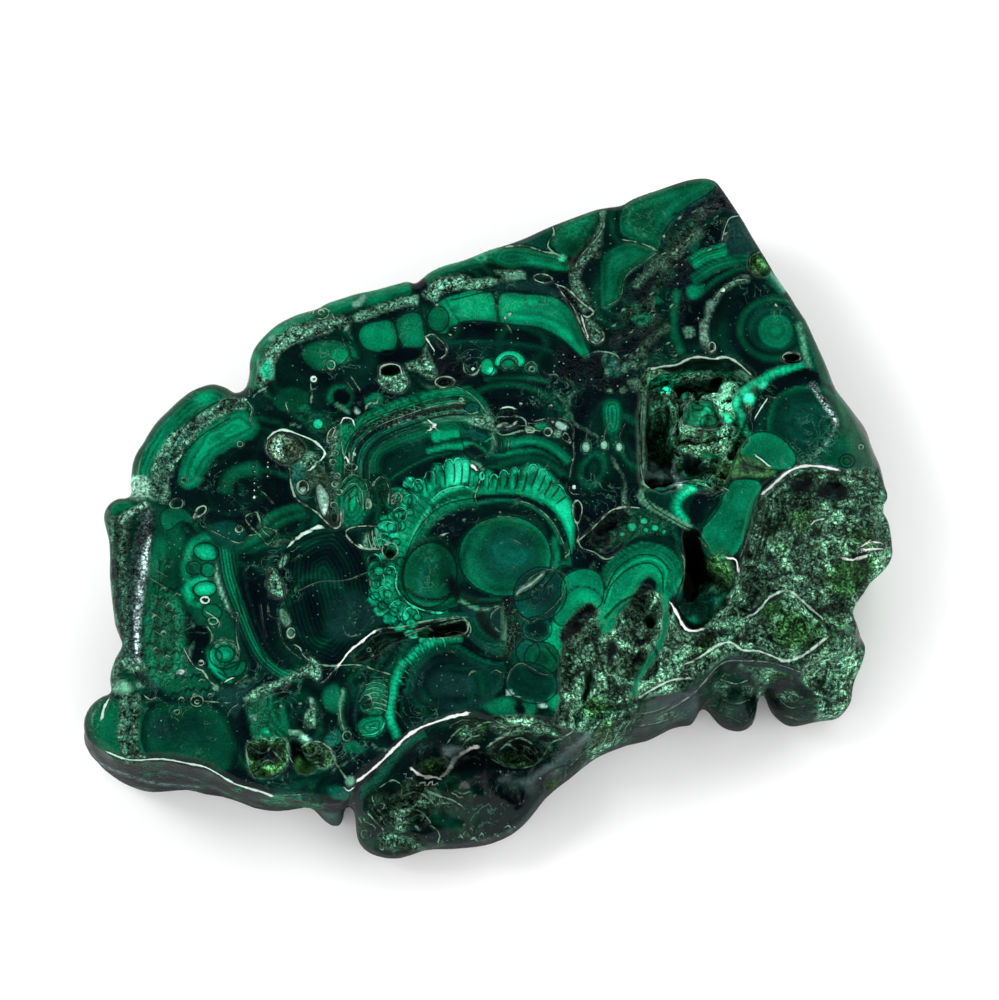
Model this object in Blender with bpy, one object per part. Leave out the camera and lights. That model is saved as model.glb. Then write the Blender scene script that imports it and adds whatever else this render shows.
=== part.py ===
"""A polished malachite specimen: one natural slab with a flat banded face, scalloped growth lobes on its left, a
crystal-lined vug, a rough matrix corner and a low polished ledge in front.

Metres, +Z up. The sawn underside rests on z = 0 and the origin is under the middle of the stone. Working dimensions
are millimetres. Outlines and hollows are laid out on a measuring sheet seen from the front at a steep angle: plan()
carries a point of the sheet to the plan of the stone and sheet() carries it back.
"""

from math import cos, radians, sin

import bmesh
import bpy
import numpy as np

# ---------------------------------------------------------------- driving dimensions, mm unless said
NODE = "malachite_specimen"
TOP = 20.5                  # height of the polished face above the sawn underside
EDGE_ROUND = 1.9            # usual rounding of the polished rim
SHOULDER_ROUND = 3.0        # what the right shoulder adds to it
SHOULDER_FALL = 2.2         # how far the right shoulder falls away
FOOT_ROUND = 1.1            # rounding where the side meets the underside
UNDERCUT = 1.3              # how far the side draws in towards the underside
LEDGE_HEIGHT = 9.6          # the low ledge in front
LEDGE_ROUND = 3.6
MATRIX_SINK = 2.4           # the rough corner, below the polished face
VUG_DEPTH = 8.6
SLOT_DEPTH = 6.0            # below the floor of the vug
SHAFT_DEPTH = 3.0
CAVITY_DEPTH = 6.5
CELL = 0.95                 # sampling of the skin before it is thinned
TRIANGLES = 9400            # what the skin is thinned to

# the measuring sheet
SHEET_TILT = radians(72)    # its view above the horizontal
SHEET_REACH = 376.0         # distance of the eye
SHEET_FOCUS = 85 / 36 * 999
SHEET_AIM = (1.21, -1.27)   # plan point at the middle of the sheet
SHEET_MM = 0.163            # mm to one unit, at the polished face

# ---------------------------------------------------------------- outlines, in units of the sheet
# The rim of the polished face, clockwise from the top right corner.
RIM = [(704, 179), (713, 181), (718, 185), (723, 192), (728, 200), (741, 220), (752, 237), (758, 246), (764, 256),
       (768, 263), (772, 270), (780, 282), (790, 296), (799, 310), (807, 322), (815, 340), (821, 353), (828, 367),
       (835, 380), (841, 388), (852, 400), (862, 412), (870, 424), (877, 437), (882, 450), (886, 463), (889, 476),
       (891, 491), (894, 507), (896, 520), (898, 532), (898, 544), (892, 555), (882, 566), (871, 578), (862, 591),
       (856, 602), (853, 612), (849, 622), (847, 632), (838, 640), (825, 643), (816, 649), (805, 655), (797, 660),
       (787, 663), (774, 659), (757, 653), (741, 652), (730, 647), (719, 652), (709, 664), (700, 675), (690, 681),
       (679, 682), (664, 688), (650, 694), (640, 701), (630, 712), (613, 719), (596, 722), (578, 724), (560, 724),
       (542, 722), (524, 721), (506, 722), (490, 722), (477, 718), (462, 716), (441, 722), (421, 731), (406, 741),
       (391, 753), (376, 765), (361, 778), (353, 788), (346, 799), (336, 803), (318, 803), (300, 799), (286, 797),
       (272, 796), (258, 791), (247, 789), (235, 784), (220, 776), (205, 768), (190, 764), (175, 761), (158, 760),
       (140, 760), (125, 760), (114, 757), (104, 751), (94, 745), (86, 736), (84, 722), (87, 711), (94, 702),
       (103, 696), (111, 692), (110, 679), (112, 667), (116, 656), (122, 644), (119, 633), (115, 620), (112, 598),
       (110, 577), (110, 557), (109, 541), (106, 528), (104, 515), (109, 504), (118, 498), (127, 497), (131, 491),
       (130, 483), (131, 473), (133, 462), (137, 452), (143, 443), (150, 431), (158, 420), (168, 410), (178, 401),
       (190, 392), (201, 387), (213, 384), (225, 387), (233, 392), (241, 391), (247, 385), (250, 373), (250, 360),
       (254, 348), (261, 339), (270, 330), (281, 322), (295, 315), (308, 311), (318, 308), (327, 303), (340, 299),
       (357, 294), (375, 290), (395, 284), (407, 281), (415, 283), (422, 278), (431, 271), (445, 265), (465, 260),
       (490, 251), (517, 242), (545, 230), (570, 220), (596, 211), (612, 208), (622, 206), (632, 200), (645, 195),
       (660, 190), (680, 183), (692, 180)]
RIM_LEVEL = TOP - 1.0
RIM_SPREAD = 0.14           # mm, from the read line to the widest part of the side

# The low front of the stone near its underside, from the left, closed behind under the polished face.
FOOT = [(91, 749), (98, 762), (108, 773), (122, 783), (137, 790), (152, 793), (168, 792), (187, 791), (205, 795),
        (222, 797), (238, 802), (254, 808), (271, 811), (289, 811), (304, 808), (313, 810), (321, 818), (331, 826),
        (340, 826), (344, 818), (345, 809), (351, 808), (356, 815), (358, 829), (359, 841), (364, 849), (374, 855),
        (386, 858), (399, 858), (411, 855), (424, 851), (436, 850), (452, 849), (468, 848), (485, 846), (498, 842),
        (511, 836), (523, 826), (533, 814), (543, 802), (555, 791), (570, 779), (584, 767), (596, 759), (608, 753),
        (628, 746), (648, 742), (660, 736), (671, 730), (682, 727), (690, 726), (695, 721), (699, 713), (703, 710),
        (707, 712), (713, 719), (721, 727), (730, 731), (741, 732), (750, 727), (754, 716), (756, 705), (759, 697),
        (763, 695), (766, 701), (770, 711), (777, 720), (785, 726), (794, 728), (807, 725), (822, 721), (836, 719),
        (843, 714), (849, 706), (851, 697), (852, 688), (854, 681), (858, 672), (861, 661), (861, 652), (855, 645),
        (846, 636), (826, 612),
        (790, 590), (700, 620), (600, 660), (500, 665), (400, 700), (340, 730), (280, 745), (200, 740), (140, 735),
        (110, 738)]
FOOT_LEVEL = 3.0

# The rough corner at the lower right, the pit in it, and the rough strip to its left.
MATRIX = [(752, 503), (760, 489), (769, 480), (779, 475), (790, 470), (805, 465), (822, 467), (845, 469), (856, 474),
          (870, 478), (886, 484), (912, 500), (916, 560), (890, 600), (875, 660), (850, 662), (826, 660), (806, 676),
          (786, 684), (755, 674), (735, 668), (712, 690), (694, 700), (676, 690), (688, 655), (700, 634), (712, 622),
          (726, 611), (737, 597), (741, 582), (741, 562), (743, 545), (746, 525)]
MATRIX_PIT = [(744, 622), (752, 611), (762, 603), (772, 596), (786, 590), (796, 594), (805, 603), (815, 613),
              (823, 620), (826, 632), (818, 641), (804, 648), (788, 655), (772, 652), (758, 646), (746, 640)]
STRIP = [(563, 652), (570, 643), (580, 633), (592, 622), (602, 614), (616, 610), (628, 602), (634, 592), (645, 584),
         (654, 590), (661, 604), (659, 622), (652, 645), (643, 668), (636, 690), (632, 712), (634, 760), (560, 790),
         (556, 742), (574, 728), (568, 708), (562, 690), (561, 670)]

# The vug, the cut nodule in it, its slot, its shaft and its hole, then the second cavity and its hole.
VUG = [(648, 376), (652, 368), (662, 365), (673, 364), (683, 359), (693, 357), (704, 356), (716, 359), (727, 356),
       (736, 360), (746, 366), (756, 376), (748, 381), (739, 388), (734, 398), (737, 410), (748, 418), (751, 430),
       (741, 444), (735, 460), (729, 475), (722, 489), (713, 488), (704, 480), (693, 478), (678, 481), (662, 483),
       (651, 487), (645, 481), (646, 468), (648, 450), (646, 430), (646, 410), (648, 395), (646, 385)]
VUG_NODULE = [(682, 425), (681, 413), (686, 404), (695, 400), (707, 401), (716, 409), (719, 420), (716, 426),
              (707, 429), (694, 428)]
SLOT = [(656, 369), (668, 365), (685, 360), (703, 358), (716, 361), (728, 359), (740, 364), (746, 369), (737, 371),
        (722, 373), (708, 371), (696, 375), (684, 376), (672, 374), (664, 371)]
SHAFT = [(649, 410), (656, 398), (666, 398), (671, 410), (671, 430), (672, 450), (671, 462), (676, 480), (650, 484),
         (646, 470), (648, 440)]
VUG_HOLE = [(647, 463), (655, 461), (664, 466), (672, 476), (670, 483), (658, 485), (648, 485)]
CAVITY = [(684, 531), (691, 526), (700, 533), (707, 545), (713, 556), (723, 563), (733, 572), (738, 585), (734, 597),
          (723, 610), (713, 619), (703, 627), (693, 629), (685, 622), (679, 612), (674, 601), (680, 588), (685, 572),
          (686, 555), (683, 540)]
CAVITY_HOLE = [(688, 534), (697, 536), (702, 548), (701, 565), (701, 580), (693, 587), (687, 578), (689, 560)]

# Lumps standing in the vug: centre, half sizes, level below the polished face.
VUG_LUMPS = [
    ((664, 386), (17, 10), 2.4), ((652, 400), (7, 18), 3.6), ((676, 404), (5, 15), 2.4), ((675, 428), (5, 12), 2.6),
    ((676, 455), (5, 16), 4.4), ((690, 391), (9, 11), 2.6), ((716, 391), (15, 9), 2.8), ((736, 378), (14, 6), 2.2),
    ((727, 402), (9, 8), 2.4), ((728, 418), (9, 9), 1.8), ((742, 424), (9, 9), 2.0), ((729, 436), (9, 8), 2.2),
    ((689, 436), (9, 6), 4.2), ((704, 437), (8, 6), 4.2), ((716, 437), (7, 7), 3.4), ((690, 446), (12, 5), 4.8),
    ((711, 453), (10, 5), 4.0), ((728, 456), (8, 10), 3.0), ((719, 472), (9, 9), 3.2), ((700, 474), (12, 4), 2.6),
    ((730, 385), (8, 6), 2.6)]

# Smaller hollows in the polished face: loop, depth, width of the wall in units, roughness 0 to 1.
HOLLOWS = [
    ([(580, 545), (583, 536), (592, 526), (601, 517), (610, 512), (622, 511), (636, 514), (641, 521), (638, 531),
      (628, 541), (618, 550), (606, 557), (597, 552), (588, 549)], 1.6, 5, 0.8),
    ([(652, 610), (658, 614), (657, 622), (651, 624), (647, 619), (647, 612)], 5.0, 3, 0.2),
    ([(587, 662), (594, 664), (592, 682), (586, 700), (581, 697), (584, 680)], 2.5, 4, 0.4),
    ([(380, 366), (392, 363), (401, 367), (399, 373), (388, 375), (379, 372)], 2.6, 3, 0.1),
    ([(419, 627), (430, 624), (448, 621), (462, 620), (467, 627), (463, 634), (448, 636), (432, 637), (420, 637)],
     3.2, 3, 0.3),
    ([(378, 634), (395, 632), (420, 629), (420, 636), (402, 639), (388, 646), (380, 652), (366, 660), (352, 661),
      (362, 648)], 1.5, 5, 0.5),
    ([(250, 745), (262, 741), (276, 739), (286, 744), (288, 757), (283, 770), (268, 775), (256, 774), (251, 763)],
     1.6, 5, 1.0),
    ([(291, 738), (299, 741), (308, 752), (318, 764), (312, 772), (300, 773), (294, 763), (290, 750)], 3.0, 5, 0.5),
    ([(312, 752), (318, 746), (328, 752), (333, 762), (322, 766), (313, 760)], 0.9, 4, 0.8),
    ([(783, 357), (789, 353), (799, 352), (803, 358), (799, 362), (788, 362)], 2.2, 3, 0.1),
    ([(438, 381), (446, 376), (453, 380), (447, 385), (440, 386)], 1.0, 3, 0.2),
    ([(437, 339), (447, 344), (445, 349), (438, 345)], 0.8, 3, 0.1),
    ([(328, 508), (334, 504), (341, 508), (341, 522), (335, 527), (328, 522)], 0.7, 4, 0.1),
    ([(385, 543), (394, 546), (397, 553), (390, 558), (383, 553)], 2.4, 3, 0.1),
    ([(751, 252), (757, 251), (766, 262), (772, 272), (763, 277), (754, 268), (749, 259)], 1.2, 5, 0.9),
    ([(560, 285), (567, 289), (577, 303), (585, 316), (593, 334), (588, 338), (581, 324), (572, 308), (562, 292)],
     0.9, 3, 0.3),
    ([(568, 268), (576, 266), (590, 245), (600, 236), (596, 232), (584, 243), (572, 258)], 0.6, 4, 0.5),
    ([(276, 436), (288, 434), (300, 444), (304, 456), (292, 462), (278, 458), (270, 448)], 0.7, 6, 1.0),
    ([(299, 482), (306, 481), (309, 492), (303, 497), (298, 491)], 0.8, 3, 0.8),
    ([(345, 466), (352, 464), (357, 466), (353, 471), (347, 471)], 1.2, 3, 0.1),
    ([(266, 570), (274, 567), (281, 580), (286, 592), (280, 599), (269, 593)], 0.5, 4, 1.0),
    ([(280, 608), (286, 610), (290, 622), (285, 627), (281, 618)], 0.4, 3, 0.6),
    ([(248, 697), (262, 688), (280, 684), (292, 680), (285, 690), (268, 696), (254, 702)], 0.6, 4, 0.9),
    ([(446, 398), (462, 397), (464, 403), (450, 405)], 0.2, 3, 0.1),
    ([(498, 424), (515, 423), (516, 427), (500, 429)], 0.5, 3, 0.4),
    ([(700, 340), (709, 338), (716, 348), (712, 354), (704, 349)], 0.4, 3, 0.4),
    ([(546, 416), (558, 420), (566, 428), (560, 431), (550, 425)], 0.5, 3, 0.4),
    ([(720, 457), (735, 456), (750, 462), (768, 467), (765, 473), (745, 476), (728, 476)], 0.5, 4, 0.9),
    ([(722, 238), (727, 222), (736, 216), (740, 219), (731, 225), (728, 240)], 0.25, 3, 0.2),
]


# ---------------------------------------------------------------- the measuring sheet
def plan(u, v, z=TOP):
    """Plan position, mm, of a point of the sheet that lies at height z."""
    s, c = sin(SHEET_TILT), cos(SHEET_TILT)
    du, dv = (np.asarray(u, float) - 499.5) / SHEET_FOCUS, (500 - np.asarray(v, float)) / SHEET_FOCUS
    t = (z - TOP - SHEET_REACH * s) / (-s + dv * c)
    return SHEET_AIM[0] + t * du, SHEET_AIM[1] - SHEET_REACH * c + t * (c + dv * s)


def sheet(x, y, z=TOP):
    """Where a point of the stone lies on the sheet."""
    s, c = sin(SHEET_TILT), cos(SHEET_TILT)
    px, py, pz = x - SHEET_AIM[0], y - SHEET_AIM[1] + SHEET_REACH * c, z - TOP - SHEET_REACH * s
    depth = py * c - pz * s
    return 499.5 + SHEET_FOCUS * px / depth, 500 - SHEET_FOCUS * (py * s + pz * c) / depth


def at_top(points, z):
    """Points of the sheet at height z, moved to where they would be read at the polished face."""
    p = np.asarray(points, float)
    x, y = plan(p[:, 0], p[:, 1], z)
    return np.stack(sheet(x, y), 1)


# ---------------------------------------------------------------- small tools
def rounded(points, n=3):
    """A closed Catmull-Rom curve through the points, n pieces to each side."""
    p = np.asarray(points, float)
    a, b, c, d = np.roll(p, 1, 0), p, np.roll(p, -1, 0), np.roll(p, -2, 0)
    out = []
    for i in range(n):
        t = i / n
        out.append(0.5 * (2 * b + (c - a) * t + (2 * a - 5 * b + 4 * c - d) * t**2 + (3 * b - a - 3 * c + d) * t**3))
    return np.stack(out, 1).reshape(-1, 2)


def inside_distance(u, v, loop):
    """Distance to a closed loop, positive inside it."""
    best, odd = np.full(u.shape, 1e18), np.zeros(u.shape, bool)
    for (x0, y0), (x1, y1) in zip(loop, np.roll(loop, -1, 0)):
        ex, ey = x1 - x0, y1 - y0
        length2 = ex * ex + ey * ey
        if length2 < 1e-12:
            continue
        px, py = u - x0, v - y0
        t = np.clip((px * ex + py * ey) / length2, 0, 1)
        best = np.minimum(best, (px - t * ex) ** 2 + (py - t * ey) ** 2)
        if ey != 0:
            odd ^= ((y0 > v) != (y1 > v)) & (px < ex * (v - y0) / ey)
    return np.where(odd, 1, -1) * np.sqrt(best)


def region(u, v, points, pad=14.0):
    """inside_distance of a rounded loop, worked out near it and held at -pad further off."""
    loop = rounded(points, 2)
    (u0, v0), (u1, v1) = loop.min(0) - pad, loop.max(0) + pad
    m = (u > u0) & (u < u1) & (v > v0) & (v < v1)
    out = np.full(u.shape, -pad)
    out[m] = np.maximum(inside_distance(u[m], v[m], loop), -pad)
    return out


def step(x, lo, hi):
    t = np.clip((x - lo) / (hi - lo), 0, 1)
    return t * t * (3 - 2 * t)


def bump(u, v, cu, cv, ru, rv, power=2.0):
    return np.exp(-((((u - cu) / ru) ** 2 + ((v - cv) / rv) ** 2) ** (power / 2)))


def smooth_min(a, b, k):
    h = np.clip(0.5 + 0.5 * (b - a) / k, 0, 1)
    return b * (1 - h) + a * h - k * h * (1 - h)


def smooth_max(a, b, k):
    return -smooth_min(-a, -b, k)


def hashed(i, j, k, seed):
    n = (i * 374761393 + j * 668265263 + k * 2147483647 + seed * 1274126177) & 0xFFFFFFFF
    n = ((n ^ (n >> 13)) * 1103515245) & 0xFFFFFFFF
    n = ((n ^ (n >> 16)) * 2246822519) & 0xFFFFFFFF
    return ((n ^ (n >> 13)) & 0xFFFFFF) / 0xFFFFFF


def noise(x, y, z=0.0, seed=0):
    """Smooth lattice noise, -1 to 1."""
    x, y, z = np.broadcast_arrays(np.asarray(x, float), y, z)
    i, j, k = (np.floor(w).astype(np.int64) for w in (x, y, z))
    fx, fy, fz = (f**3 * (f * (f * 6 - 15) + 10) for f in (x - i, y - j, z - k))
    total = 0
    for a in (0, 1):
        for b in (0, 1):
            for c in (0, 1):
                w = (fx if a else 1 - fx) * (fy if b else 1 - fy) * (fz if c else 1 - fz)
                total = total + w * hashed(i + a, j + b, k + c, seed)
    return total * 2 - 1


# ---------------------------------------------------------------- the shape of the stone
def top_height(u, v, x, y):
    """Height of the upper side over the plan."""
    z = TOP + 0.05 * noise(x / 17, y / 17, 0, 3) + 0.015 * noise(x / 6, y / 6, 0, 4)
    z = z - SHOULDER_FALL * step(u, 822, 900) ** 1.3 * step(v, 300, 400) * (1 - step(v, 470, 520))
    grain = (0.55 * np.abs(noise(u / 9, v / 9, 0, 21)) + 0.33 * np.abs(noise(u / 4.6, v / 4.6, 0, 22))
             + 0.14 * noise(u / 2.6, v / 2.6, 0, 23))

    # the rough corner, deepest under the edge of the polished face, with a ridged pit
    w = step(region(u, v, MATRIX), -1, 6)
    sink = (MATRIX_SINK + 2.6 * bump(u, v, 822, 492, 42, 18) + 1.0 * bump(u, v, 770, 520, 20, 40)
            - 1.2 * bump(u, v, 745, 640, 40, 18) - 1.0 * bump(u, v, 700, 655, 22, 22) + 1.2 * step(u, 850, 895)
            + 0.8 * noise(u / 34, v / 34, 0, 11))
    d = region(u, v, MATRIX_PIT)
    sink = sink + step(d, 0, 9) * (1.8 + 1.2 * bump(u, v, 790, 632, 30, 18)) - 1.2 * np.exp(-((d / 3.2) ** 2))
    folds = noise((u * 0.95 + v * 0.3) / 6, (v * 0.95 - u * 0.3) / 30, 0, 24)
    z = z - w * (sink + 1.25 * grain + 0.35 * folds * step(u, 740, 790) * (1 - step(u, 790, 830)))

    # the rough strip
    w = step(region(u, v, STRIP), -1, 5)
    z = z - w * (1.5 + 1.4 * step(v, 660, 740) + 1.3 * grain + 0.5 * noise(u / 16, v / 16, 0, 12))

    for loop, depth, wall, rough in HOLLOWS:
        z = z - step(region(u, v, loop), -0.8, wall) * (depth + rough * 0.9 * (grain - 0.25))

    # the vug
    w = step(region(u, v, VUG), -0.5, 3.5)
    floor = -VUG_DEPTH - 0.8 * noise(u / 12, v / 12, 0, 31) - 0.5 * grain
    for (cu, cv), (ru, rv), level in VUG_LUMPS:
        q = np.sqrt(((u - cu) / ru) ** 2 + ((v - cv) / rv) ** 2) + 0.12 * noise(u / 5, v / 5, 0, 33)
        lump = -level - 1.6 * np.clip(q, 0, 3) ** 2 - 9 * step(q, 0.85, 1.6) - 0.35 * grain
        floor = smooth_max(floor, lump, 0.5)
    floor = np.maximum(floor, -1.1 - 0.02 * (v - 415) - 9 * (1 - step(region(u, v, VUG_NODULE), -1.5, 1.5)))
    floor = floor - SLOT_DEPTH * step(region(u, v, SLOT), -0.5, 3.5) * (1 - 0.3 * step(u, 700, 745))
    floor = floor - SHAFT_DEPTH * step(region(u, v, SHAFT), -1, 4)
    z = z * (1 - w) + w * np.minimum(z, TOP + floor)

    # the second cavity
    w = step(region(u, v, CAVITY), -0.5, 5)
    floor = (-CAVITY_DEPTH - 4 * bump(u, v, 700, 560, 16, 26) - 0.6 * noise(u / 9, v / 9, 0, 35)
             + 1.6 * step(v, 596, 624) - 0.2 * grain)
    z = z * (1 - w) + w * np.minimum(z, TOP + floor)

    for loop in (VUG_HOLE, CAVITY_HOLE):
        z = z - 30 * step(region(u, v, loop), -1.5, 3)
    return z


def ledge_height(u, v, out):
    """Height of the low front, out being the distance from the rim in units."""
    h = LEDGE_HEIGHT + 1.6 * noise(u / 30, v / 26, 0, 51)
    for cu, cv, ru, rv, up in ((455, 778, 46, 20, 2.6), (372, 800, 18, 20, 1.4), (455, 742, 14, 14, -1.8),
                               (530, 752, 34, 16, 2.8), (522, 735, 26, 10, -2.6), (500, 790, 26, 16, 1.0),
                               (738, 690, 20, 20, 1.0), (815, 690, 30, 22, 1.2), (762, 680, 7, 24, -1.5)):
        h = h + up * bump(u, v, cu, cv, ru, rv)
    h = h + 6.5 * (1 - step(out, 4, 22)) + 2.5 * (1 - step(out, 0, 9))
    rough = np.clip(step(noise(u / 22, v / 16, 0, 52), -0.05, 0.35) * 0.8, 0, 1)
    for cu, cv, ru, rv, p in ((522, 738, 34, 14, 4), (610, 735, 55, 30, 6)):
        rough = np.maximum(rough, bump(u, v, cu, cv, ru, rv, p))
    for cu, cv, ru, rv in ((460, 785, 48, 18), (455, 742, 12, 12), (738, 690, 18, 16), (800, 690, 22, 16),
                           (665, 700, 28, 20), (512, 790, 28, 22), (365, 810, 12, 16)):
        rough = rough * (1 - bump(u, v, cu, cv, ru, rv, 4))
    grain = 0.6 * np.abs(noise(u / 8, v / 8, 0, 61)) + 0.35 * np.abs(noise(u / 4.4, v / 4.4, 0, 62))
    return h - rough * 1.5 * grain


def rounded_edge(a, b, r):
    """Two surfaces meeting, both negative inside, rounded over by r."""
    p, q = np.maximum(a + r, 0), np.maximum(b + r, 0)
    return np.minimum(np.maximum(a + r, b + r), 0) + np.sqrt(p * p + q * q) - r


def stone(xs, ys, zs):
    """The stone sampled on a grid, negative inside."""
    x, y = np.meshgrid(xs, ys, indexing="ij")
    u, v = sheet(x, y)
    top = top_height(u, v, x, y)
    rim = SHEET_MM * inside_distance(u, v, rounded(at_top(RIM, RIM_LEVEL), 3)) + RIM_SPREAD
    foot = SHEET_MM * inside_distance(u, v, rounded(at_top(FOOT, FOOT_LEVEL), 2))
    ledge = np.minimum(ledge_height(u, v, -rim / SHEET_MM), np.minimum(TOP - 1.5, top - 1.0))

    edge = EDGE_ROUND + 0.35 * noise(u / 40, v / 40, 0, 41)
    edge = edge - 0.8 * step(u, 400, 480) * (1 - step(v, 200, 420)) - 0.5 * step(u, 340, 400) * step(v, 680, 720)
    edge = edge + SHOULDER_ROUND * step(u, 790, 850) * step(v, 300, 400) * (1 - step(v, 560, 600))
    edge = np.minimum(np.clip(edge, 0.8, 5.5), np.maximum(top / 3, 0.6))
    undercut = (UNDERCUT + 3.6 * bump(u, v, 300, 800, 70, 60, 4) + 4.2 * bump(u, v, 872, 592, 34, 34, 4)
                + 0.9 * noise(u / 60, v / 60, 0, 42))

    x, y, rim, foot, top, ledge, edge, undercut = (f[..., None] for f in (x, y, rim, foot, top, ledge, edge, undercut))
    z = zs[None, None, :]
    wave = 0.35 * noise(x / 7, y / 7, z / 6, 71) + 0.18 * noise(x / 3.2, y / 3.2, z / 3, 72)
    side = -rim + undercut * np.clip((TOP - 5 - z) / (TOP - 5), 0, 1) ** 1.5 - wave * np.clip((TOP - z) / 4, 0, 1)
    upper = rounded_edge(side, z - top, edge)
    front = -foot + 1.2 * np.clip((4 - z) / 4, 0, 1) ** 2 - 0.5 * wave
    lower = rounded_edge(front, z - ledge, LEDGE_ROUND)
    body = np.maximum(smooth_min(upper, lower, 1.6), z - top)
    return rounded_edge(body, -z, FOOT_ROUND)


# ---------------------------------------------------------------- its skin
def untangled(values):
    """The samples with every corner-to-corner touch filled, so that the skin never meets itself along an edge."""
    f = values.copy()
    shape = np.array(f.shape)
    for _ in range(20):
        # a single sample of air shut in on all sides is filled
        s = f < 0
        shut = ~s[1:-1, 1:-1, 1:-1]
        for axis in range(3):
            for side in (slice(0, -2), slice(2, None)):
                shut &= s[tuple(side if n == axis else slice(1, -1) for n in range(3))]
        f[1:-1, 1:-1, 1:-1][shut] = -1e-3
        changed = int(shut.sum())
        for axis in range(3):
            o1, o2 = (axis + 1) % 3, (axis + 2) % 3

            def corner(d1, d2):
                cut = [slice(None)] * 3
                cut[o1], cut[o2] = slice(d1, shape[o1] - 1 + d1), slice(d2, shape[o2] - 1 + d2)
                return tuple(cut)

            a, b, c, d = (f[corner(*k)] < 0 for k in ((0, 0), (1, 1), (0, 1), (1, 0)))
            for k, hit in (((0, 0), ~a & ~b & c & d), ((0, 1), a & b & ~c & ~d)):
                f[corner(*k)][hit] = -1e-3
                changed += int(hit.sum())
        s = f < 0
        for p in ((0, 0, 0), (1, 0, 0), (0, 1, 0), (1, 1, 0)):
            part = {}
            for q in ((0, 0, 0), (1, 0, 0), (0, 1, 0), (1, 1, 0), (0, 0, 1), (1, 0, 1), (0, 1, 1), (1, 1, 1)):
                part[q] = s[tuple(slice(q[n], shape[n] - 1 + q[n]) for n in range(3))]
            far = tuple(1 - n for n in p)
            count = sum(w.astype(np.int8) for w in part.values())
            lone = part[p] & part[far] & (count == 2)
            hole = ~part[p] & ~part[far] & (count == 6)
            near = (1 - p[0], p[1], p[2])
            f[tuple(slice(near[n], shape[n] - 1 + near[n]) for n in range(3))][lone] = -1e-3
            f[tuple(slice(p[n], shape[n] - 1 + p[n]) for n in range(3))][hole] = -1e-3
            changed += int(lone.sum() + hole.sum())
            s = f < 0
        if not changed:
            break
    return f


def skin(values, axes):
    """Points and quads of the closed skin over the zero of the samples, one point to each cell it crosses."""
    inside = values < 0
    shape = np.array(values.shape)
    corners = [(a, b, c) for a in (0, 1) for b in (0, 1) for c in (0, 1)]
    count = sum(inside[tuple(slice(n, s - 1 + n) for n, s in zip(p, shape))].astype(np.int8) for p in corners)
    cell = np.stack(np.nonzero((count > 0) & (count < 8)), 1)
    index = np.full(count.shape, -1)
    index[tuple(cell.T)] = np.arange(len(cell))
    total, hits = np.zeros((len(cell), 3)), np.zeros(len(cell))
    for p in corners:
        for axis in range(3):
            if p[axis]:
                continue
            start = cell + p
            end = start.copy()
            end[:, axis] += 1
            f0, f1 = values[tuple(start.T)], values[tuple(end.T)]
            cut = (f0 < 0) != (f1 < 0)
            t = np.where(cut, f0 / np.where(cut, f0 - f1, 1), 0)
            at = np.stack([axes[n][start[:, n]] for n in range(3)], 1)
            at[:, axis] += t * (axes[axis][end[:, axis]] - axes[axis][start[:, axis]])
            total += at * cut[:, None]
            hits += cut
    points = total / hits[:, None]
    quads = []
    for axis in range(3):
        o1, o2 = (axis + 1) % 3, (axis + 2) % 3
        low = tuple(slice(0, -1) if n == axis else slice(None) for n in range(3))
        high = tuple(slice(1, None) if n == axis else slice(None) for n in range(3))
        edge = np.stack(np.nonzero(inside[low] != inside[high]), 1)
        keep = (edge[:, o1] > 0) & (edge[:, o2] > 0) & (edge[:, o1] < shape[o1] - 1) & (edge[:, o2] < shape[o2] - 1)
        edge = edge[keep]
        ring = []
        for d1, d2 in ((0, 0), (-1, 0), (-1, -1), (0, -1)):
            c = edge.copy()
            c[:, o1] += d1
            c[:, o2] += d2
            ring.append(index[tuple(c.T)])
        ring = np.stack(ring, 1)
        out = inside[tuple(edge.T)]
        ring[~out] = ring[~out][:, ::-1]
        quads.append(ring)
    return points, np.concatenate(quads)


def one_shell(points, quads):
    """The largest connected shell alone, without the specks of stone or air shut off from it."""
    label = np.arange(len(points))
    while True:
        low = label.copy()
        np.minimum.at(low, quads.ravel(), np.repeat(label[quads].min(1), 4))
        low = low[low]
        if (low == label).all():
            break
        label = low
    keep = label == np.bincount(label).argmax()
    index = np.cumsum(keep) - 1
    return points[keep], index[quads[keep[quads[:, 0]]]]


def settle_underside(mesh):
    """Everything that lies within a hair of the sawn underside is put exactly on it."""
    for vertex in mesh.vertices:
        if abs(vertex.co.z) < 8e-5:
            vertex.co.z = 0.0


def stone_material():
    material = bpy.data.materials.new("polished_malachite")
    material.use_nodes = True
    shader = material.node_tree.nodes["Principled BSDF"]
    shader.inputs["Base Color"].default_value = (0.006, 0.125, 0.062, 1)
    shader.inputs["Roughness"].default_value = 0.16
    shader.inputs["Metallic"].default_value = 0.0
    material.diffuse_color = (0.006, 0.125, 0.062, 1)
    return material


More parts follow.
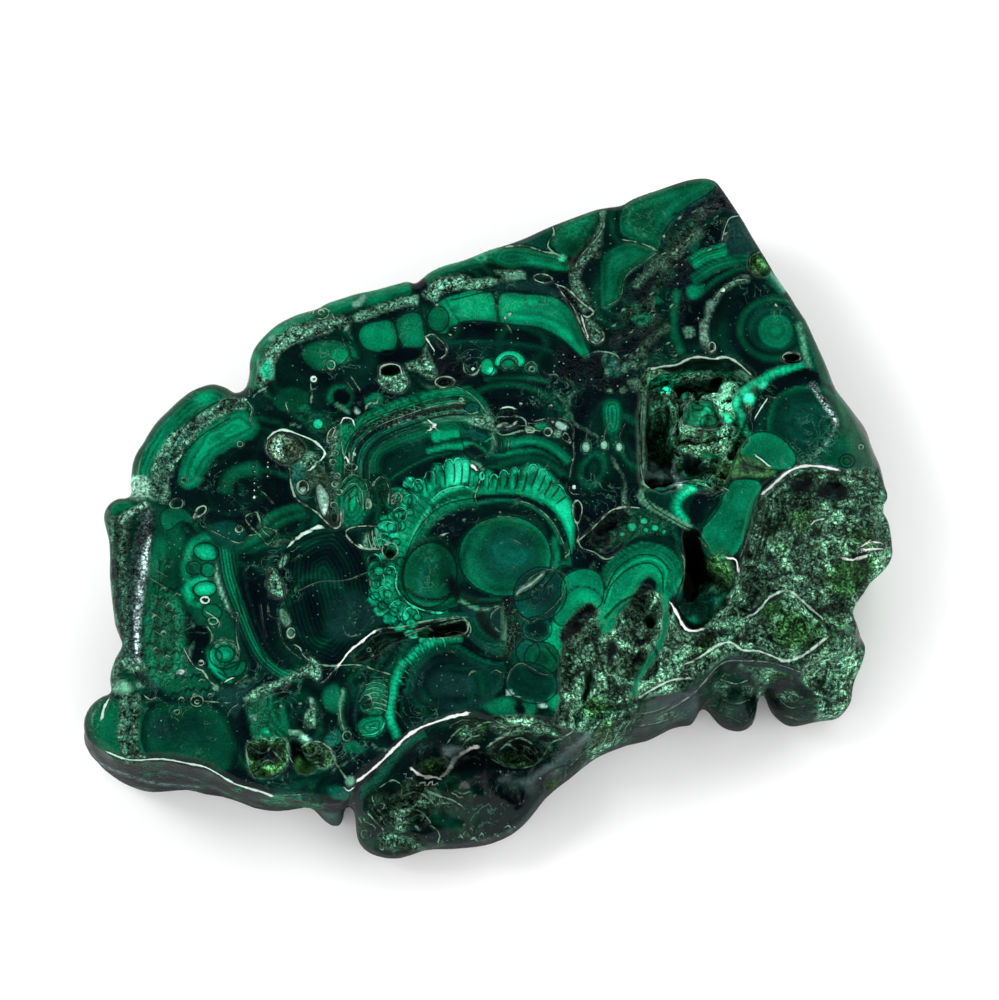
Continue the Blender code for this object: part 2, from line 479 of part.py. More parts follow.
def build():
    for old in list(bpy.data.objects):
        bpy.data.objects.remove(old, do_unlink=True)

    axes = (np.arange(-68.0, 69.0, CELL), np.arange(-60.0, 60.0, CELL), np.arange(-1.5, TOP / CELL + 2.5) * CELL)
    points, quads = one_shell(*skin(untangled(stone(*axes)), axes))

    mesh = bpy.data.meshes.new(NODE)
    mesh.from_pydata((points * 0.001).tolist(), [], quads.tolist())
    body = bpy.data.objects.new(NODE, mesh)
    bpy.context.scene.collection.objects.link(body)
    settle_underside(mesh)

    # quads to triangles along their shorter diagonal, then thinned where the stone is flat
    shape = bmesh.new()
    shape.from_mesh(mesh)
    bmesh.ops.triangulate(shape, faces=shape.faces[:], quad_method="SHORT_EDGE")
    shape.to_mesh(mesh)
    shape.free()
    thin = body.modifiers.new("Thin", "DECIMATE")
    thin.decimate_type = "COLLAPSE"
    thin.ratio = TRIANGLES / len(mesh.polygons)
    thin.use_collapse_triangulate = True
    graph = bpy.context.evaluated_depsgraph_get()
    thinned = bpy.data.meshes.new_from_object(body.evaluated_get(graph))
    body.modifiers.clear()
    body.data = thinned
    thinned.name = NODE
    settle_underside(thinned)

    shape = bmesh.new()
    shape.from_mesh(thinned)
    bmesh.ops.dissolve_degenerate(shape, edges=shape.edges[:], dist=1e-6)
    bmesh.ops.recalc_face_normals(shape, faces=shape.faces[:])
    shape.to_mesh(thinned)
    shape.free()
    thinned.shade_smooth()
    thinned.materials.append(stone_material())
    return body


build()
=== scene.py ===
"""Looks of the polished malachite specimen: the same stone as the CAD node, skinned finely, with its growth bands,
veins, crystal patches and rough matrix laid over it.

The shape functions below are those of the part. The pattern is laid out on the same measuring sheet: every nodule,
band and vein is a drawn curve, and the crisp lines, fine bands and grain are worked out by the material's nodes from
distances kept on the vertices.
"""

from math import cos, radians, sin

import bpy
import numpy as np
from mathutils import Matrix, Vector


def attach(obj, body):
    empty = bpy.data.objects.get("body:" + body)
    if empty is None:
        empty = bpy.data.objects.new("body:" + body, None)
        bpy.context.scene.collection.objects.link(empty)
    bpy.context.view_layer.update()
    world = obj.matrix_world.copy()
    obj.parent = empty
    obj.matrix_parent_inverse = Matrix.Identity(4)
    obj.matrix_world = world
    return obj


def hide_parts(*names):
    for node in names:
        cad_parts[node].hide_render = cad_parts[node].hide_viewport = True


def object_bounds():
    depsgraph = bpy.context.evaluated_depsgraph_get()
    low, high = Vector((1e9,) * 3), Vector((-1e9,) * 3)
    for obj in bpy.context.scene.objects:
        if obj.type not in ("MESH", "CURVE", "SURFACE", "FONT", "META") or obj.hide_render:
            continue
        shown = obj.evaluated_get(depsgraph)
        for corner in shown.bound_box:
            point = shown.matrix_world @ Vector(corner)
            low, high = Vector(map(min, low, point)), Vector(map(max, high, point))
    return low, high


# ---------------------------------------------------------------- driving dimensions, mm unless said
TOP = 20.5                  # height of the polished face above the sawn underside
EDGE_ROUND = 1.9            # usual rounding of the polished rim
SHOULDER_ROUND = 3.0        # what the right shoulder adds to it
SHOULDER_FALL = 2.2         # how far the right shoulder falls away
FOOT_ROUND = 1.1            # rounding where the side meets the underside
UNDERCUT = 1.3              # how far the side draws in towards the underside
LEDGE_HEIGHT = 9.6          # the low ledge in front
LEDGE_ROUND = 3.6
MATRIX_SINK = 2.4           # the rough corner, below the polished face
VUG_DEPTH = 8.6
SLOT_DEPTH = 6.0            # below the floor of the vug
SHAFT_DEPTH = 3.0
CAVITY_DEPTH = 6.5

# the measuring sheet
SHEET_TILT = radians(72)    # its view above the horizontal
SHEET_REACH = 376.0         # distance of the eye
SHEET_FOCUS = 85 / 36 * 999
SHEET_AIM = (1.21, -1.27)   # plan point at the middle of the sheet
SHEET_MM = 0.163            # mm to one unit, at the polished face

# ---------------------------------------------------------------- outlines, in units of the sheet
# The rim of the polished face, clockwise from the top right corner.
RIM = [(704, 179), (713, 181), (718, 185), (723, 192), (728, 200), (741, 220), (752, 237), (758, 246), (764, 256),
       (768, 263), (772, 270), (780, 282), (790, 296), (799, 310), (807, 322), (815, 340), (821, 353), (828, 367),
       (835, 380), (841, 388), (852, 400), (862, 412), (870, 424), (877, 437), (882, 450), (886, 463), (889, 476),
       (891, 491), (894, 507), (896, 520), (898, 532), (898, 544), (892, 555), (882, 566), (871, 578), (862, 591),
       (856, 602), (853, 612), (849, 622), (847, 632), (838, 640), (825, 643), (816, 649), (805, 655), (797, 660),
       (787, 663), (774, 659), (757, 653), (741, 652), (730, 647), (719, 652), (709, 664), (700, 675), (690, 681),
       (679, 682), (664, 688), (650, 694), (640, 701), (630, 712), (613, 719), (596, 722), (578, 724), (560, 724),
       (542, 722), (524, 721), (506, 722), (490, 722), (477, 718), (462, 716), (441, 722), (421, 731), (406, 741),
       (391, 753), (376, 765), (361, 778), (353, 788), (346, 799), (336, 803), (318, 803), (300, 799), (286, 797),
       (272, 796), (258, 791), (247, 789), (235, 784), (220, 776), (205, 768), (190, 764), (175, 761), (158, 760),
       (140, 760), (125, 760), (114, 757), (104, 751), (94, 745), (86, 736), (84, 722), (87, 711), (94, 702),
       (103, 696), (111, 692), (110, 679), (112, 667), (116, 656), (122, 644), (119, 633), (115, 620), (112, 598),
       (110, 577), (110, 557), (109, 541), (106, 528), (104, 515), (109, 504), (118, 498), (127, 497), (131, 491),
       (130, 483), (131, 473), (133, 462), (137, 452), (143, 443), (150, 431), (158, 420), (168, 410), (178, 401),
       (190, 392), (201, 387), (213, 384), (225, 387), (233, 392), (241, 391), (247, 385), (250, 373), (250, 360),
       (254, 348), (261, 339), (270, 330), (281, 322), (295, 315), (308, 311), (318, 308), (327, 303), (340, 299),
       (357, 294), (375, 290), (395, 284), (407, 281), (415, 283), (422, 278), (431, 271), (445, 265), (465, 260),
       (490, 251), (517, 242), (545, 230), (570, 220), (596, 211), (612, 208), (622, 206), (632, 200), (645, 195),
       (660, 190), (680, 183), (692, 180)]
RIM_LEVEL = TOP - 1.0
RIM_SPREAD = 0.14           # mm, from the read line to the widest part of the side

# The low front of the stone near its underside, from the left, closed behind under the polished face.
FOOT = [(91, 749), (98, 762), (108, 773), (122, 783), (137, 790), (152, 793), (168, 792), (187, 791), (205, 795),
        (222, 797), (238, 802), (254, 808), (271, 811), (289, 811), (304, 808), (313, 810), (321, 818), (331, 826),
        (340, 826), (344, 818), (345, 809), (351, 808), (356, 815), (358, 829), (359, 841), (364, 849), (374, 855),
        (386, 858), (399, 858), (411, 855), (424, 851), (436, 850), (452, 849), (468, 848), (485, 846), (498, 842),
        (511, 836), (523, 826), (533, 814), (543, 802), (555, 791), (570, 779), (584, 767), (596, 759), (608, 753),
        (628, 746), (648, 742), (660, 736), (671, 730), (682, 727), (690, 726), (695, 721), (699, 713), (703, 710),
        (707, 712), (713, 719), (721, 727), (730, 731), (741, 732), (750, 727), (754, 716), (756, 705), (759, 697),
        (763, 695), (766, 701), (770, 711), (777, 720), (785, 726), (794, 728), (807, 725), (822, 721), (836, 719),
        (843, 714), (849, 706), (851, 697), (852, 688), (854, 681), (858, 672), (861, 661), (861, 652), (855, 645),
        (846, 636), (826, 612),
        (790, 590), (700, 620), (600, 660), (500, 665), (400, 700), (340, 730), (280, 745), (200, 740), (140, 735),
        (110, 738)]
FOOT_LEVEL = 3.0

# The rough corner at the lower right, the pit in it, and the rough strip to its left.
MATRIX = [(752, 503), (760, 489), (769, 480), (779, 475), (790, 470), (805, 465), (822, 467), (845, 469), (856, 474),
          (870, 478), (886, 484), (912, 500), (916, 560), (890, 600), (875, 660), (850, 662), (826, 660), (806, 676),
          (786, 684), (755, 674), (735, 668), (712, 690), (694, 700), (676, 690), (688, 655), (700, 634), (712, 622),
          (726, 611), (737, 597), (741, 582), (741, 562), (743, 545), (746, 525)]
MATRIX_PIT = [(744, 622), (752, 611), (762, 603), (772, 596), (786, 590), (796, 594), (805, 603), (815, 613),
              (823, 620), (826, 632), (818, 641), (804, 648), (788, 655), (772, 652), (758, 646), (746, 640)]
STRIP = [(563, 652), (570, 643), (580, 633), (592, 622), (602, 614), (616, 610), (628, 602), (634, 592), (645, 584),
         (654, 590), (661, 604), (659, 622), (652, 645), (643, 668), (636, 690), (632, 712), (634, 760), (560, 790),
         (556, 742), (574, 728), (568, 708), (562, 690), (561, 670)]

# The vug, the cut nodule in it, its slot, its shaft and its hole, then the second cavity and its hole.
VUG = [(648, 376), (652, 368), (662, 365), (673, 364), (683, 359), (693, 357), (704, 356), (716, 359), (727, 356),
       (736, 360), (746, 366), (756, 376), (748, 381), (739, 388), (734, 398), (737, 410), (748, 418), (751, 430),
       (741, 444), (735, 460), (729, 475), (722, 489), (713, 488), (704, 480), (693, 478), (678, 481), (662, 483),
       (651, 487), (645, 481), (646, 468), (648, 450), (646, 430), (646, 410), (648, 395), (646, 385)]
VUG_NODULE = [(682, 425), (681, 413), (686, 404), (695, 400), (707, 401), (716, 409), (719, 420), (716, 426),
              (707, 429), (694, 428)]
SLOT = [(656, 369), (668, 365), (685, 360), (703, 358), (716, 361), (728, 359), (740, 364), (746, 369), (737, 371),
        (722, 373), (708, 371), (696, 375), (684, 376), (672, 374), (664, 371)]
SHAFT = [(649, 410), (656, 398), (666, 398), (671, 410), (671, 430), (672, 450), (671, 462), (676, 480), (650, 484),
         (646, 470), (648, 440)]
VUG_HOLE = [(647, 463), (655, 461), (664, 466), (672, 476), (670, 483), (658, 485), (648, 485)]
CAVITY = [(684, 531), (691, 526), (700, 533), (707, 545), (713, 556), (723, 563), (733, 572), (738, 585), (734, 597),
          (723, 610), (713, 619), (703, 627), (693, 629), (685, 622), (679, 612), (674, 601), (680, 588), (685, 572),
          (686, 555), (683, 540)]
CAVITY_HOLE = [(688, 534), (697, 536), (702, 548), (701, 565), (701, 580), (693, 587), (687, 578), (689, 560)]

# Lumps standing in the vug: centre, half sizes, level below the polished face.
VUG_LUMPS = [
    ((664, 386), (17, 10), 2.4), ((652, 400), (7, 18), 3.6), ((676, 404), (5, 15), 2.4), ((675, 428), (5, 12), 2.6),
    ((676, 455), (5, 16), 4.4), ((690, 391), (9, 11), 2.6), ((716, 391), (15, 9), 2.8), ((736, 378), (14, 6), 2.2),
    ((727, 402), (9, 8), 2.4), ((728, 418), (9, 9), 1.8), ((742, 424), (9, 9), 2.0), ((729, 436), (9, 8), 2.2),
    ((689, 436), (9, 6), 4.2), ((704, 437), (8, 6), 4.2), ((716, 437), (7, 7), 3.4), ((690, 446), (12, 5), 4.8),
    ((711, 453), (10, 5), 4.0), ((728, 456), (8, 10), 3.0), ((719, 472), (9, 9), 3.2), ((700, 474), (12, 4), 2.6),
    ((730, 385), (8, 6), 2.6)]

# Smaller hollows in the polished face: loop, depth, width of the wall in units, roughness 0 to 1.
HOLLOWS = [
    ([(580, 545), (583, 536), (592, 526), (601, 517), (610, 512), (622, 511), (636, 514), (641, 521), (638, 531),
      (628, 541), (618, 550), (606, 557), (597, 552), (588, 549)], 1.6, 5, 0.8),
    ([(652, 610), (658, 614), (657, 622), (651, 624), (647, 619), (647, 612)], 5.0, 3, 0.2),
    ([(587, 662), (594, 664), (592, 682), (586, 700), (581, 697), (584, 680)], 2.5, 4, 0.4),
    ([(380, 366), (392, 363), (401, 367), (399, 373), (388, 375), (379, 372)], 2.6, 3, 0.1),
    ([(419, 627), (430, 624), (448, 621), (462, 620), (467, 627), (463, 634), (448, 636), (432, 637), (420, 637)],
     3.2, 3, 0.3),
    ([(378, 634), (395, 632), (420, 629), (420, 636), (402, 639), (388, 646), (380, 652), (366, 660), (352, 661),
      (362, 648)], 1.5, 5, 0.5),
    ([(250, 745), (262, 741), (276, 739), (286, 744), (288, 757), (283, 770), (268, 775), (256, 774), (251, 763)],
     1.6, 5, 1.0),
    ([(291, 738), (299, 741), (308, 752), (318, 764), (312, 772), (300, 773), (294, 763), (290, 750)], 3.0, 5, 0.5),
    ([(312, 752), (318, 746), (328, 752), (333, 762), (322, 766), (313, 760)], 0.9, 4, 0.8),
    ([(783, 357), (789, 353), (799, 352), (803, 358), (799, 362), (788, 362)], 2.2, 3, 0.1),
    ([(438, 381), (446, 376), (453, 380), (447, 385), (440, 386)], 1.0, 3, 0.2),
    ([(437, 339), (447, 344), (445, 349), (438, 345)], 0.8, 3, 0.1),
    ([(328, 508), (334, 504), (341, 508), (341, 522), (335, 527), (328, 522)], 0.7, 4, 0.1),
    ([(385, 543), (394, 546), (397, 553), (390, 558), (383, 553)], 2.4, 3, 0.1),
    ([(751, 252), (757, 251), (766, 262), (772, 272), (763, 277), (754, 268), (749, 259)], 1.2, 5, 0.9),
    ([(560, 285), (567, 289), (577, 303), (585, 316), (593, 334), (588, 338), (581, 324), (572, 308), (562, 292)],
     0.9, 3, 0.3),
    ([(568, 268), (576, 266), (590, 245), (600, 236), (596, 232), (584, 243), (572, 258)], 0.6, 4, 0.5),
    ([(276, 436), (288, 434), (300, 444), (304, 456), (292, 462), (278, 458), (270, 448)], 0.7, 6, 1.0),
    ([(299, 482), (306, 481), (309, 492), (303, 497), (298, 491)], 0.8, 3, 0.8),
    ([(345, 466), (352, 464), (357, 466), (353, 471), (347, 471)], 1.2, 3, 0.1),
    ([(266, 570), (274, 567), (281, 580), (286, 592), (280, 599), (269, 593)], 0.5, 4, 1.0),
    ([(280, 608), (286, 610), (290, 622), (285, 627), (281, 618)], 0.4, 3, 0.6),
    ([(248, 697), (262, 688), (280, 684), (292, 680), (285, 690), (268, 696), (254, 702)], 0.6, 4, 0.9),
    ([(446, 398), (462, 397), (464, 403), (450, 405)], 0.2, 3, 0.1),
    ([(498, 424), (515, 423), (516, 427), (500, 429)], 0.5, 3, 0.4),
    ([(700, 340), (709, 338), (716, 348), (712, 354), (704, 349)], 0.4, 3, 0.4),
    ([(546, 416), (558, 420), (566, 428), (560, 431), (550, 425)], 0.5, 3, 0.4),
    ([(720, 457), (735, 456), (750, 462), (768, 467), (765, 473), (745, 476), (728, 476)], 0.5, 4, 0.9),
    ([(722, 238), (727, 222), (736, 216), (740, 219), (731, 225), (728, 240)], 0.25, 3, 0.2),
]


# ---------------------------------------------------------------- the measuring sheet
def plan(u, v, z=TOP):
    """Plan position, mm, of a point of the sheet that lies at height z."""
    s, c = sin(SHEET_TILT), cos(SHEET_TILT)
    du, dv = (np.asarray(u, float) - 499.5) / SHEET_FOCUS, (500 - np.asarray(v, float)) / SHEET_FOCUS
    t = (z - TOP - SHEET_REACH * s) / (-s + dv * c)
    return SHEET_AIM[0] + t * du, SHEET_AIM[1] - SHEET_REACH * c + t * (c + dv * s)


def sheet(x, y, z=TOP):
    """Where a point of the stone lies on the sheet."""
    s, c = sin(SHEET_TILT), cos(SHEET_TILT)
    px, py, pz = x - SHEET_AIM[0], y - SHEET_AIM[1] + SHEET_REACH * c, z - TOP - SHEET_REACH * s
    depth = py * c - pz * s
    return 499.5 + SHEET_FOCUS * px / depth, 500 - SHEET_FOCUS * (py * s + pz * c) / depth


def at_top(points, z):
    """Points of the sheet at height z, moved to where they would be read at the polished face."""
    p = np.asarray(points, float)
    x, y = plan(p[:, 0], p[:, 1], z)
    return np.stack(sheet(x, y), 1)


# ---------------------------------------------------------------- small tools
def rounded(points, n=3):
    """A closed Catmull-Rom curve through the points, n pieces to each side."""
    p = np.asarray(points, float)
    a, b, c, d = np.roll(p, 1, 0), p, np.roll(p, -1, 0), np.roll(p, -2, 0)
    out = []
    for i in range(n):
        t = i / n
        out.append(0.5 * (2 * b + (c - a) * t + (2 * a - 5 * b + 4 * c - d) * t**2 + (3 * b - a - 3 * c + d) * t**3))
    return np.stack(out, 1).reshape(-1, 2)


def inside_distance(u, v, loop):
    """Distance to a closed loop, positive inside it."""
    best, odd = np.full(u.shape, 1e18), np.zeros(u.shape, bool)
    for (x0, y0), (x1, y1) in zip(loop, np.roll(loop, -1, 0)):
        ex, ey = x1 - x0, y1 - y0
        length2 = ex * ex + ey * ey
        if length2 < 1e-12:
            continue
        px, py = u - x0, v - y0
        t = np.clip((px * ex + py * ey) / length2, 0, 1)
        best = np.minimum(best, (px - t * ex) ** 2 + (py - t * ey) ** 2)
        if ey != 0:
            odd ^= ((y0 > v) != (y1 > v)) & (px < ex * (v - y0) / ey)
    return np.where(odd, 1, -1) * np.sqrt(best)


def region(u, v, points, pad=14.0):
    """inside_distance of a rounded loop, worked out near it and held at -pad further off."""
    loop = rounded(points, 2)
    (u0, v0), (u1, v1) = loop.min(0) - pad, loop.max(0) + pad
    m = (u > u0) & (u < u1) & (v > v0) & (v < v1)
    out = np.full(u.shape, -pad)
    out[m] = np.maximum(inside_distance(u[m], v[m], loop), -pad)
    return out


def step(x, lo, hi):
    t = np.clip((x - lo) / (hi - lo), 0, 1)
    return t * t * (3 - 2 * t)


def bump(u, v, cu, cv, ru, rv, power=2.0):
    return np.exp(-((((u - cu) / ru) ** 2 + ((v - cv) / rv) ** 2) ** (power / 2)))


def smooth_min(a, b, k):
    h = np.clip(0.5 + 0.5 * (b - a) / k, 0, 1)
    return b * (1 - h) + a * h - k * h * (1 - h)


def smooth_max(a, b, k):
    return -smooth_min(-a, -b, k)


def hashed(i, j, k, seed):
    n = (i * 374761393 + j * 668265263 + k * 2147483647 + seed * 1274126177) & 0xFFFFFFFF
    n = ((n ^ (n >> 13)) * 1103515245) & 0xFFFFFFFF
    n = ((n ^ (n >> 16)) * 2246822519) & 0xFFFFFFFF
    return ((n ^ (n >> 13)) & 0xFFFFFF) / 0xFFFFFF


def noise(x, y, z=0.0, seed=0):
    """Smooth lattice noise, -1 to 1."""
    x, y, z = np.broadcast_arrays(np.asarray(x, float), y, z)
    i, j, k = (np.floor(w).astype(np.int64) for w in (x, y, z))
    fx, fy, fz = (f**3 * (f * (f * 6 - 15) + 10) for f in (x - i, y - j, z - k))
    total = 0
    for a in (0, 1):
        for b in (0, 1):
            for c in (0, 1):
                w = (fx if a else 1 - fx) * (fy if b else 1 - fy) * (fz if c else 1 - fz)
                total = total + w * hashed(i + a, j + b, k + c, seed)
    return total * 2 - 1


# ---------------------------------------------------------------- the shape of the stone
def top_height(u, v, x, y):
    """Height of the upper side over the plan."""
    z = TOP + 0.05 * noise(x / 17, y / 17, 0, 3) + 0.015 * noise(x / 6, y / 6, 0, 4)
    z = z - SHOULDER_FALL * step(u, 822, 900) ** 1.3 * step(v, 300, 400) * (1 - step(v, 470, 520))
    grain = (0.55 * np.abs(noise(u / 9, v / 9, 0, 21)) + 0.33 * np.abs(noise(u / 4.6, v / 4.6, 0, 22))
             + 0.14 * noise(u / 2.6, v / 2.6, 0, 23))

    # the rough corner, deepest under the edge of the polished face, with a ridged pit
    w = step(region(u, v, MATRIX), -1, 6)
    sink = (MATRIX_SINK + 2.6 * bump(u, v, 822, 492, 42, 18) + 1.0 * bump(u, v, 770, 520, 20, 40)
            - 1.2 * bump(u, v, 745, 640, 40, 18) - 1.0 * bump(u, v, 700, 655, 22, 22) + 1.2 * step(u, 850, 895)
            + 0.8 * noise(u / 34, v / 34, 0, 11))
    d = region(u, v, MATRIX_PIT)
    sink = sink + step(d, 0, 9) * (1.8 + 1.2 * bump(u, v, 790, 632, 30, 18)) - 1.2 * np.exp(-((d / 3.2) ** 2))
    folds = noise((u * 0.95 + v * 0.3) / 6, (v * 0.95 - u * 0.3) / 30, 0, 24)
    z = z - w * (sink + 1.25 * grain + 0.35 * folds * step(u, 740, 790) * (1 - step(u, 790, 830)))

    # the rough strip
    w = step(region(u, v, STRIP), -1, 5)
    z = z - w * (1.5 + 1.4 * step(v, 660, 740) + 1.3 * grain + 0.5 * noise(u / 16, v / 16, 0, 12))

    for loop, depth, wall, rough in HOLLOWS:
        z = z - step(region(u, v, loop), -0.8, wall) * (depth + rough * 0.9 * (grain - 0.25))

    # the vug
    w = step(region(u, v, VUG), -0.5, 3.5)
    floor = -VUG_DEPTH - 0.8 * noise(u / 12, v / 12, 0, 31) - 0.5 * grain
    for (cu, cv), (ru, rv), level in VUG_LUMPS:
        q = np.sqrt(((u - cu) / ru) ** 2 + ((v - cv) / rv) ** 2) + 0.12 * noise(u / 5, v / 5, 0, 33)
        lump = -level - 1.6 * np.clip(q, 0, 3) ** 2 - 9 * step(q, 0.85, 1.6) - 0.35 * grain
        floor = smooth_max(floor, lump, 0.5)
    floor = np.maximum(floor, -1.1 - 0.02 * (v - 415) - 9 * (1 - step(region(u, v, VUG_NODULE), -1.5, 1.5)))
    floor = floor - SLOT_DEPTH * step(region(u, v, SLOT), -0.5, 3.5) * (1 - 0.3 * step(u, 700, 745))
    floor = floor - SHAFT_DEPTH * step(region(u, v, SHAFT), -1, 4)
    z = z * (1 - w) + w * np.minimum(z, TOP + floor)

    # the second cavity
    w = step(region(u, v, CAVITY), -0.5, 5)
    floor = (-CAVITY_DEPTH - 4 * bump(u, v, 700, 560, 16, 26) - 0.6 * noise(u / 9, v / 9, 0, 35)
             + 1.6 * step(v, 596, 624) - 0.2 * grain)
    z = z * (1 - w) + w * np.minimum(z, TOP + floor)

    for loop in (VUG_HOLE, CAVITY_HOLE):
        z = z - 30 * step(region(u, v, loop), -1.5, 3)
    return z


def ledge_height(u, v, out):
    """Height of the low front, out being the distance from the rim in units."""
    h = LEDGE_HEIGHT + 1.6 * noise(u / 30, v / 26, 0, 51)
    for cu, cv, ru, rv, up in ((455, 778, 46, 20, 2.6), (372, 800, 18, 20, 1.4), (455, 742, 14, 14, -1.8),
                               (530, 752, 34, 16, 2.8), (522, 735, 26, 10, -2.6), (500, 790, 26, 16, 1.0),
                               (738, 690, 20, 20, 1.0), (815, 690, 30, 22, 1.2), (762, 680, 7, 24, -1.5)):
        h = h + up * bump(u, v, cu, cv, ru, rv)
    h = h + 6.5 * (1 - step(out, 4, 22)) + 2.5 * (1 - step(out, 0, 9))
    rough = np.clip(step(noise(u / 22, v / 16, 0, 52), -0.05, 0.35) * 0.8, 0, 1)
    for cu, cv, ru, rv, p in ((522, 738, 34, 14, 4), (610, 735, 55, 30, 6)):
        rough = np.maximum(rough, bump(u, v, cu, cv, ru, rv, p))
    for cu, cv, ru, rv in ((460, 785, 48, 18), (455, 742, 12, 12), (738, 690, 18, 16), (800, 690, 22, 16),
                           (665, 700, 28, 20), (512, 790, 28, 22), (365, 810, 12, 16)):
        rough = rough * (1 - bump(u, v, cu, cv, ru, rv, 4))
    grain = 0.6 * np.abs(noise(u / 8, v / 8, 0, 61)) + 0.35 * np.abs(noise(u / 4.4, v / 4.4, 0, 62))
    return h - rough * 1.5 * grain


def rounded_edge(a, b, r):
    """Two surfaces meeting, both negative inside, rounded over by r."""
    p, q = np.maximum(a + r, 0), np.maximum(b + r, 0)
    return np.minimum(np.maximum(a + r, b + r), 0) + np.sqrt(p * p + q * q) - r


def stone(xs, ys, zs):
    """The stone sampled on a grid, negative inside."""
    x, y = np.meshgrid(xs, ys, indexing="ij")
    u, v = sheet(x, y)
    top = top_height(u, v, x, y)
    rim = SHEET_MM * inside_distance(u, v, rounded(at_top(RIM, RIM_LEVEL), 3)) + RIM_SPREAD
    foot = SHEET_MM * inside_distance(u, v, rounded(at_top(FOOT, FOOT_LEVEL), 2))
    ledge = np.minimum(ledge_height(u, v, -rim / SHEET_MM), np.minimum(TOP - 1.5, top - 1.0))

    edge = EDGE_ROUND + 0.35 * noise(u / 40, v / 40, 0, 41)
    edge = edge - 0.8 * step(u, 400, 480) * (1 - step(v, 200, 420)) - 0.5 * step(u, 340, 400) * step(v, 680, 720)
    edge = edge + SHOULDER_ROUND * step(u, 790, 850) * step(v, 300, 400) * (1 - step(v, 560, 600))
    edge = np.minimum(np.clip(edge, 0.8, 5.5), np.maximum(top / 3, 0.6))
    undercut = (UNDERCUT + 3.6 * bump(u, v, 300, 800, 70, 60, 4) + 4.2 * bump(u, v, 872, 592, 34, 34, 4)
                + 0.9 * noise(u / 60, v / 60, 0, 42))

    x, y, rim, foot, top, ledge, edge, undercut = (f[..., None] for f in (x, y, rim, foot, top, ledge, edge, undercut))
    z = zs[None, None, :]
    wave = 0.35 * noise(x / 7, y / 7, z / 6, 71) + 0.18 * noise(x / 3.2, y / 3.2, z / 3, 72)
    side = -rim + undercut * np.clip((TOP - 5 - z) / (TOP - 5), 0, 1) ** 1.5 - wave * np.clip((TOP - z) / 4, 0, 1)
    upper = rounded_edge(side, z - top, edge)
    front = -foot + 1.2 * np.clip((4 - z) / 4, 0, 1) ** 2 - 0.5 * wave
    lower = rounded_edge(front, z - ledge, LEDGE_ROUND)
    body = np.maximum(smooth_min(upper, lower, 1.6), z - top)
    return rounded_edge(body, -z, FOOT_ROUND)


# ---------------------------------------------------------------- its skin
def untangled(values):
    """The samples with every corner-to-corner touch filled, so that the skin never meets itself along an edge."""
    f = values.copy()
    shape = np.array(f.shape)
    for _ in range(20):
        # a single sample of air shut in on all sides is filled
        s = f < 0
        shut = ~s[1:-1, 1:-1, 1:-1]
        for axis in range(3):
            for side in (slice(0, -2), slice(2, None)):
                shut &= s[tuple(side if n == axis else slice(1, -1) for n in range(3))]
        f[1:-1, 1:-1, 1:-1][shut] = -1e-3
        changed = int(shut.sum())
        for axis in range(3):
            o1, o2 = (axis + 1) % 3, (axis + 2) % 3

            def corner(d1, d2):
                cut = [slice(None)] * 3
                cut[o1], cut[o2] = slice(d1, shape[o1] - 1 + d1), slice(d2, shape[o2] - 1 + d2)
                return tuple(cut)

            a, b, c, d = (f[corner(*k)] < 0 for k in ((0, 0), (1, 1), (0, 1), (1, 0)))
            for k, hit in (((0, 0), ~a & ~b & c & d), ((0, 1), a & b & ~c & ~d)):
                f[corner(*k)][hit] = -1e-3
                changed += int(hit.sum())
        s = f < 0
        for p in ((0, 0, 0), (1, 0, 0), (0, 1, 0), (1, 1, 0)):
            part = {}
            for q in ((0, 0, 0), (1, 0, 0), (0, 1, 0), (1, 1, 0), (0, 0, 1), (1, 0, 1), (0, 1, 1), (1, 1, 1)):
                part[q] = s[tuple(slice(q[n], shape[n] - 1 + q[n]) for n in range(3))]
            far = tuple(1 - n for n in p)
            count = sum(w.astype(np.int8) for w in part.values())
            lone = part[p] & part[far] & (count == 2)
            hole = ~part[p] & ~part[far] & (count == 6)
            near = (1 - p[0], p[1], p[2])
            f[tuple(slice(near[n], shape[n] - 1 + near[n]) for n in range(3))][lone] = -1e-3
            f[tuple(slice(p[n], shape[n] - 1 + p[n]) for n in range(3))][hole] = -1e-3
            changed += int(lone.sum() + hole.sum())
            s = f < 0
        if not changed:
            break
    return f


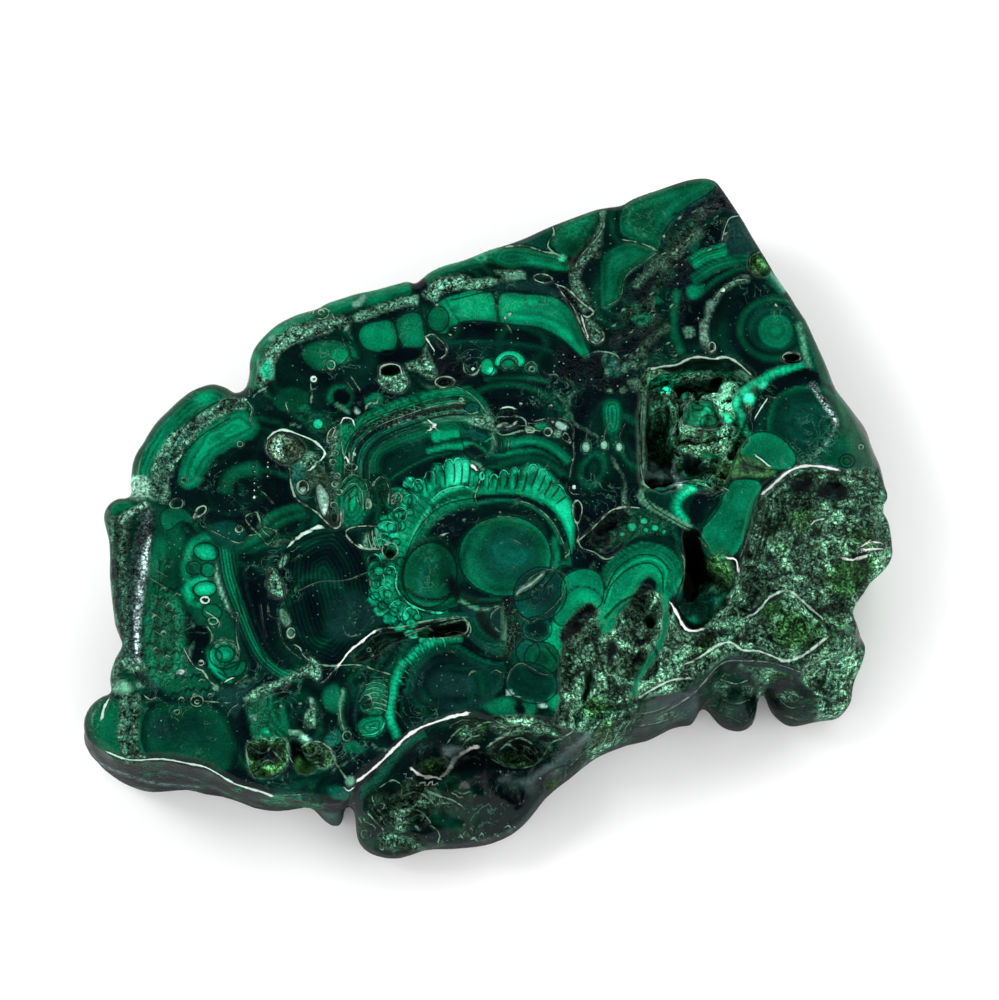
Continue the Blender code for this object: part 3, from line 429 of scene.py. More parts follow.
def skin(values, axes):
    """Points and quads of the closed skin over the zero of the samples, one point to each cell it crosses."""
    inside = values < 0
    shape = np.array(values.shape)
    corners = [(a, b, c) for a in (0, 1) for b in (0, 1) for c in (0, 1)]
    count = sum(inside[tuple(slice(n, s - 1 + n) for n, s in zip(p, shape))].astype(np.int8) for p in corners)
    cell = np.stack(np.nonzero((count > 0) & (count < 8)), 1)
    index = np.full(count.shape, -1)
    index[tuple(cell.T)] = np.arange(len(cell))
    total, hits = np.zeros((len(cell), 3)), np.zeros(len(cell))
    for p in corners:
        for axis in range(3):
            if p[axis]:
                continue
            start = cell + p
            end = start.copy()
            end[:, axis] += 1
            f0, f1 = values[tuple(start.T)], values[tuple(end.T)]
            cut = (f0 < 0) != (f1 < 0)
            t = np.where(cut, f0 / np.where(cut, f0 - f1, 1), 0)
            at = np.stack([axes[n][start[:, n]] for n in range(3)], 1)
            at[:, axis] += t * (axes[axis][end[:, axis]] - axes[axis][start[:, axis]])
            total += at * cut[:, None]
            hits += cut
    points = total / hits[:, None]
    quads = []
    for axis in range(3):
        o1, o2 = (axis + 1) % 3, (axis + 2) % 3
        low = tuple(slice(0, -1) if n == axis else slice(None) for n in range(3))
        high = tuple(slice(1, None) if n == axis else slice(None) for n in range(3))
        edge = np.stack(np.nonzero(inside[low] != inside[high]), 1)
        keep = (edge[:, o1] > 0) & (edge[:, o2] > 0) & (edge[:, o1] < shape[o1] - 1) & (edge[:, o2] < shape[o2] - 1)
        edge = edge[keep]
        ring = []
        for d1, d2 in ((0, 0), (-1, 0), (-1, -1), (0, -1)):
            c = edge.copy()
            c[:, o1] += d1
            c[:, o2] += d2
            ring.append(index[tuple(c.T)])
        ring = np.stack(ring, 1)
        out = inside[tuple(edge.T)]
        ring[~out] = ring[~out][:, ::-1]
        quads.append(ring)
    return points, np.concatenate(quads)


def one_shell(points, quads):
    """The largest connected shell alone, without the specks of stone or air shut off from it."""
    label = np.arange(len(points))
    while True:
        low = label.copy()
        np.minimum.at(low, quads.ravel(), np.repeat(label[quads].min(1), 4))
        low = low[low]
        if (low == label).all():
            break
        label = low
    keep = label == np.bincount(label).argmax()
    index = np.cumsum(keep) - 1
    return points[keep], index[quads[keep[quads[:, 0]]]]


# ---------------------------------------------------------------- the pattern: tools
TONES = {"ink": "03080c", "navy": "07161a", "deep": "04211a", "pine": "053226", "teal": "0a4234", "slate": "183a36",
         "moss": "085036", "sea": "0b5a4a", "green": "0a6a48", "leaf": "088058", "bright": "069e6a", "vivid": "14d49a",
         "glow": "3cf4b8", "mint": "7cb592", "pale": "a4ccb0", "frost": "c0e2d0", "white": "f0f8f2", "olive": "30592e",
         "lime": "4a7a42", "cream": "8e9c7c", "brown": "241c16", "rust": "3c3022", "grey": "56625e", "ash": "8c9893",
         "dust": "5c866a", "moor": "769c7b", "soil": "27442e"}


def tone(name):
    c = np.array([int(TONES[name][i:i + 2], 16) / 255 for i in (0, 2, 4)])
    return np.where(c < 0.04045, c / 12.92, ((c + 0.055) / 1.055) ** 2.4)


def stops(text):
    """"0:deep 4:leaf" as positions and linear colours."""
    at, colours = [], []
    for word in text.split():
        a, name = word.split(":")
        at.append(float(a))
        colours.append(tone(name))
    return np.array(at), np.array(colours)


def shade(d, text):
    at, colours = stops(text)
    return np.stack([np.interp(d, at, colours[:, k]) for k in range(3)], 1)


def flowing(points, n=4):
    """An open Catmull-Rom curve through the points; any further columns are carried along."""
    p = np.asarray(points, float)
    if len(p) < 3:
        return p
    p = np.concatenate([[2 * p[0] - p[1]], p, [2 * p[-1] - p[-2]]])
    a, b, c, d = p[:-3], p[1:-2], p[2:-1], p[3:]
    out = []
    for i in range(n):
        t = i / n
        out.append(0.5 * (2 * b + (c - a) * t + (2 * a - 5 * b + 4 * c - d) * t**2 + (3 * b - a - 3 * c + d) * t**3))
    return np.concatenate([np.stack(out, 1).reshape(-1, p.shape[1]), p[-2:-1]])


def along(u, v, line):
    """Signed distance to an open line, way along it, overrun past its ends, and its third column where there is one.
    Left to right, the upper side is positive."""
    best = np.full(u.shape, 1e18)
    signed, way, over, third = (np.zeros(u.shape) for _ in range(4))
    start = 0.0
    last = len(line) - 2
    for i, (p, q) in enumerate(zip(line[:-1], line[1:])):
        ex, ey = q[0] - p[0], q[1] - p[1]
        length = max(np.hypot(ex, ey), 1e-9)
        px, py = u - p[0], v - p[1]
        t = (px * ex + py * ey) / length
        c = np.clip(t, 0, length)
        d2 = (px - c * ex / length) ** 2 + (py - c * ey / length) ** 2
        m = d2 < best
        side = (px * ey - py * ex) / length
        best = np.where(m, d2, best)
        signed = np.where(m, np.where(side < 0, -1, 1) * np.sqrt(d2), signed)
        way = np.where(m, start + c, way)
        past = np.maximum(-t if i == 0 else 0.0, (t - length) if i == last else 0.0)
        over = np.where(m, np.maximum(past, 0), over)
        if len(p) > 2:
            third = np.where(m, p[2] + (q[2] - p[2]) * c / length, third)
        start += length
    return signed, way, over, third


class Pattern:
    """Colours and distances laid over points (u, v) of the measuring sheet, one feature after another."""

    FIELDS = ("band", "amp", "cell", "camp", "grain", "speck", "rough")

    def __init__(self, u, v):
        self.u, self.v = u, v
        self.order = np.argsort(u)
        self.sorted_u = u[self.order]
        self.col = np.tile(tone("deep"), (len(u), 1))
        self.field = {name: np.zeros(len(u)) for name in self.FIELDS}
        self.field["rough"][:] = 0.13
        self.lines = []

    def near(self, u0, v0, u1, v1):
        a, b = np.searchsorted(self.sorted_u, (u0, u1))
        m = self.order[a:b]
        return m[(self.v[m] >= v0) & (self.v[m] <= v1)]

    def lay(self, m, a, colour, **more):
        self.col[m] += a[:, None] * (colour - self.col[m])
        for name in self.FIELDS:
            if name in more or name in ("amp", "camp", "grain", "speck"):
                f = self.field[name]
                f[m] += a * (more.get(name, 0.0) - f[m])

    def blob(self, points, text, soft=1.3, period=0, amp=0.0, wobble=0.0, outline=None, **more):
        """A closed shape coloured by distance in from its edge. Four or five numbers make an ellipse."""
        if not isinstance(points[0], tuple):
            cu, cv, ru, rv, *turn = points
            w = np.linspace(0, 2 * np.pi, 28, endpoint=False)
            c, s = cos(radians(turn[0] if turn else 0)), sin(radians(turn[0] if turn else 0))
            loop = np.stack([cu + c * ru * np.cos(w) - s * rv * np.sin(w), cv + s * ru * np.cos(w) + c * rv * np.sin(w)], 1)
        else:
            loop = rounded(points, 3)
        pad = soft + 1 + wobble
        (u0, v0), (u1, v1) = loop.min(0) - pad, loop.max(0) + pad
        m = self.near(u0, v0, u1, v1)
        if len(m):
            u, v = self.u[m], self.v[m]
            d = inside_distance(u, v, loop)
            if wobble:
                d = d + wobble * noise(u / 7, v / 7, 0, 5) + 0.5 * wobble * noise(u / 3, v / 3, 0, 6)
            if period:
                more.update(band=d / period, amp=amp * step(d, 0.5, 3))
            self.lay(m, step(d, -soft, soft), shade(d, text), **more)
        if outline:
            width, name = outline.split()
            self.lines.append((np.concatenate([loop, loop[:1]]), float(width), name, True))

    def belt(self, points, text, soft=1.2, period=0, amp=0.0, cell=0, camp=0.0, fade=4.0, wobble=0.0, **more):
        """Bands along a line, coloured by the offset from it. A third number at each point scales the offsets there."""
        line = flowing(points)
        at, _ = stops(text)
        reach = max(abs(at[0]), abs(at[-1])) * (line[:, 2].max() if line.shape[1] > 2 else 1) + soft + fade + 1
        (u0, v0), (u1, v1) = line[:, :2].min(0) - reach, line[:, :2].max(0) + reach
        m = self.near(u0, v0, u1, v1)
        if not len(m):
            return
        u, v = self.u[m], self.v[m]
        d, way, over, scale = along(u, v, line)
        if line.shape[1] > 2:
            d = d / np.maximum(scale, 0.05)
        if wobble:
            d = d + wobble * noise(u / 8, v / 8, 0, 7) + 0.4 * wobble * noise(u / 3.2, v / 3.2, 0, 8)
        a = step(d, at[0] - soft, at[0] + soft) * (1 - step(d, at[-1] - soft, at[-1] + soft))
        a = a * (1 - step(over, 0.0, fade))
        keep = a > 0.004
        m, d, way, a = m[keep], d[keep], way[keep], a[keep]
        if period:
            more.update(band=d / period, amp=amp)
        if cell:
            more.update(cell=way / cell, camp=camp)
        self.lay(m, a, shade(d, text), **more)

    def lift(self, points, gain, soft=3.0):
        """A closed region made lighter or darker as a whole."""
        loop = rounded(points, 3)
        (u0, v0), (u1, v1) = loop.min(0) - soft, loop.max(0) + soft
        m = self.near(u0, v0, u1, v1)
        if len(m):
            d = inside_distance(self.u[m], self.v[m], loop)
            self.col[m] *= 1 + (gain - 1) * step(d, -soft, soft)[:, None]

    def vein(self, points, width, name, closed=False):
        line = np.asarray(points, float)
        if closed:
            line = rounded(line, 3)
            line = np.concatenate([line, line[:1]])
        else:
            line = flowing(line, 3)
        self.lines.append((line, width, name, closed))

    def shells(self, centres, share=1.0):
        """Growth shells round many centres, meeting along pale seams. Under a share of one only dark places take it."""
        u = self.u + 7 * noise(self.u / 34, self.v / 34, 0, 21) + 2.2 * noise(self.u / 9, self.v / 9, 0, 22)
        v = self.v + 7 * noise(self.u / 34, self.v / 34, 0, 23) + 2.2 * noise(self.u / 9, self.v / 9, 0, 24)
        first, second = np.full(u.shape, 1e9), np.full(u.shape, 1e9)
        for cu, cv, size in centres:
            r = np.hypot(u - cu, v - cv) - size
            second = np.minimum(second, np.maximum(first, r))
            first = np.minimum(first, r)
        beat = 0.5 + 0.5 * np.cos(first / 2.6 + 1.9 * np.sin(first / 8.5) + 0.9 * noise(u / 22, v / 22, 0, 25))
        slow = 0.5 + 0.5 * np.cos(first / 10.5 + 2.2 * noise(u / 60, v / 60, 0, 26))
        level = np.clip(0.15 + 0.5 * beat * slow + 0.35 * slow, 0, 1)
        a = share * (1 - step(self.col[:, 1], 0.012, 0.05)) if share < 1 else np.ones(len(u))
        self.col += a[:, None] * (shade(level, "0:ink 0.3:navy 0.5:deep 0.75:pine 1:moss") - self.col)
        seam = (1 - step(second - first, 0.6, 3.2)) * step(noise(u / 18, v / 18, 0, 27), -0.25, 0.15)
        if share == 1:
            self.col += (0.55 * seam)[:, None] * (tone("dust") - self.col)
            self.field["grain"][:] = 0.15 + 0.7 * seam
            self.field["speck"][:] = 0.5

    def ring(self, cu, cv, ru, rv, width, name, fill=None, **more):
        w = np.linspace(0, 2 * np.pi, 20)
        self.lines.append((np.stack([cu + ru * np.cos(w), cv + rv * np.sin(w)], 1), width, name, True))
        if fill:
            self.blob((cu, cv, ru, rv), "0:" + fill, soft=1.0, **more)


PALE_CHANNELS, DARK_CHANNELS = 6, 3


def laid_lines(p):
    """The lines shared out over channels so that no two near each other share one, as signed distances in units of
    their half width with a mask, and the colour of the nearest pale line."""
    n = len(p.u)
    groups = {"pale": ([], PALE_CHANNELS), "dark": ([], DARK_CHANNELS)}
    tree = []
    for line, width, name, closed in p.lines:
        kind = "dark" if name in ("ink", "navy", "deep", "pine", "brown", "teal") else "pale"
        near = line[:, :2]
        taken = [set() for _ in range(groups[kind][1])]
        score = np.full(groups[kind][1], 1e9)
        for other, where, k in tree:
            if k != kind:
                continue
            if (near.min(0) - 9 > other.max(0)).any() or (near.max(0) + 9 < other.min(0)).any():
                continue
            d = np.sqrt(((near[:, None] - other[None]) ** 2).sum(2)).min()
            score[where] = min(score[where], d)
        channel = int(np.argmax(np.minimum(score, 9.0) - 0.001 * np.arange(len(score))))
        tree.append((near, channel, kind))
        groups[kind][0].append((line, width, name, closed, channel))
    out = {}
    for kind, (lines, count) in groups.items():
        dist, mask, held = np.full((n, count), 6.0), np.zeros((n, count)), np.full((n, count), 1e9)
        colour, nearest = np.tile(tone("pale"), (n, 1)), np.full(n, 1e9)
        for line, width, name, closed, channel in lines:
            reach = 3.2 + 1.6 * width
            (u0, v0), (u1, v1) = line[:, :2].min(0) - reach - 3, line[:, :2].max(0) + reach + 3
            m = p.near(u0, v0, u1, v1)
            if not len(m):
                continue
            u, v = p.u[m], p.v[m]
            if closed:
                d, over = inside_distance(u, v, line[:-1]), np.zeros(len(m))
            else:
                d, _, over, _ = along(u, v, line)
            s = d / (width / 2)
            off = np.abs(d)
            better = off < held[m, channel]
            k = m[better]
            held[k, channel] = off[better]
            dist[k, channel] = np.clip(s[better], -9, 9)
            mask[k, channel] = (1 - step(off[better], reach - 1.5, reach + 0.8)) * (1 - step(over[better], 0.3, 2.6))
            if kind == "pale":
                closer = off < nearest[m]
                k = m[closer]
                nearest[k] = off[closer]
                colour[k] = tone(name) * (1.0 if name in ("white", "frost") else 0.62)
        out[kind] = (dist, mask)
        if kind == "pale":
            out["line_colour"] = colour
    return out


def pattern(u, v):
    """Everything that is drawn on the stone, back to front."""
    p = Pattern(u, v)
    blob, belt, vein, ring = p.blob, p.belt, p.vein, p.ring

    centres = [(505, 556, 44), (430, 575, 26), (318, 610, 20), (176, 600, 8), (246, 489, 12), (200, 440, 4), (330, 350, 10),
               (440, 322, 8), (520, 350, 6), (505, 440, 10), (612, 300, 10), (640, 222, 20), (776, 331, 16), (700, 300, 4),
               (636, 440, 12), (590, 470, 2), (640, 610, 14), (452, 690, 26), (540, 660, 10), (520, 600, 4),
               (300, 715, 10), (228, 620, 6), (150, 735, 18), (820, 424, 22), (730, 520, 12), (400, 440, 2),
               (690, 425, 6), (790, 560, 8), (840, 640, 8), (720, 690, 8), (460, 800, 12), (380, 820, 8), (560, 730, 6)]
    p.shells(centres)

    # ------------------------------------------------ left: the outer growth bands of the upper lobe
    blob([(131, 490), (130, 470), (136, 450), (150, 428), (172, 404), (200, 386), (225, 385), (240, 392), (258, 398),
          (268, 420), (262, 460), (250, 500), (215, 512), (170, 510), (140, 500)], "0:pine 10:deep", speck=0.8)
    belt([(134, 488), (134, 465), (143, 446), (157, 425), (174, 407), (193, 393), (213, 386), (232, 393)],
         "-22:moss -16:leaf -11:leaf -6:green -2:moss 3:pine", fade=3, wobble=1.2, amp=0.25, period=5)
    blob((205, 397, 12, 6, -20), "0:leaf 3:bright", soft=3)
    blob((170, 425, 9, 6, -50), "0:leaf 4:leaf", soft=3)
    blob([(250, 414), (240, 408), (226, 413), (212, 421), (200, 430), (191, 444), (183, 458), (178, 474), (180, 487),
          (190, 490), (201, 484), (207, 471), (216, 458), (230, 449), (246, 441), (257, 435), (260, 422)],
         "0:moss 3:leaf 9:leaf 14:bright", wobble=1.2, soft=1.6, amp=0.25, period=6)
    belt([(243, 403, 0.6), (228, 405, 0.8), (214, 413, 0.7), (203, 421, 0.7), (191, 431, 0.9), (180, 441, 1.1),
          (171, 453, 1.2), (164, 466, 1.3), (160, 480, 1.3), (160, 496, 1.2), (152, 508, 1.0)],
         "-9:pine -7:mint -5:dust 0:sea 4:dust 6.5:mint 9:pine", grain=1.0, wobble=1.8, rough=0.22)
    blob([(206, 486), (212, 470), (226, 456), (242, 447), (258, 447), (266, 462), (262, 490), (250, 510), (226, 516),
          (210, 506)], "0:pine 6:deep", speck=1.0)
    belt([(226, 492), (230, 480), (240, 473), (256, 470), (272, 476)], "-8:pine -4:moss 3:green 7:moss 10:pine", soft=2.5)
    blob((246, 489, 13, 12), "0:deep 5:ink")
    blob([(258, 452), (275, 448), (292, 466), (296, 500), (280, 524), (255, 520), (246, 505), (262, 480)], "0:navy 6:ink",
         soft=3, speck=0.25)
    belt([(262, 470), (276, 473), (292, 478)], "-4:deep 0:moss 4:deep", soft=2)
    for y in (461, 466, 472, 478, 483, 490, 497):
        ring(254, y, 0.9, 0.9, 1.5, "frost")
    for x, y in ((268, 463), (268, 467), (269, 472), (268, 476), (246, 400), (266, 408), (246, 491), (224, 485)):
        ring(x, y, 0.7, 0.7, 1.3, "frost")
    ring(184, 480, 3, 3, 1.2, "mint", "moss")
    ring(239, 529, 3.5, 3.5, 1.6, "pale", "pine")
    ring(240, 444, 3, 3, 1.2, "mint")
    vein([(194, 516), (198, 508), (205, 506), (206, 511), (200, 516), (194, 518)], 1.8, "pale", closed=True)
    vein([(170, 503), (176, 498), (183, 501), (181, 507), (172, 508)], 1.3, "mint", closed=True)
    vein([(263, 492), (268, 497), (272, 502)], 1.3, "mint")
    vein([(246, 400), (252, 408), (250, 418), (252, 424)], 1.2, "mint")
    vein([(254, 396), (260, 391), (266, 388)], 2.4, "mint")

    # left: the middle lobes, layered towards the edge
    blob([(105, 520), (108, 505), (120, 497), (135, 498), (160, 502), (182, 520), (190, 560), (186, 610), (182, 660),
          (165, 690), (112, 694), (110, 670), (120, 645), (113, 600), (109, 560)], "0:pine 8:moss 30:pine", speck=0.8)
    belt([(112, 512), (111, 530), (113, 560), (115, 595), (121, 625), (124, 645), (117, 660), (116, 688)],
         "-7:pine -4:dust -1:teal 2:dust 5:deep", grain=0.75, wobble=1.4, fade=3)
    belt([(126, 520), (123, 545), (123, 580), (126, 610), (129, 640), (131, 662)], "-9:deep -5:teal 0:dust 4:teal 7:deep",
         grain=0.9, wobble=1.8, fade=6)
    blob([(110, 506), (118, 500), (132, 501), (133, 508), (120, 512), (112, 516)], "0:moss 2:leaf", soft=1.5)
    belt([(121, 520), (132, 512), (146, 505)], "-4:pine -2:pale 2:pale 4:pine", grain=1.0, soft=1.5)
    # grey belt along the rounded left edge: a painted sheen
    belt([(148, 512), (146, 530), (141, 555), (137, 590), (136, 625), (137, 655)], "-9:teal -4:slate 0:grey 4:slate 8:pine",
         grain=1.0, fade=12, soft=3)
    blob([(150, 545), (158, 535), (168, 545), (165, 580), (162, 610), (160, 640), (150, 655), (143, 640), (143, 600),
          (146, 570)], "0:moss 6:green", soft=3.5, speck=0.5)
    blob([(160, 515), (168, 508), (182, 508), (192, 516), (193, 524), (180, 522), (170, 530), (162, 527)],
         "0:moss 3:green", soft=1.6, outline="1.0 pine")
    blob([(146, 652), (160, 640), (176, 650), (182, 664), (170, 670), (154, 664)], "0:moss 5:green", soft=2.5)
    blob([(128, 478), (146, 476), (152, 488), (148, 498), (134, 500), (128, 494)], "0:mint 3:pale", grain=0.7, soft=1.6)
    blob([(113, 681), (124, 680), (132, 686), (130, 694), (118, 694), (112, 690)], "0:dust 3:mint", grain=0.6)
    blob((141, 684, 6, 4), "0:dust 2:mint", grain=0.4)
    blob((135, 666, 17, 9, 20), "0:teal 4:dust", grain=1.0, soft=3)
    blob((150, 680, 14, 10, 30), "0:navy 4:slate", grain=0.7, soft=4)
    vein([(145, 696), (150, 700), (155, 698)], 1.8, "pale")
    blob([(160, 668), (182, 664), (206, 668), (214, 684), (206, 698), (182, 700), (166, 694), (158, 682)],
         "0:teal 6:moss", soft=3)
    for y in (566, 578, 596, 612, 628, 648):
        vein([(150, y), (158, y + 5), (166, y + 10)], 1.0, "dust")

    # lower left: the dark smooth nodule and the granular belt before it
    blob([(86, 726), (90, 708), (104, 697), (120, 696), (146, 700), (150, 730), (146, 762), (118, 762), (98, 752)],
         "0:pine 5:moss 14:green", speck=0.3, wobble=1)
    belt([(131, 697), (130, 715), (128, 735), (132, 755), (142, 766)], "-11:pine -8:dust 0:teal 6:dust 10:pine",
         grain=0.95, wobble=2.2, speck=0.6)
    vein([(108, 700), (104, 708), (102, 718)], 2.2, "frost")
    blob([(142, 740), (143, 722), (150, 708), (163, 701), (185, 699), (205, 700), (222, 710), (233, 727), (238, 748),
          (234, 768), (222, 774), (205, 766), (180, 761), (160, 759), (147, 753)],
         "0:deep 3:pine 8:moss 30:teal", soft=1.6, speck=0.45, outline="1.2 deep")
    blob([(150, 730), (160, 716), (172, 722), (174, 734), (160, 738)], "0:slate 3:slate", soft=5, speck=1.2)
    ring(177, 712, 3, 2.6, 1.2, "mint")
    ring(197, 701, 6.5, 5.5, 2.0, "mint", "pine")
    ring(197, 702, 2.5, 2.2, 1.4, "pale")
    vein([(204, 701), (216, 702), (228, 703)], 1.1, "mint")
    blob((180, 672, 5.5, 3.4, -10), "0:pale 1.5:white", soft=0.8, outline="1.2 deep")
    vein([(184, 649), (190, 660), (196, 668), (203, 671), (208, 679), (216, 687)], 1.5, "pale")
    blob((216, 688, 3.4, 2.6), "0:mint 1:pale", soft=0.8)
    ring(201, 663, 3, 2.6, 1.3, "pale", "ink")
    blob([(215, 690), (240, 684), (256, 682), (246, 700), (238, 720), (226, 712)], "0:navy 4:slate", soft=3, speck=0.5)
    vein([(228, 714), (232, 708), (237, 705)], 1.4, "mint")

    # ------------------------------------------------ left: the chain of bright round cells
    blob([(178, 560), (190, 535), (215, 528), (232, 545), (230, 575), (226, 600), (236, 625), (250, 655), (245, 680),
          (222, 684), (206, 660), (196, 625), (180, 600), (176, 580)], "0:pine 8:moss", soft=3, speck=0.6)
    belt([(186, 580), (184, 568), (190, 548), (200, 538), (216, 536)], "-5:moss -2:bright 2:leaf 5:pine", soft=1)
    blob((206, 552, 13, 9, 10), "0:moss 2:bright 6:vivid", outline="1.4 deep")
    blob((194, 568, 8, 7), "0:leaf 2:moss", outline="1.4 deep")
    blob((208, 570, 8, 7), "0:moss 2:leaf", soft=1.8, outline="1.2 deep")
    belt([(190, 598), (186, 588), (194, 581), (206, 579)], "-4:bright 0:vivid 3:leaf", soft=1)
    blob((205, 589, 12, 8, -8), "0:moss 2:bright 6:vivid", outline="1.6 deep")
    belt([(184, 590), (190, 602), (200, 605)], "-3:leaf 2:bright", soft=1)
    ring(205, 600, 4.5, 3.2, 1.8, "frost", "pine")
    blob((212, 612, 10, 8, 10), "0:moss 2:green", outline="1.2 pine")
    ring(213, 621, 5, 3.4, 2.0, "pale", "leaf")
    vein([(206, 612), (213, 616), (219, 621), (219, 626)], 1.2, "pale")
    vein([(207, 626), (212, 634), (211, 642)], 1.2, "mint")
    blob([(193, 628), (204, 625), (210, 636), (206, 648), (196, 646), (192, 638)], "0:ink 2:ink")
    vein([(198, 632), (204, 633)], 1.0, "mint")
    blob((225, 655, 16, 14), "0:moss 3:bright 7:leaf", outline="1.4 deep")
    ring(225, 654, 9.5, 8.5, 2.0, "ink", "bright")
    blob((225, 655, 6, 5), "0:leaf 2:vivid")
    belt([(216, 645), (222, 641), (232, 643), (237, 650), (238, 660)], "-3:leaf 0:mint 3:deep", grain=0.5)
    blob([(224, 667), (236, 662), (246, 661), (244, 672), (234, 678), (226, 676)], "0:moss 2:leaf", outline="1.4 deep")
    belt([(211, 652), (212, 665), (220, 674), (230, 680)], "-3:bright 0:vivid 3:leaf", soft=1)
    vein([(226, 681), (232, 678)], 2.0, "frost")
    vein([(234, 685), (246, 676)], 1.6, "mint")
    belt([(222, 556), (218, 566), (219, 580), (223, 593), (229, 606), (236, 615)], "-4:deep -2:mint 2:pale 4:deep", grain=0.7,
         wobble=0.6)
    ring(235, 615, 3.4, 3.2, 1.6, "pale", "dust")
    vein([(237, 617), (236, 626), (237, 640), (240, 652)], 1.6, "mint")
    belt([(226, 548), (228, 562), (231, 578), (238, 598), (246, 618), (254, 638), (266, 658), (284, 672), (300, 676)],
         "-12:navy -9:slate -6:moss -2:leaf 2:green 5:pine 8:moss 11:pine", amp=0.5, period=3.2, soft=1.5, fade=6)
    belt([(238, 548), (246, 545), (258, 538), (272, 528), (290, 518), (310, 513)], "-6:deep -2:moss 1:green 4:moss 7:deep",
         soft=1.5, fade=6)
    blob([(240, 560), (262, 552), (276, 548), (282, 560), (268, 570), (262, 592), (268, 620), (282, 650), (296, 668),
          (280, 668), (262, 650), (250, 620), (240, 590)], "0:navy 6:ink", soft=2.5, speck=0.5)
    belt([(243, 565), (248, 595), (258, 625), (270, 650), (286, 667)], "-2:navy 0:slate 2:navy", soft=1)
    vein([(262, 570), (260, 562), (264, 556), (276, 554)], 1.0, "slate")
    vein([(260, 604), (262, 620), (266, 636)], 1.0, "slate")
    vein([(268, 606), (268, 614), (276, 618), (284, 617)], 1.0, "dust")
    vein([(278, 622), (282, 640), (290, 650), (300, 658)], 1.0, "dust")
    blob([(206, 528), (226, 520), (246, 528), (244, 545), (228, 550), (212, 540)], "0:pine 3:teal", soft=2, speck=1)
    vein([(210, 530), (220, 535), (230, 540), (240, 543), (248, 536), (260, 534)], 1.3, "mint")
    vein([(246, 516), (256, 512), (259, 518), (262, 526), (272, 529), (277, 533), (272, 540), (268, 545), (262, 538),
          (254, 530), (247, 522)], 1.8, "mint", closed=True)
    vein([(259, 524), (264, 532), (270, 536)], 1.2, "mint")
    belt([(262, 526), (272, 516), (286, 510), (304, 507), (322, 514)], "-7:deep -3:moss 1:green 5:pine", soft=2)

    # ------------------------------------------------ upper left
    blob([(250, 388), (251, 360), (262, 340), (285, 322), (310, 311), (345, 300), (400, 285), (414, 290), (424, 310),
          (428, 345), (420, 365), (380, 380), (330, 395), (280, 400), (255, 398)], "0:pine 10:deep", soft=2, speck=0.8)
    belt([(251, 386), (253, 366), (258, 352), (268, 338), (284, 325), (305, 314), (328, 306), (352, 298), (380, 290),
          (408, 284)], "-14:pine -10:moss -5:leaf 0:leaf 3:green 6:moss", wobble=1.2, fade=3, amp=0.2, period=5)
    blob((256, 358, 6, 7), "0:leaf 4:bright", soft=2.5)
    blob((278, 331, 9, 4, -35), "0:leaf 3:bright", soft=3)
    blob((376, 298, 14, 6, -12), "0:leaf 5:bright", soft=4)
    blob((272, 338, 4, 3, -40), "0:dust 1:mint", soft=2)
    blob([(352, 304), (358, 299), (364, 294), (366, 298), (361, 305), (354, 307)], "0:mint 2:pale", soft=1)
    ring(321, 313, 8, 6, 1.5, "mint", "green")
    ring(321, 312, 3, 2.5, 1.3, "pale")
    vein([(308, 314), (314, 309), (322, 308), (330, 311), (334, 318)], 1.2, "mint")
    belt([(260, 384, 0.8), (266, 374, 0.8), (270, 358, 0.9), (279, 346, 1.1), (292, 337, 1.1), (306, 330, 1), (322, 328, 1),
          (336, 322, 0.9), (348, 324, 0.8)], "-8:deep -6:dust -2:mint 2:mint 6:dust 8:pine", grain=1.0, wobble=1.8)
    belt([(356, 318), (370, 313), (384, 308), (400, 303), (416, 300)], "-5:deep -3:dust 0:mint 3:mint 5:deep", grain=0.85,
         wobble=0.9)
    blob([(261, 364), (267, 358), (273, 366), (273, 378), (264, 380), (259, 373)], "0:mint 3:glow", grain=0.5, soft=1.4)
    blob([(301, 356), (304, 346), (314, 341), (328, 339), (342, 341), (350, 350), (346, 360), (334, 368), (320, 372),
          (308, 366)], "0:pine 2:moss 7:green", soft=1.5, outline="1.3 deep")
    blob((340, 356, 9.5, 8), "0:green 2:bright", soft=1.2)
    blob([(344, 342), (354, 348), (358, 358), (352, 356)], "0:moss 2:green", soft=1)
    blob([(358, 338), (362, 326), (376, 321), (390, 320), (397, 330), (397, 345), (390, 354), (374, 352), (364, 348)],
         "0:moss 3:leaf 9:bright", soft=1.3, outline="1.5 deep")
    blob([(395, 322), (404, 314), (417, 312), (425, 322), (427, 338), (421, 348), (404, 347), (398, 336)],
         "0:moss 4:green 9:leaf", soft=1.3, outline="1.3 pine")
    belt([(404, 346), (410, 336), (411, 322)], "-1:green 0:leaf 1:green", soft=0.8)
    blob([(376, 358), (382, 350), (400, 348), (418, 348), (420, 356), (404, 362), (386, 363)], "0:ink 2:ink")
    blob([(380, 374), (377, 381), (384, 388), (394, 393), (404, 391), (409, 382), (405, 372), (400, 366), (384, 364),
          (378, 368)], "0:dust 2:mint 6:mint", grain=0.9, soft=1.2, outline="1.2 deep", rough=0.3)
    blob([(381, 368), (390, 365), (399, 367), (400, 373), (390, 375), (381, 374)], "0:ink", soft=0.8)
    vein([(380, 374), (381, 367), (390, 364), (399, 366), (402, 374)], 1.6, "frost")
    blob([(404, 364), (416, 360), (428, 352), (440, 356), (446, 366), (440, 376), (430, 380), (418, 372), (408, 370)],
         "0:teal 2:dust 5:mint", grain=1.0, soft=1.4, rough=0.3)
    blob([(428, 340), (436, 337), (444, 340), (446, 350), (440, 360), (430, 362), (424, 352)], "0:dust 3:dust", grain=0.9)
    vein([(427, 336), (432, 334), (440, 340), (446, 347), (446, 354), (441, 358)], 1.6, "pale")
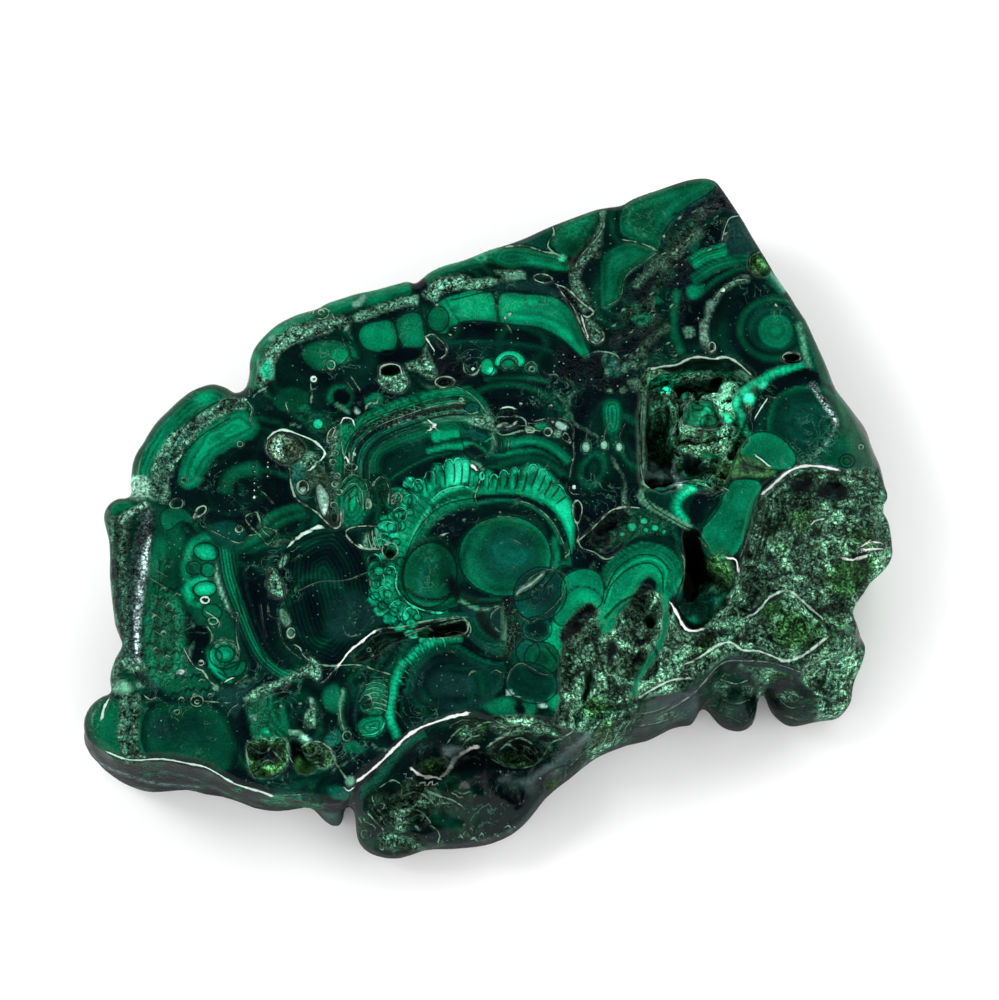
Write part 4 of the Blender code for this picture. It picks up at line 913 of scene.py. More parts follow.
    vein([(426, 338), (430, 344), (434, 350)], 1.6, "frost")
    blob([(434, 340), (440, 343), (443, 349), (437, 346)], "0:ink", soft=0.8)
    ring(445, 382, 10, 5.5, 1.9, "pale", "ink")
    ring(331, 365, 4, 4.4, 1.8, "pale", "leaf")
    ring(314, 379, 2.5, 2.5, 2.0, "frost", "mint")
    blob((290, 392, 3.4, 2.4, -35), "0:pale 1:frost", soft=0.8)
    ring(323, 370, 0.9, 0.9, 1.4, "pale")
    blob([(272, 398), (282, 388), (296, 386), (307, 391), (311, 400), (304, 411), (290, 414), (276, 409)],
         "0:deep 3:moss 9:moss", soft=2)
    blob([(256, 418), (264, 408), (280, 412), (292, 420), (284, 428), (266, 430)], "0:ink 3:ink", soft=3)
    blob((304, 408, 6, 3.5, -10), "0:moss 1:green", soft=1.5)
    vein([(286, 405), (288, 411)], 1.4, "pale")
    vein([(311, 386), (312, 394), (311, 402)], 2.2, "mint")
    vein([(316, 388), (310, 391)], 1.5, "pale")
    blob((340, 397, 15, 15), "0:pine 3:moss 5:leaf 7:moss 9:ink", soft=1.5)
    blob((342, 397, 9, 9), "0:ink", soft=1.5, speck=0.6)
    blob([(329, 405), (336, 402), (342, 408), (338, 411), (330, 410)], "0:ink", soft=0.8)
    belt([(336, 404), (344, 409), (348, 412)], "-2:leaf 0:mint 2:moss", soft=1)
    vein([(352, 378), (356, 384), (360, 390)], 1.0, "mint")
    vein([(346, 380), (350, 386), (353, 390)], 1.0, "dust")
    blob([(364, 402), (368, 396), (378, 392), (384, 398), (380, 406), (370, 408)], "0:moss 2:leaf", soft=1.5)
    vein([(366, 408), (370, 403), (376, 404), (378, 400)], 2.2, "pale")
    blob((357, 412, 2.4, 2), "0:pale 1:frost", soft=0.8)
    blob((318, 424, 13, 11), "0:pine 2:moss 4:pine 6:moss", soft=1.3)
    blob((318, 424, 5.5, 5.5), "0:leaf 2:vivid", soft=1, outline="1.2 deep")
    vein([(341, 423), (344, 418), (352, 419), (354, 424)], 1.8, "frost")
    blob([(340, 426), (348, 424), (356, 428), (350, 438), (342, 442), (338, 434)], "0:leaf 2:bright", soft=1.5)
    vein([(327, 438), (330, 430), (336, 427), (333, 434), (330, 441)], 1.6, "pale", closed=True)
    blob([(258, 404), (262, 398), (266, 404)], "0:deep", soft=1)

    # ------------------------------------------------ centre left: crystal column, pits and small nodules
    blob([(268, 432), (285, 428), (310, 434), (330, 430), (342, 440), (345, 470), (346, 510), (340, 528), (318, 520),
          (300, 505), (288, 490), (288, 468), (272, 460)], "0:deep 4:pine", soft=2, speck=0.8)
    blob([(266, 446), (272, 436), (284, 433), (296, 438), (304, 446), (303, 456), (290, 464), (276, 460)],
         "0:dust 3:cream 8:pale", grain=1.0, rough=0.45, soft=1.6, outline="1.4 deep")
    blob([(284, 440), (296, 438), (304, 448), (298, 460), (286, 456)], "0:olive 3:cream", grain=1.0, soft=3, rough=0.45)
    vein([(268, 440), (266, 450), (271, 458)], 1.4, "pale")
    vein([(268, 438), (275, 432), (285, 430), (300, 435), (312, 440), (320, 446), (325, 453), (321, 460)], 2.0, "frost")
    blob([(292, 466), (302, 460), (316, 458), (318, 466), (308, 474), (306, 490), (308, 500), (298, 498), (292, 484)],
         "0:moss 3:sea", soft=1.5, grain=0.6)
    blob([(300, 456), (312, 452), (320, 460), (312, 468), (302, 466)], "0:dust 2:mint", grain=1, soft=1.5)
    ring(303, 487, 5.5, 6.5, 1.8, "pale", "deep")
    blob((303, 490, 3, 3), "0:pale 1:frost", grain=0.6, soft=0.8)
    vein([(310, 470), (314, 466)], 2.2, "frost")
    vein([(290, 470), (291, 485), (296, 498), (305, 505), (316, 512), (326, 522), (333, 528), (340, 526), (341, 510)],
         2.0, "pale")
    blob([(306, 472), (318, 466), (326, 474), (332, 484), (326, 488), (316, 484), (308, 490)], "0:olive 2:soil", grain=0.8,
         soft=1.6, rough=0.4)
    blob([(316, 486), (320, 483), (326, 490), (330, 498), (328, 510), (324, 518), (319, 508), (316, 496)],
         "0:cream 2:ash 4:pale", soft=0.9, grain=0.25, rough=0.2, outline="1.5 deep")
    blob([(323, 503), (328, 504), (327, 513), (322, 514)], "0:pale 1:white", soft=0.8, grain=0.3)
    blob([(328, 508), (334, 505), (341, 509), (341, 520), (335, 527), (328, 521)], "0:ink", soft=0.8)
    belt([(333, 432), (334, 450), (336, 470), (337, 490), (336, 512)], "-7:deep -5:teal -1:dust 3:dust 6:deep", grain=0.95,
         wobble=1.6, fade=3)
    for x, y in ((330, 440), (335, 453), (333, 462), (337, 476), (335, 484), (339, 492), (334, 505)):
        ring(x, y, 3.4, 3.0, 1.3, "mint")
    vein([(341, 440), (343, 452), (345, 462), (346, 470)], 1.3, "mint")
    vein([(343, 453), (347, 459), (349, 462)], 2.6, "white")
    ring(354, 454, 1.3, 1.1, 1.6, "frost")
    ring(351, 467, 6, 3.6, 1.8, "pale", "ink")
    belt([(344, 440), (348, 432), (356, 426)], "-5:moss -1:bright 3:leaf", soft=1.5)
    blob([(342, 478), (348, 474), (360, 474), (372, 478), (374, 490), (370, 504), (360, 510), (348, 508), (343, 494)],
         "0:pine 4:deep", soft=1.5, speck=0.4)
    belt([(347, 506), (345, 494), (349, 483), (357, 477), (366, 477)], "-6:pine -4:moss 0:leaf 3:bright 6:moss", soft=1.2)
    ring(364, 485, 7, 6, 1.6, "leaf", "deep")
    vein([(372, 486), (375, 482)], 2.4, "pale")
    vein([(366, 506), (368, 498), (371, 504), (369, 509)], 1.8, "pale", closed=True)
    blob([(344, 512), (356, 508), (362, 516), (356, 528), (346, 526)], "0:pine 2:green", soft=1.5)
    belt([(372, 478), (378, 490), (379, 506), (376, 522)], "-3:deep 0:moss 3:deep", soft=1.2)
    blob((397, 499, 15, 12.5), "0:moss 2:leaf 5:moss 7:deep", soft=1.2, outline="1.4 deep")
    blob((397, 499, 8, 7), "0:teal 2:dust", grain=1.0, soft=1.4)
    vein([(393, 496), (398, 492), (402, 498), (399, 504), (393, 503)], 1.4, "pale")
    # below: pits, ribs and pale ovals at the edge of the great dark nodule
    blob([(347, 531), (355, 527), (368, 528), (380, 536), (382, 552), (368, 556), (357, 548), (350, 540)], "0:deep 2:pine",
         soft=1.5)
    blob([(348, 532), (356, 530), (360, 540), (357, 546), (350, 540)], "0:ink", soft=0.9)
    vein([(378, 526), (366, 526), (354, 527), (346, 531), (348, 538), (357, 546), (368, 549), (378, 549)], 1.9, "pale")
    blob([(360, 532), (366, 532), (368, 548), (362, 548)], "0:dust 2:mint", grain=0.9, soft=1.2)
    for x in (368, 372, 376, 380):
        vein([(x, 532), (x + 1, 540), (x + 4, 548)], 1.2, "mint")
    blob((389, 526, 12.5, 6.5), "0:leaf 2:vivid", soft=1, outline="1.5 deep")
    blob((393, 516, 6, 4.5), "0:leaf 1:bright", soft=1, outline="1.2 deep")
    ring(390, 550, 8, 7.5, 1.8, "pale", "ink")
    vein([(384, 545), (388, 543)], 2.6, "white")
    vein([(360, 545), (363, 548)], 2.0, "frost")
    blob((376, 571, 9.5, 10.5), "0:bright 2:leaf 4:moss", soft=1, outline="1.5 deep", grain=0.3)
    blob((388, 565, 8, 5.5, 12), "0:leaf 2:vivid", soft=1, outline="1.3 deep")
    blob((401, 562, 4.5, 5), "0:leaf 1.5:bright", soft=0.8, outline="1.3 deep")
    blob([(352, 552), (362, 550), (368, 556), (366, 572), (358, 572), (353, 562)], "0:pine 2:moss", soft=2, speck=0.8)

    # the great dark nodule left of centre
    blob([(283, 560), (288, 546), (300, 536), (318, 528), (340, 528), (356, 546), (366, 566), (370, 590), (384, 606),
          (400, 616), (396, 626), (378, 628), (352, 648), (338, 664), (320, 660), (304, 652), (294, 632), (288, 610),
          (282, 585)], "0:ink 5:navy 16:pine 24:navy 34:pine 44:teal", soft=1.6, period=4.2, amp=0.35, speck=0.5,
         outline="1.4 ink")
    blob([(330, 600), (350, 590), (372, 600), (392, 616), (372, 630), (346, 642), (326, 632)], "0:teal 5:slate", soft=6,
         speck=0.9)
    for pts, w in (([(289, 546), (293, 542)], 3.2), ([(297, 539), (303, 534), (310, 531)], 4.0),
                   ([(312, 529), (317, 527), (322, 527)], 3.2)):
        vein(pts, w, "frost")
    vein([(300, 590), (310, 585), (322, 581), (336, 581), (350, 579), (360, 575), (368, 572)], 0.9, "dust")
    vein([(343, 628), (348, 636), (358, 635)], 1.0, "dust")
    vein([(293, 560), (299, 556)], 1.4, "dust")
    blob([(280, 560), (284, 554), (288, 556), (286, 564), (282, 568), (278, 568)], "0:dust 1.5:mint", soft=0.8,
         outline="1.2 ink", grain=0.5)
    blob([(267, 568), (272, 566), (276, 572), (283, 582), (286, 592), (281, 599), (272, 594), (266, 586), (268, 577)],
         "0:dust 2:mint", soft=1, outline="1.6 ink", grain=1.0, rough=0.3)
    blob([(279, 609), (284, 608), (289, 615), (291, 622), (287, 627), (281, 622), (279, 616)], "0:mint 1.5:dust", soft=0.8,
         outline="1.4 ink", grain=0.5)
    ring(291, 633, 4, 5, 1.8, "pale", "dust")
    vein([(295, 645), (300, 648), (303, 655), (309, 660)], 1.6, "pale")

    # veins running together below it
    blob([(304, 653), (311, 656), (320, 664), (322, 672), (318, 682), (310, 676), (300, 678), (292, 678), (302, 671),
          (311, 664)], "0:dust 2:mint", grain=0.9, soft=1.2, rough=0.25, outline="1.4 deep")
    belt([(312, 668, 1), (300, 674, 0.9), (286, 681, 0.8), (270, 688, 1), (258, 693, 1.1), (247, 700, 0.9)],
         "-5:deep -3.5:dust 0:mint 3:dust 4.5:deep", grain=1.0, wobble=0.8, rough=0.25)
    vein([(318, 664), (330, 666), (345, 665), (360, 665), (375, 670), (389, 674)], 1.8, "mint")
    vein([(318, 684), (326, 680), (332, 672), (338, 667)], 1.5, "mint")
    belt([(320, 688), (330, 678), (342, 668)], "-3:ink 1:ink 2:deep", soft=1)
    vein([(337, 667), (343, 660), (347, 654), (352, 649), (360, 643), (368, 636), (375, 631)], 2.6, "white")
    vein([(375, 631), (384, 628), (400, 627), (420, 623), (440, 619), (458, 618)], 1.6, "mint")
    blob([(346, 660), (356, 650), (368, 640), (380, 632), (400, 630), (424, 628), (426, 638), (404, 642), (392, 652),
          (384, 666), (366, 662)], "0:ink 2:ink", soft=1.2, grain=0.35)
    vein([(405, 636), (413, 633), (425, 629)], 1.8, "pale")
    ring(369, 650, 2.4, 2, 1.2, "mint")
    ring(372, 655, 1.5, 1.2, 1.3, "pale")
    blob([(420, 622), (440, 620), (462, 620), (469, 626), (466, 634), (450, 637), (424, 636)], "0:ink 3:ink", soft=1)
    vein([(420, 622), (440, 619), (458, 617), (466, 620), (468, 630), (460, 635), (440, 638)], 2.2, "mint")
    vein([(422, 628), (430, 626)], 1.8, "pale")

    # lower left of centre
    blob([(258, 700), (272, 690), (292, 684), (318, 686), (338, 680), (350, 690), (346, 720), (338, 742), (316, 738),
          (292, 740), (270, 742), (250, 730), (246, 712)], "0:pine 5:deep", soft=2, speck=0.7)
    blob([(272, 692), (290, 684), (312, 686), (326, 694), (330, 715), (322, 738), (300, 738), (282, 728), (272, 710)],
         "0:navy 6:ink", soft=2, speck=0.4)
    belt([(268, 696), (269, 710), (274, 722), (284, 733)], "-5:leaf -2:moss 0:deep 2:leaf 4:moss 6:deep 8:moss", soft=1)
    blob([(280, 700), (284, 704), (288, 720), (292, 734), (286, 734), (280, 722)], "0:moss 2:green", soft=1.5)
    blob([(246, 708), (250, 700), (262, 698), (268, 708), (268, 722), (276, 734), (280, 740), (266, 744), (252, 736),
          (250, 724)], "0:moss 2:green", grain=0.5, soft=1.4)
    for x, y, r in ((254, 709, 6), (263, 703, 4), (255, 720, 4), (262, 715, 3.5), (258, 729, 4.5), (267, 733, 4.5),
                    (266, 724, 3)):
        ring(x, y, r, r * 0.9, 1.4, "leaf")
    blob((254, 717, 3, 2.5), "0:cream 1:frost", soft=1)
    blob((265, 731, 4, 3.4), "0:leaf 1.5:vivid", soft=1)
    blob([(309, 698), (313, 698), (315, 708), (316, 722), (312, 728), (306, 724), (305, 714), (310, 708)], "0:dust 2:mint",
         grain=0.9, soft=1, rough=0.25)
    vein([(310, 699), (312, 708)], 2.2, "pale")
    for x, y in ((281, 706), (300, 703), (303, 727), (295, 715), (322, 714)):
        ring(x, y, 1.2, 1.1, 1.4, "mint")
    belt([(291, 733), (298, 733), (303, 737), (309, 741)], "-3:deep -1:mint 1.5:pale 3:deep", grain=0.4)
    blob([(324, 690), (336, 684), (342, 694), (340, 712), (330, 712), (322, 702)], "0:moss 3:green", soft=2, speck=0.5)
    belt([(343, 690), (341, 702), (340, 714), (342, 726), (347, 732)], "-2:moss 0:mint 2:moss 5:deep", soft=1, grain=0.3)
    vein([(340, 708), (341, 720), (344, 730)], 1.6, "mint")
    ring(347, 736, 4.5, 5, 1.7, "mint", "pine")
    blob([(344, 750), (346, 742), (354, 741), (366, 750), (356, 754)], "0:sea 2:green", soft=1.2)
    blob([(326, 736), (336, 728), (344, 736), (338, 744), (328, 746)], "0:moss 2:sea", soft=1.5, grain=0.4)
    belt([(346, 684), (356, 688), (358, 700), (355, 716), (358, 728)], "-3:deep 0:slate 3:deep", soft=1.5)
    blob([(364, 690), (370, 681), (380, 678), (388, 686), (388, 700), (384, 714), (370, 716), (360, 710), (359, 698)],
         "0:moss 2:green 6:leaf", soft=1.2, outline="1.5 deep", grain=0.35)
    for k, y in enumerate((684, 689, 694, 699, 704, 709)):
        vein([(366 + (k % 2), y + 1), (374, y - 1.5), (382, y), (386, y + 2)], 1.2, "mint")
    blob([(360, 701), (364, 696), (371, 698), (371, 706), (364, 709)], "0:deep 2:pine", soft=1, outline="1.1 deep")
    vein([(360, 700), (365, 695), (371, 697), (372, 705)], 1.3, "mint")
    blob([(357, 727), (362, 719), (370, 716), (380, 715), (386, 720), (384, 730), (376, 737), (364, 737)],
         "0:bright 2:leaf 6:leaf", soft=1, outline="1.6 deep", period=4, amp=0.4)
    vein([(359, 729), (366, 727), (376, 728)], 1.0, "glow")
    vein([(364, 735), (374, 734), (382, 728), (385, 721)], 1.3, "glow")

    # olive pits near the lower edge
    blob([(247, 746), (256, 740), (272, 738), (286, 740), (289, 752), (286, 764), (276, 774), (262, 777), (250, 770)],
         "0:dust 3:olive 7:soil", grain=1.0, rough=0.55, soft=1.4)
    blob([(262, 748), (272, 744), (278, 756), (268, 762)], "0:brown 2:ink", soft=2.5)
    blob([(252, 764), (272, 766), (282, 758), (284, 768), (266, 777), (254, 774)], "0:olive 2:lime", grain=0.9, soft=2,
         rough=0.5)
    vein([(246, 748), (248, 762), (250, 770), (254, 777)], 1.8, "mint")
    vein([(248, 742), (256, 744), (262, 748)], 1.2, "mint")
    vein([(284, 738), (287, 748), (290, 758), (294, 764)], 1.6, "mint")
    blob([(291, 740), (300, 741), (306, 750), (314, 760), (318, 766), (310, 774), (300, 772), (294, 762), (290, 750)],
         "0:brown 2:ink", soft=1.2)
    blob([(294, 766), (298, 756), (306, 762), (316, 766), (310, 774), (300, 773)], "0:olive 3:lime", soft=1.8, rough=0.35)
    blob([(302, 748), (312, 742), (326, 745), (334, 756), (334, 764), (322, 768), (310, 762)], "0:dust 2:soil 5:olive",
         grain=1.0, rough=0.4, soft=1.2)
    vein([(302, 747), (310, 742), (320, 742), (329, 748), (334, 758), (337, 765)], 1.9, "pale")
    ring(319, 750, 3.4, 4.2, 1.6, "pale")
    vein([(337, 765), (341, 771), (346, 778)], 2.4, "mint")
    blob((350, 781, 5, 5), "0:dust 2:mint", soft=1.2)
    # painted glint on the rim
    vein([(345, 789), (349, 791), (353, 788)], 2.0, "frost")
    blob([(258, 782), (280, 772), (300, 776), (320, 774), (336, 772), (344, 786), (320, 790), (280, 792), (262, 790)],
         "0:deep 4:navy", soft=3, speck=0.2)
    vein([(266, 780), (282, 773), (296, 775)], 1.2, "ink")
    vein([(287, 772), (287, 781), (294, 788)], 0.9, "slate")
    vein([(276, 788), (282, 783), (287, 781)], 0.9, "slate")
    blob([(326, 788), (340, 786), (352, 792), (348, 800), (334, 800)], "0:moss 3:sea", soft=3)
    blob([(364, 786), (372, 784), (378, 786), (372, 796), (360, 800)], "0:moss 2:sea", soft=2, grain=0.5)
    belt([(270, 799), (284, 797), (300, 798), (318, 800)], "-5:deep -2:moss 2:sea 5:pine", grain=0.7, soft=2)
    blob((276, 800, 8, 5), "0:leaf 2:bright", soft=3)
    blob((262, 805, 6, 4), "0:moss 2:green", soft=3)

    # ------------------------------------------------ upper middle
    blob([(424, 300), (430, 278), (450, 266), (500, 248), (556, 226), (600, 210), (618, 206), (612, 232), (590, 262),
          (596, 300), (600, 345), (590, 360), (560, 380), (500, 384), (450, 384), (428, 350)], "0:deep 6:navy", soft=1.6,
         speck=0.9)
    belt([(425, 277), (432, 272), (450, 265), (475, 257), (500, 250), (520, 250)], "-12:pine -8:moss -3:green 2:leaf 7:moss",
         soft=1.6, fade=4, amp=0.25, period=5, wobble=1)
    blob([(494, 262), (498, 250), (510, 246), (530, 248), (548, 252), (560, 254), (572, 264), (570, 272), (548, 270),
          (524, 266), (510, 268)], "0:moss 3:green", soft=1.5, period=4, amp=0.25)
    belt([(530, 262), (545, 264), (560, 268), (569, 268)], "-3:moss 0:bright 3:green", soft=1.2)
    blob([(505, 247), (530, 236), (552, 227), (553, 240), (549, 251), (530, 247)], "0:slate 3:teal", soft=1.5, speck=0.4)
    blob([(555, 228), (580, 216), (600, 210), (596, 225), (588, 245), (575, 258), (560, 254), (552, 244)],
         "0:moss 4:green", soft=1.6, grain=0.25, period=7, amp=0.15)
    blob([(556, 244), (568, 238), (578, 244), (574, 254), (562, 254)], "0:green 2:moss", soft=3)
    vein([(505, 247), (515, 246), (526, 246), (536, 249), (545, 252), (554, 253), (560, 256)], 2.0, "mint")
    vein([(553, 228), (554, 234), (549, 241), (548, 247), (553, 252)], 2.0, "mint")
    blob((562, 258, 4.5, 3.6), "0:mint 1.5:glow", soft=1.2, grain=0.3)
    blob((481, 258, 5, 4), "0:mint 1:bright 3:green", soft=1)
    belt([(430, 297, 1.1), (436, 288, 1.1), (448, 284, 1), (462, 282, 0.9), (476, 284, 0.9), (488, 282, 0.8),
          (498, 278, 0.9), (510, 275, 0.8), (524, 275, 0.7)], "-8:deep -6:dust -1:mint 3:mint 6:dust 8:ink", grain=1.0,
         wobble=1.6)
    blob([(468, 276), (474, 272), (486, 272), (500, 274), (502, 280), (488, 278), (476, 280)], "0:ink", soft=1.2)
    blob([(505, 278), (512, 275), (522, 274), (523, 278), (512, 281)], "0:dust 2:mint", soft=1)
    blob([(524, 266), (540, 268), (556, 270), (570, 274), (574, 282), (560, 282), (550, 276), (536, 272), (526, 276)],
         "0:ink 2:ink", soft=1.2)
    blob([(533, 278), (538, 274), (547, 275), (553, 281), (545, 283), (537, 281)], "0:moss 1:ink", soft=0.8)
    vein([(533, 277), (539, 274), (547, 275), (553, 280), (546, 283), (537, 281)], 1.8, "pale", closed=True)
    blob([(496, 284), (510, 281), (530, 280), (552, 286), (564, 296), (556, 300), (540, 294), (516, 292), (496, 294)],
         "0:navy 3:slate", soft=2)
    # the bright cell band
    blob([(426, 324), (430, 310), (442, 299), (456, 294), (470, 290), (485, 291), (493, 294), (497, 306), (500, 294),
          (512, 292), (526, 294), (545, 294), (560, 300), (572, 310), (580, 326), (586, 344), (591, 356), (586, 362),
          (578, 354), (560, 338), (540, 328), (522, 326), (500, 323), (480, 321), (462, 322), (456, 326), (446, 334),
          (434, 332)], "0:moss 2:leaf 7:bright 12:leaf", soft=1.5, period=9, amp=0.2, outline="1.2 pine")
    blob([(459, 296), (468, 293), (484, 293), (492, 298), (494, 308), (490, 318), (474, 318), (462, 316), (458, 306)],
         "0:leaf 3:bright 7:bright", soft=2.5)
    blob([(501, 300), (508, 296), (520, 298), (524, 306), (516, 312), (504, 311)], "0:leaf 3:bright", soft=3)
    blob((438, 319, 11, 13), "0:moss 3:green 8:leaf", soft=1.5, outline="1.5 pine")
    belt([(445, 303), (450, 312), (457, 322)], "-4:leaf 0:bright 3:pine", soft=1.2)
    belt([(496, 296), (497, 308), (499, 322)], "-2.5:moss 0:pine 2.5:moss", soft=1.5)
    belt([(525, 298), (527, 308)], "-2:leaf 0:green 2:leaf", soft=1.5)
    belt([(540, 300), (556, 306), (568, 318), (577, 334), (583, 348)], "-5:leaf -1:green 1:leaf 5:leaf", soft=2.5)
    blob([(560, 326), (572, 334), (584, 352), (580, 356), (568, 342), (556, 332)], "0:green 2:bright", soft=2.5)
    vein([(505, 322), (508, 326), (511, 331)], 1.0, "mint")
    for x, y in ((437, 305), (455, 328), (450, 335), (505, 318), (510, 314)):
        ring(x, y, 1.2, 1.1, 1.4, "pale")
    belt([(446, 346), (470, 344), (500, 345), (530, 348), (556, 356), (576, 368)], "-4:navy 0:pine 3:teal 6:navy", soft=2.5,
         speck=0.9)
    belt([(450, 330), (475, 328), (505, 330), (530, 334), (556, 344), (580, 362)], "-5:ink 0:ink 4:navy", soft=2.5, speck=1.0)
    blob([(436, 360), (448, 350), (462, 352), (470, 366), (464, 384), (446, 384), (436, 374)], "0:navy 3:ink", soft=3,
         grain=0.3)
    # bubbles in a row
    blob((472, 368, 8, 6), "0:ink", soft=1.2)
    vein([(464, 362), (464, 370), (470, 375), (477, 373), (480, 366)], 1.5, "mint")
    ring(473, 369, 1.2, 1.1, 1.8, "frost")
    blob([(481, 362), (486, 358), (492, 360), (494, 368), (490, 375), (483, 374), (480, 370)], "0:moss 1:leaf 4:bright",
         soft=1, outline="1.4 deep")
    blob((491, 371, 4.5, 4.5), "0:leaf 2:glow", soft=1)
    blob([(494, 362), (499, 354), (509, 350), (520, 353), (526, 361), (520, 368), (512, 360), (504, 360), (497, 368)],
         "0:moss 1.5:bright 3:vivid", soft=1, outline="1.4 deep")
    blob((509, 363, 9, 7.5), "0:mint 1.5:moss 4:green", soft=0.9, outline="1.3 deep")
    blob((509, 363, 4.5, 3.6), "0:leaf 2:bright", soft=1)
    blob((531, 368, 7.5, 7.5), "0:leaf 2:moss 4:pine", soft=1, outline="1.3 deep", grain=0.4)
    vein([(527, 364), (531, 361), (536, 364)], 1.3, "mint")
    ring(532, 369, 3, 2.6, 1.2, "mint")
    vein([(545, 372), (550, 375), (556, 374), (559, 379)], 1.4, "dust")
    belt([(486, 380), (505, 379), (530, 378), (548, 382)], "-4:navy 0:moss 3:pine 5:ink", soft=1.6)
    # forked pale vein to the right of it
    belt([(606, 212, 1), (608, 224, 1.2), (602, 236, 1.1), (594, 246, 0.8), (584, 258, 0.7), (577, 268, 0.6)],
         "-7:deep -5:dust -1:mint 3:mint 6:dust 8:deep", grain=0.9, wobble=1.4, rough=0.2)
    vein([(600, 214), (604, 224), (600, 234), (592, 244), (584, 252), (577, 262), (576, 268)], 1.5, "mint")
    belt([(596, 256), (606, 250), (616, 244)], "-4:ink 0:dust 3:ink", grain=0.9, soft=1.4)
    belt([(577, 268), (575, 280), (582, 296), (588, 310)], "-7:deep -4:dust 0:mint 3:dust 6:deep", grain=0.9, wobble=1,
         fade=2)
    blob([(560, 290), (566, 290), (576, 304), (584, 318), (590, 336), (586, 338), (578, 322), (568, 306)], "0:ink",
         soft=0.9)
    vein([(557, 285), (564, 287), (572, 293), (579, 300), (586, 306), (594, 312), (588, 317), (584, 316)], 1.9, "pale")
    vein([(558, 287), (565, 297), (573, 307), (579, 320), (584, 332), (588, 340)], 1.9, "pale")
    vein([(582, 317), (584, 326), (588, 337)], 1.8, "white")
    blob([(586, 318), (594, 322), (602, 330), (605, 336), (600, 344), (592, 342), (588, 334), (584, 326)], "0:dust 2:mint",
         grain=1.0, soft=1.2, rough=0.25)
    vein([(590, 340), (597, 344), (604, 338), (603, 332)], 2.0, "pale")
    # speckled ground below it
    blob([(560, 345), (585, 358), (610, 350), (640, 356), (652, 372), (648, 400), (646, 440), (640, 400), (600, 392),
          (572, 384), (552, 372)], "0:navy 6:ink", soft=4, speck=1.6, grain=0.4)
    blob([(602, 360), (612, 356), (624, 364), (622, 376), (608, 376)], "0:teal 2:sea", grain=0.6, soft=2)
    vein([(584, 357), (594, 352), (606, 352), (616, 355), (620, 360)], 1.5, "mint")

    # ------------------------------------------------ centre: the striped shoulders
    blob([(340, 476), (341, 450), (350, 432), (368, 418), (392, 405), (424, 392), (452, 387), (470, 389), (484, 402),
          (492, 418), (500, 434), (540, 434), (562, 440), (572, 450), (575, 470), (572, 490), (560, 482), (520, 466),
          (480, 470), (450, 458), (430, 462), (404, 478), (378, 500), (366, 530), (362, 560), (350, 520)],
         "0:deep 4:pine", soft=2, speck=0.5)
    blob([(468, 400), (480, 388), (500, 384), (530, 386), (556, 400), (574, 424), (574, 440), (556, 430), (530, 426),
          (508, 430), (492, 424), (482, 408)], "0:ink 8:navy", soft=2, speck=0.9)
    belt([(468, 398), (484, 388), (504, 384), (526, 386), (548, 396), (562, 410)], "-6:ink -4:pine 0:moss 2:pine 5:ink",
         soft=2.2, speck=0.3)
    blob([(484, 400), (500, 398), (524, 402), (530, 414), (516, 420), (494, 416), (484, 408)], "0:ink", soft=3, speck=0.8)
    blob([(498, 414), (512, 410), (524, 414), (520, 424), (500, 426)], "0:pine 3:ink", soft=2.5)
    upper = [(341, 472), (342, 452), (348, 437), (361, 424), (379, 414), (401, 406), (425, 398), (448, 393), (466, 393),
             (478, 402), (487, 416)]
    belt(upper, "-44:deep -40:pine -36:moss -33:green -29:moss -26:pine -23:teal -20:moss -17:sea -15:deep -12:navy "
         "-9:green -8:leaf -7.5:pine -5:deep -3:pine 0:leaf 1.5:moss 2.6:bright 4:deep 5:leaf 7:moss", soft=1, period=3.4,
         amp=0.22, fade=1, wobble=0.7)
    belt([(424, 398), (436, 395), (449, 393), (461, 393), (469, 396)],
         "-15:pine -14:leaf -13:green -11:bright -9:leaf -6:leaf -5:pine -3.5:deep -2.4:bright -0.6:leaf 0.2:deep "
         "1.2:bright 3.2:bright 4.4:moss 6:deep", soft=1, fade=5, period=2.1, amp=0.2)
    belt([(466, 392), (476, 398), (484, 408), (489, 416)], "-16:moss -12:green -6:moss -2:leaf 2:green 4:pine", soft=1.4,
         period=3.6, amp=0.25, fade=3)
    vein([(441, 388), (452, 386), (466, 391), (478, 401), (486, 412)], 1.0, "mint")
    belt([(384, 425), (404, 418), (424, 413), (446, 409), (462, 408)], "-5:deep -3:mint -2:pine 3:pine 4:deep",
         grain=0.9, cell=4.2, camp=0.8, wobble=0.8)
    ring(461, 400, 2.4, 2, 1.3, "mint")
    blob((472, 408, 8, 6), "0:moss 2:sea", soft=1, outline="1.2 pine")
    vein([(464, 410), (470, 414), (478, 412)], 1.2, "mint")
    belt([(424, 424), (440, 421), (456, 419), (468, 420), (478, 419)], "-3:moss -1:leaf 1:mint 3:moss", soft=1)
    vein([(428, 420), (434, 425), (431, 429), (436, 424)], 2.2, "frost")
    ring(434, 425, 1.6, 1.6, 2.0, "white")
    blob([(468, 422), (476, 416), (484, 416), (488, 412), (493, 419), (494, 426), (500, 434), (492, 430), (480, 427)],
         "0:dust 1.5:mint", grain=0.9, soft=1, rough=0.25)
    vein([(484, 414), (490, 418), (492, 426), (496, 430), (501, 435), (510, 434), (520, 431), (531, 430), (540, 431)],
         1.9, "mint")
    for x, y, w in ((492, 407, 1.6), (521, 404, 2.6), (527, 403, 1.4), (535, 403, 1.2), (551, 405, 1.6), (504, 417, 1.2),
                    (524, 420, 2), (540, 420, 1.4), (553, 422, 1.4), (572, 460, 1.2), (561, 468, 1.2)):
        ring(x, y, 0.8, 0.7, w, "pale")
    vein([(502, 408), (508, 407), (514, 408)], 2.8, "frost")
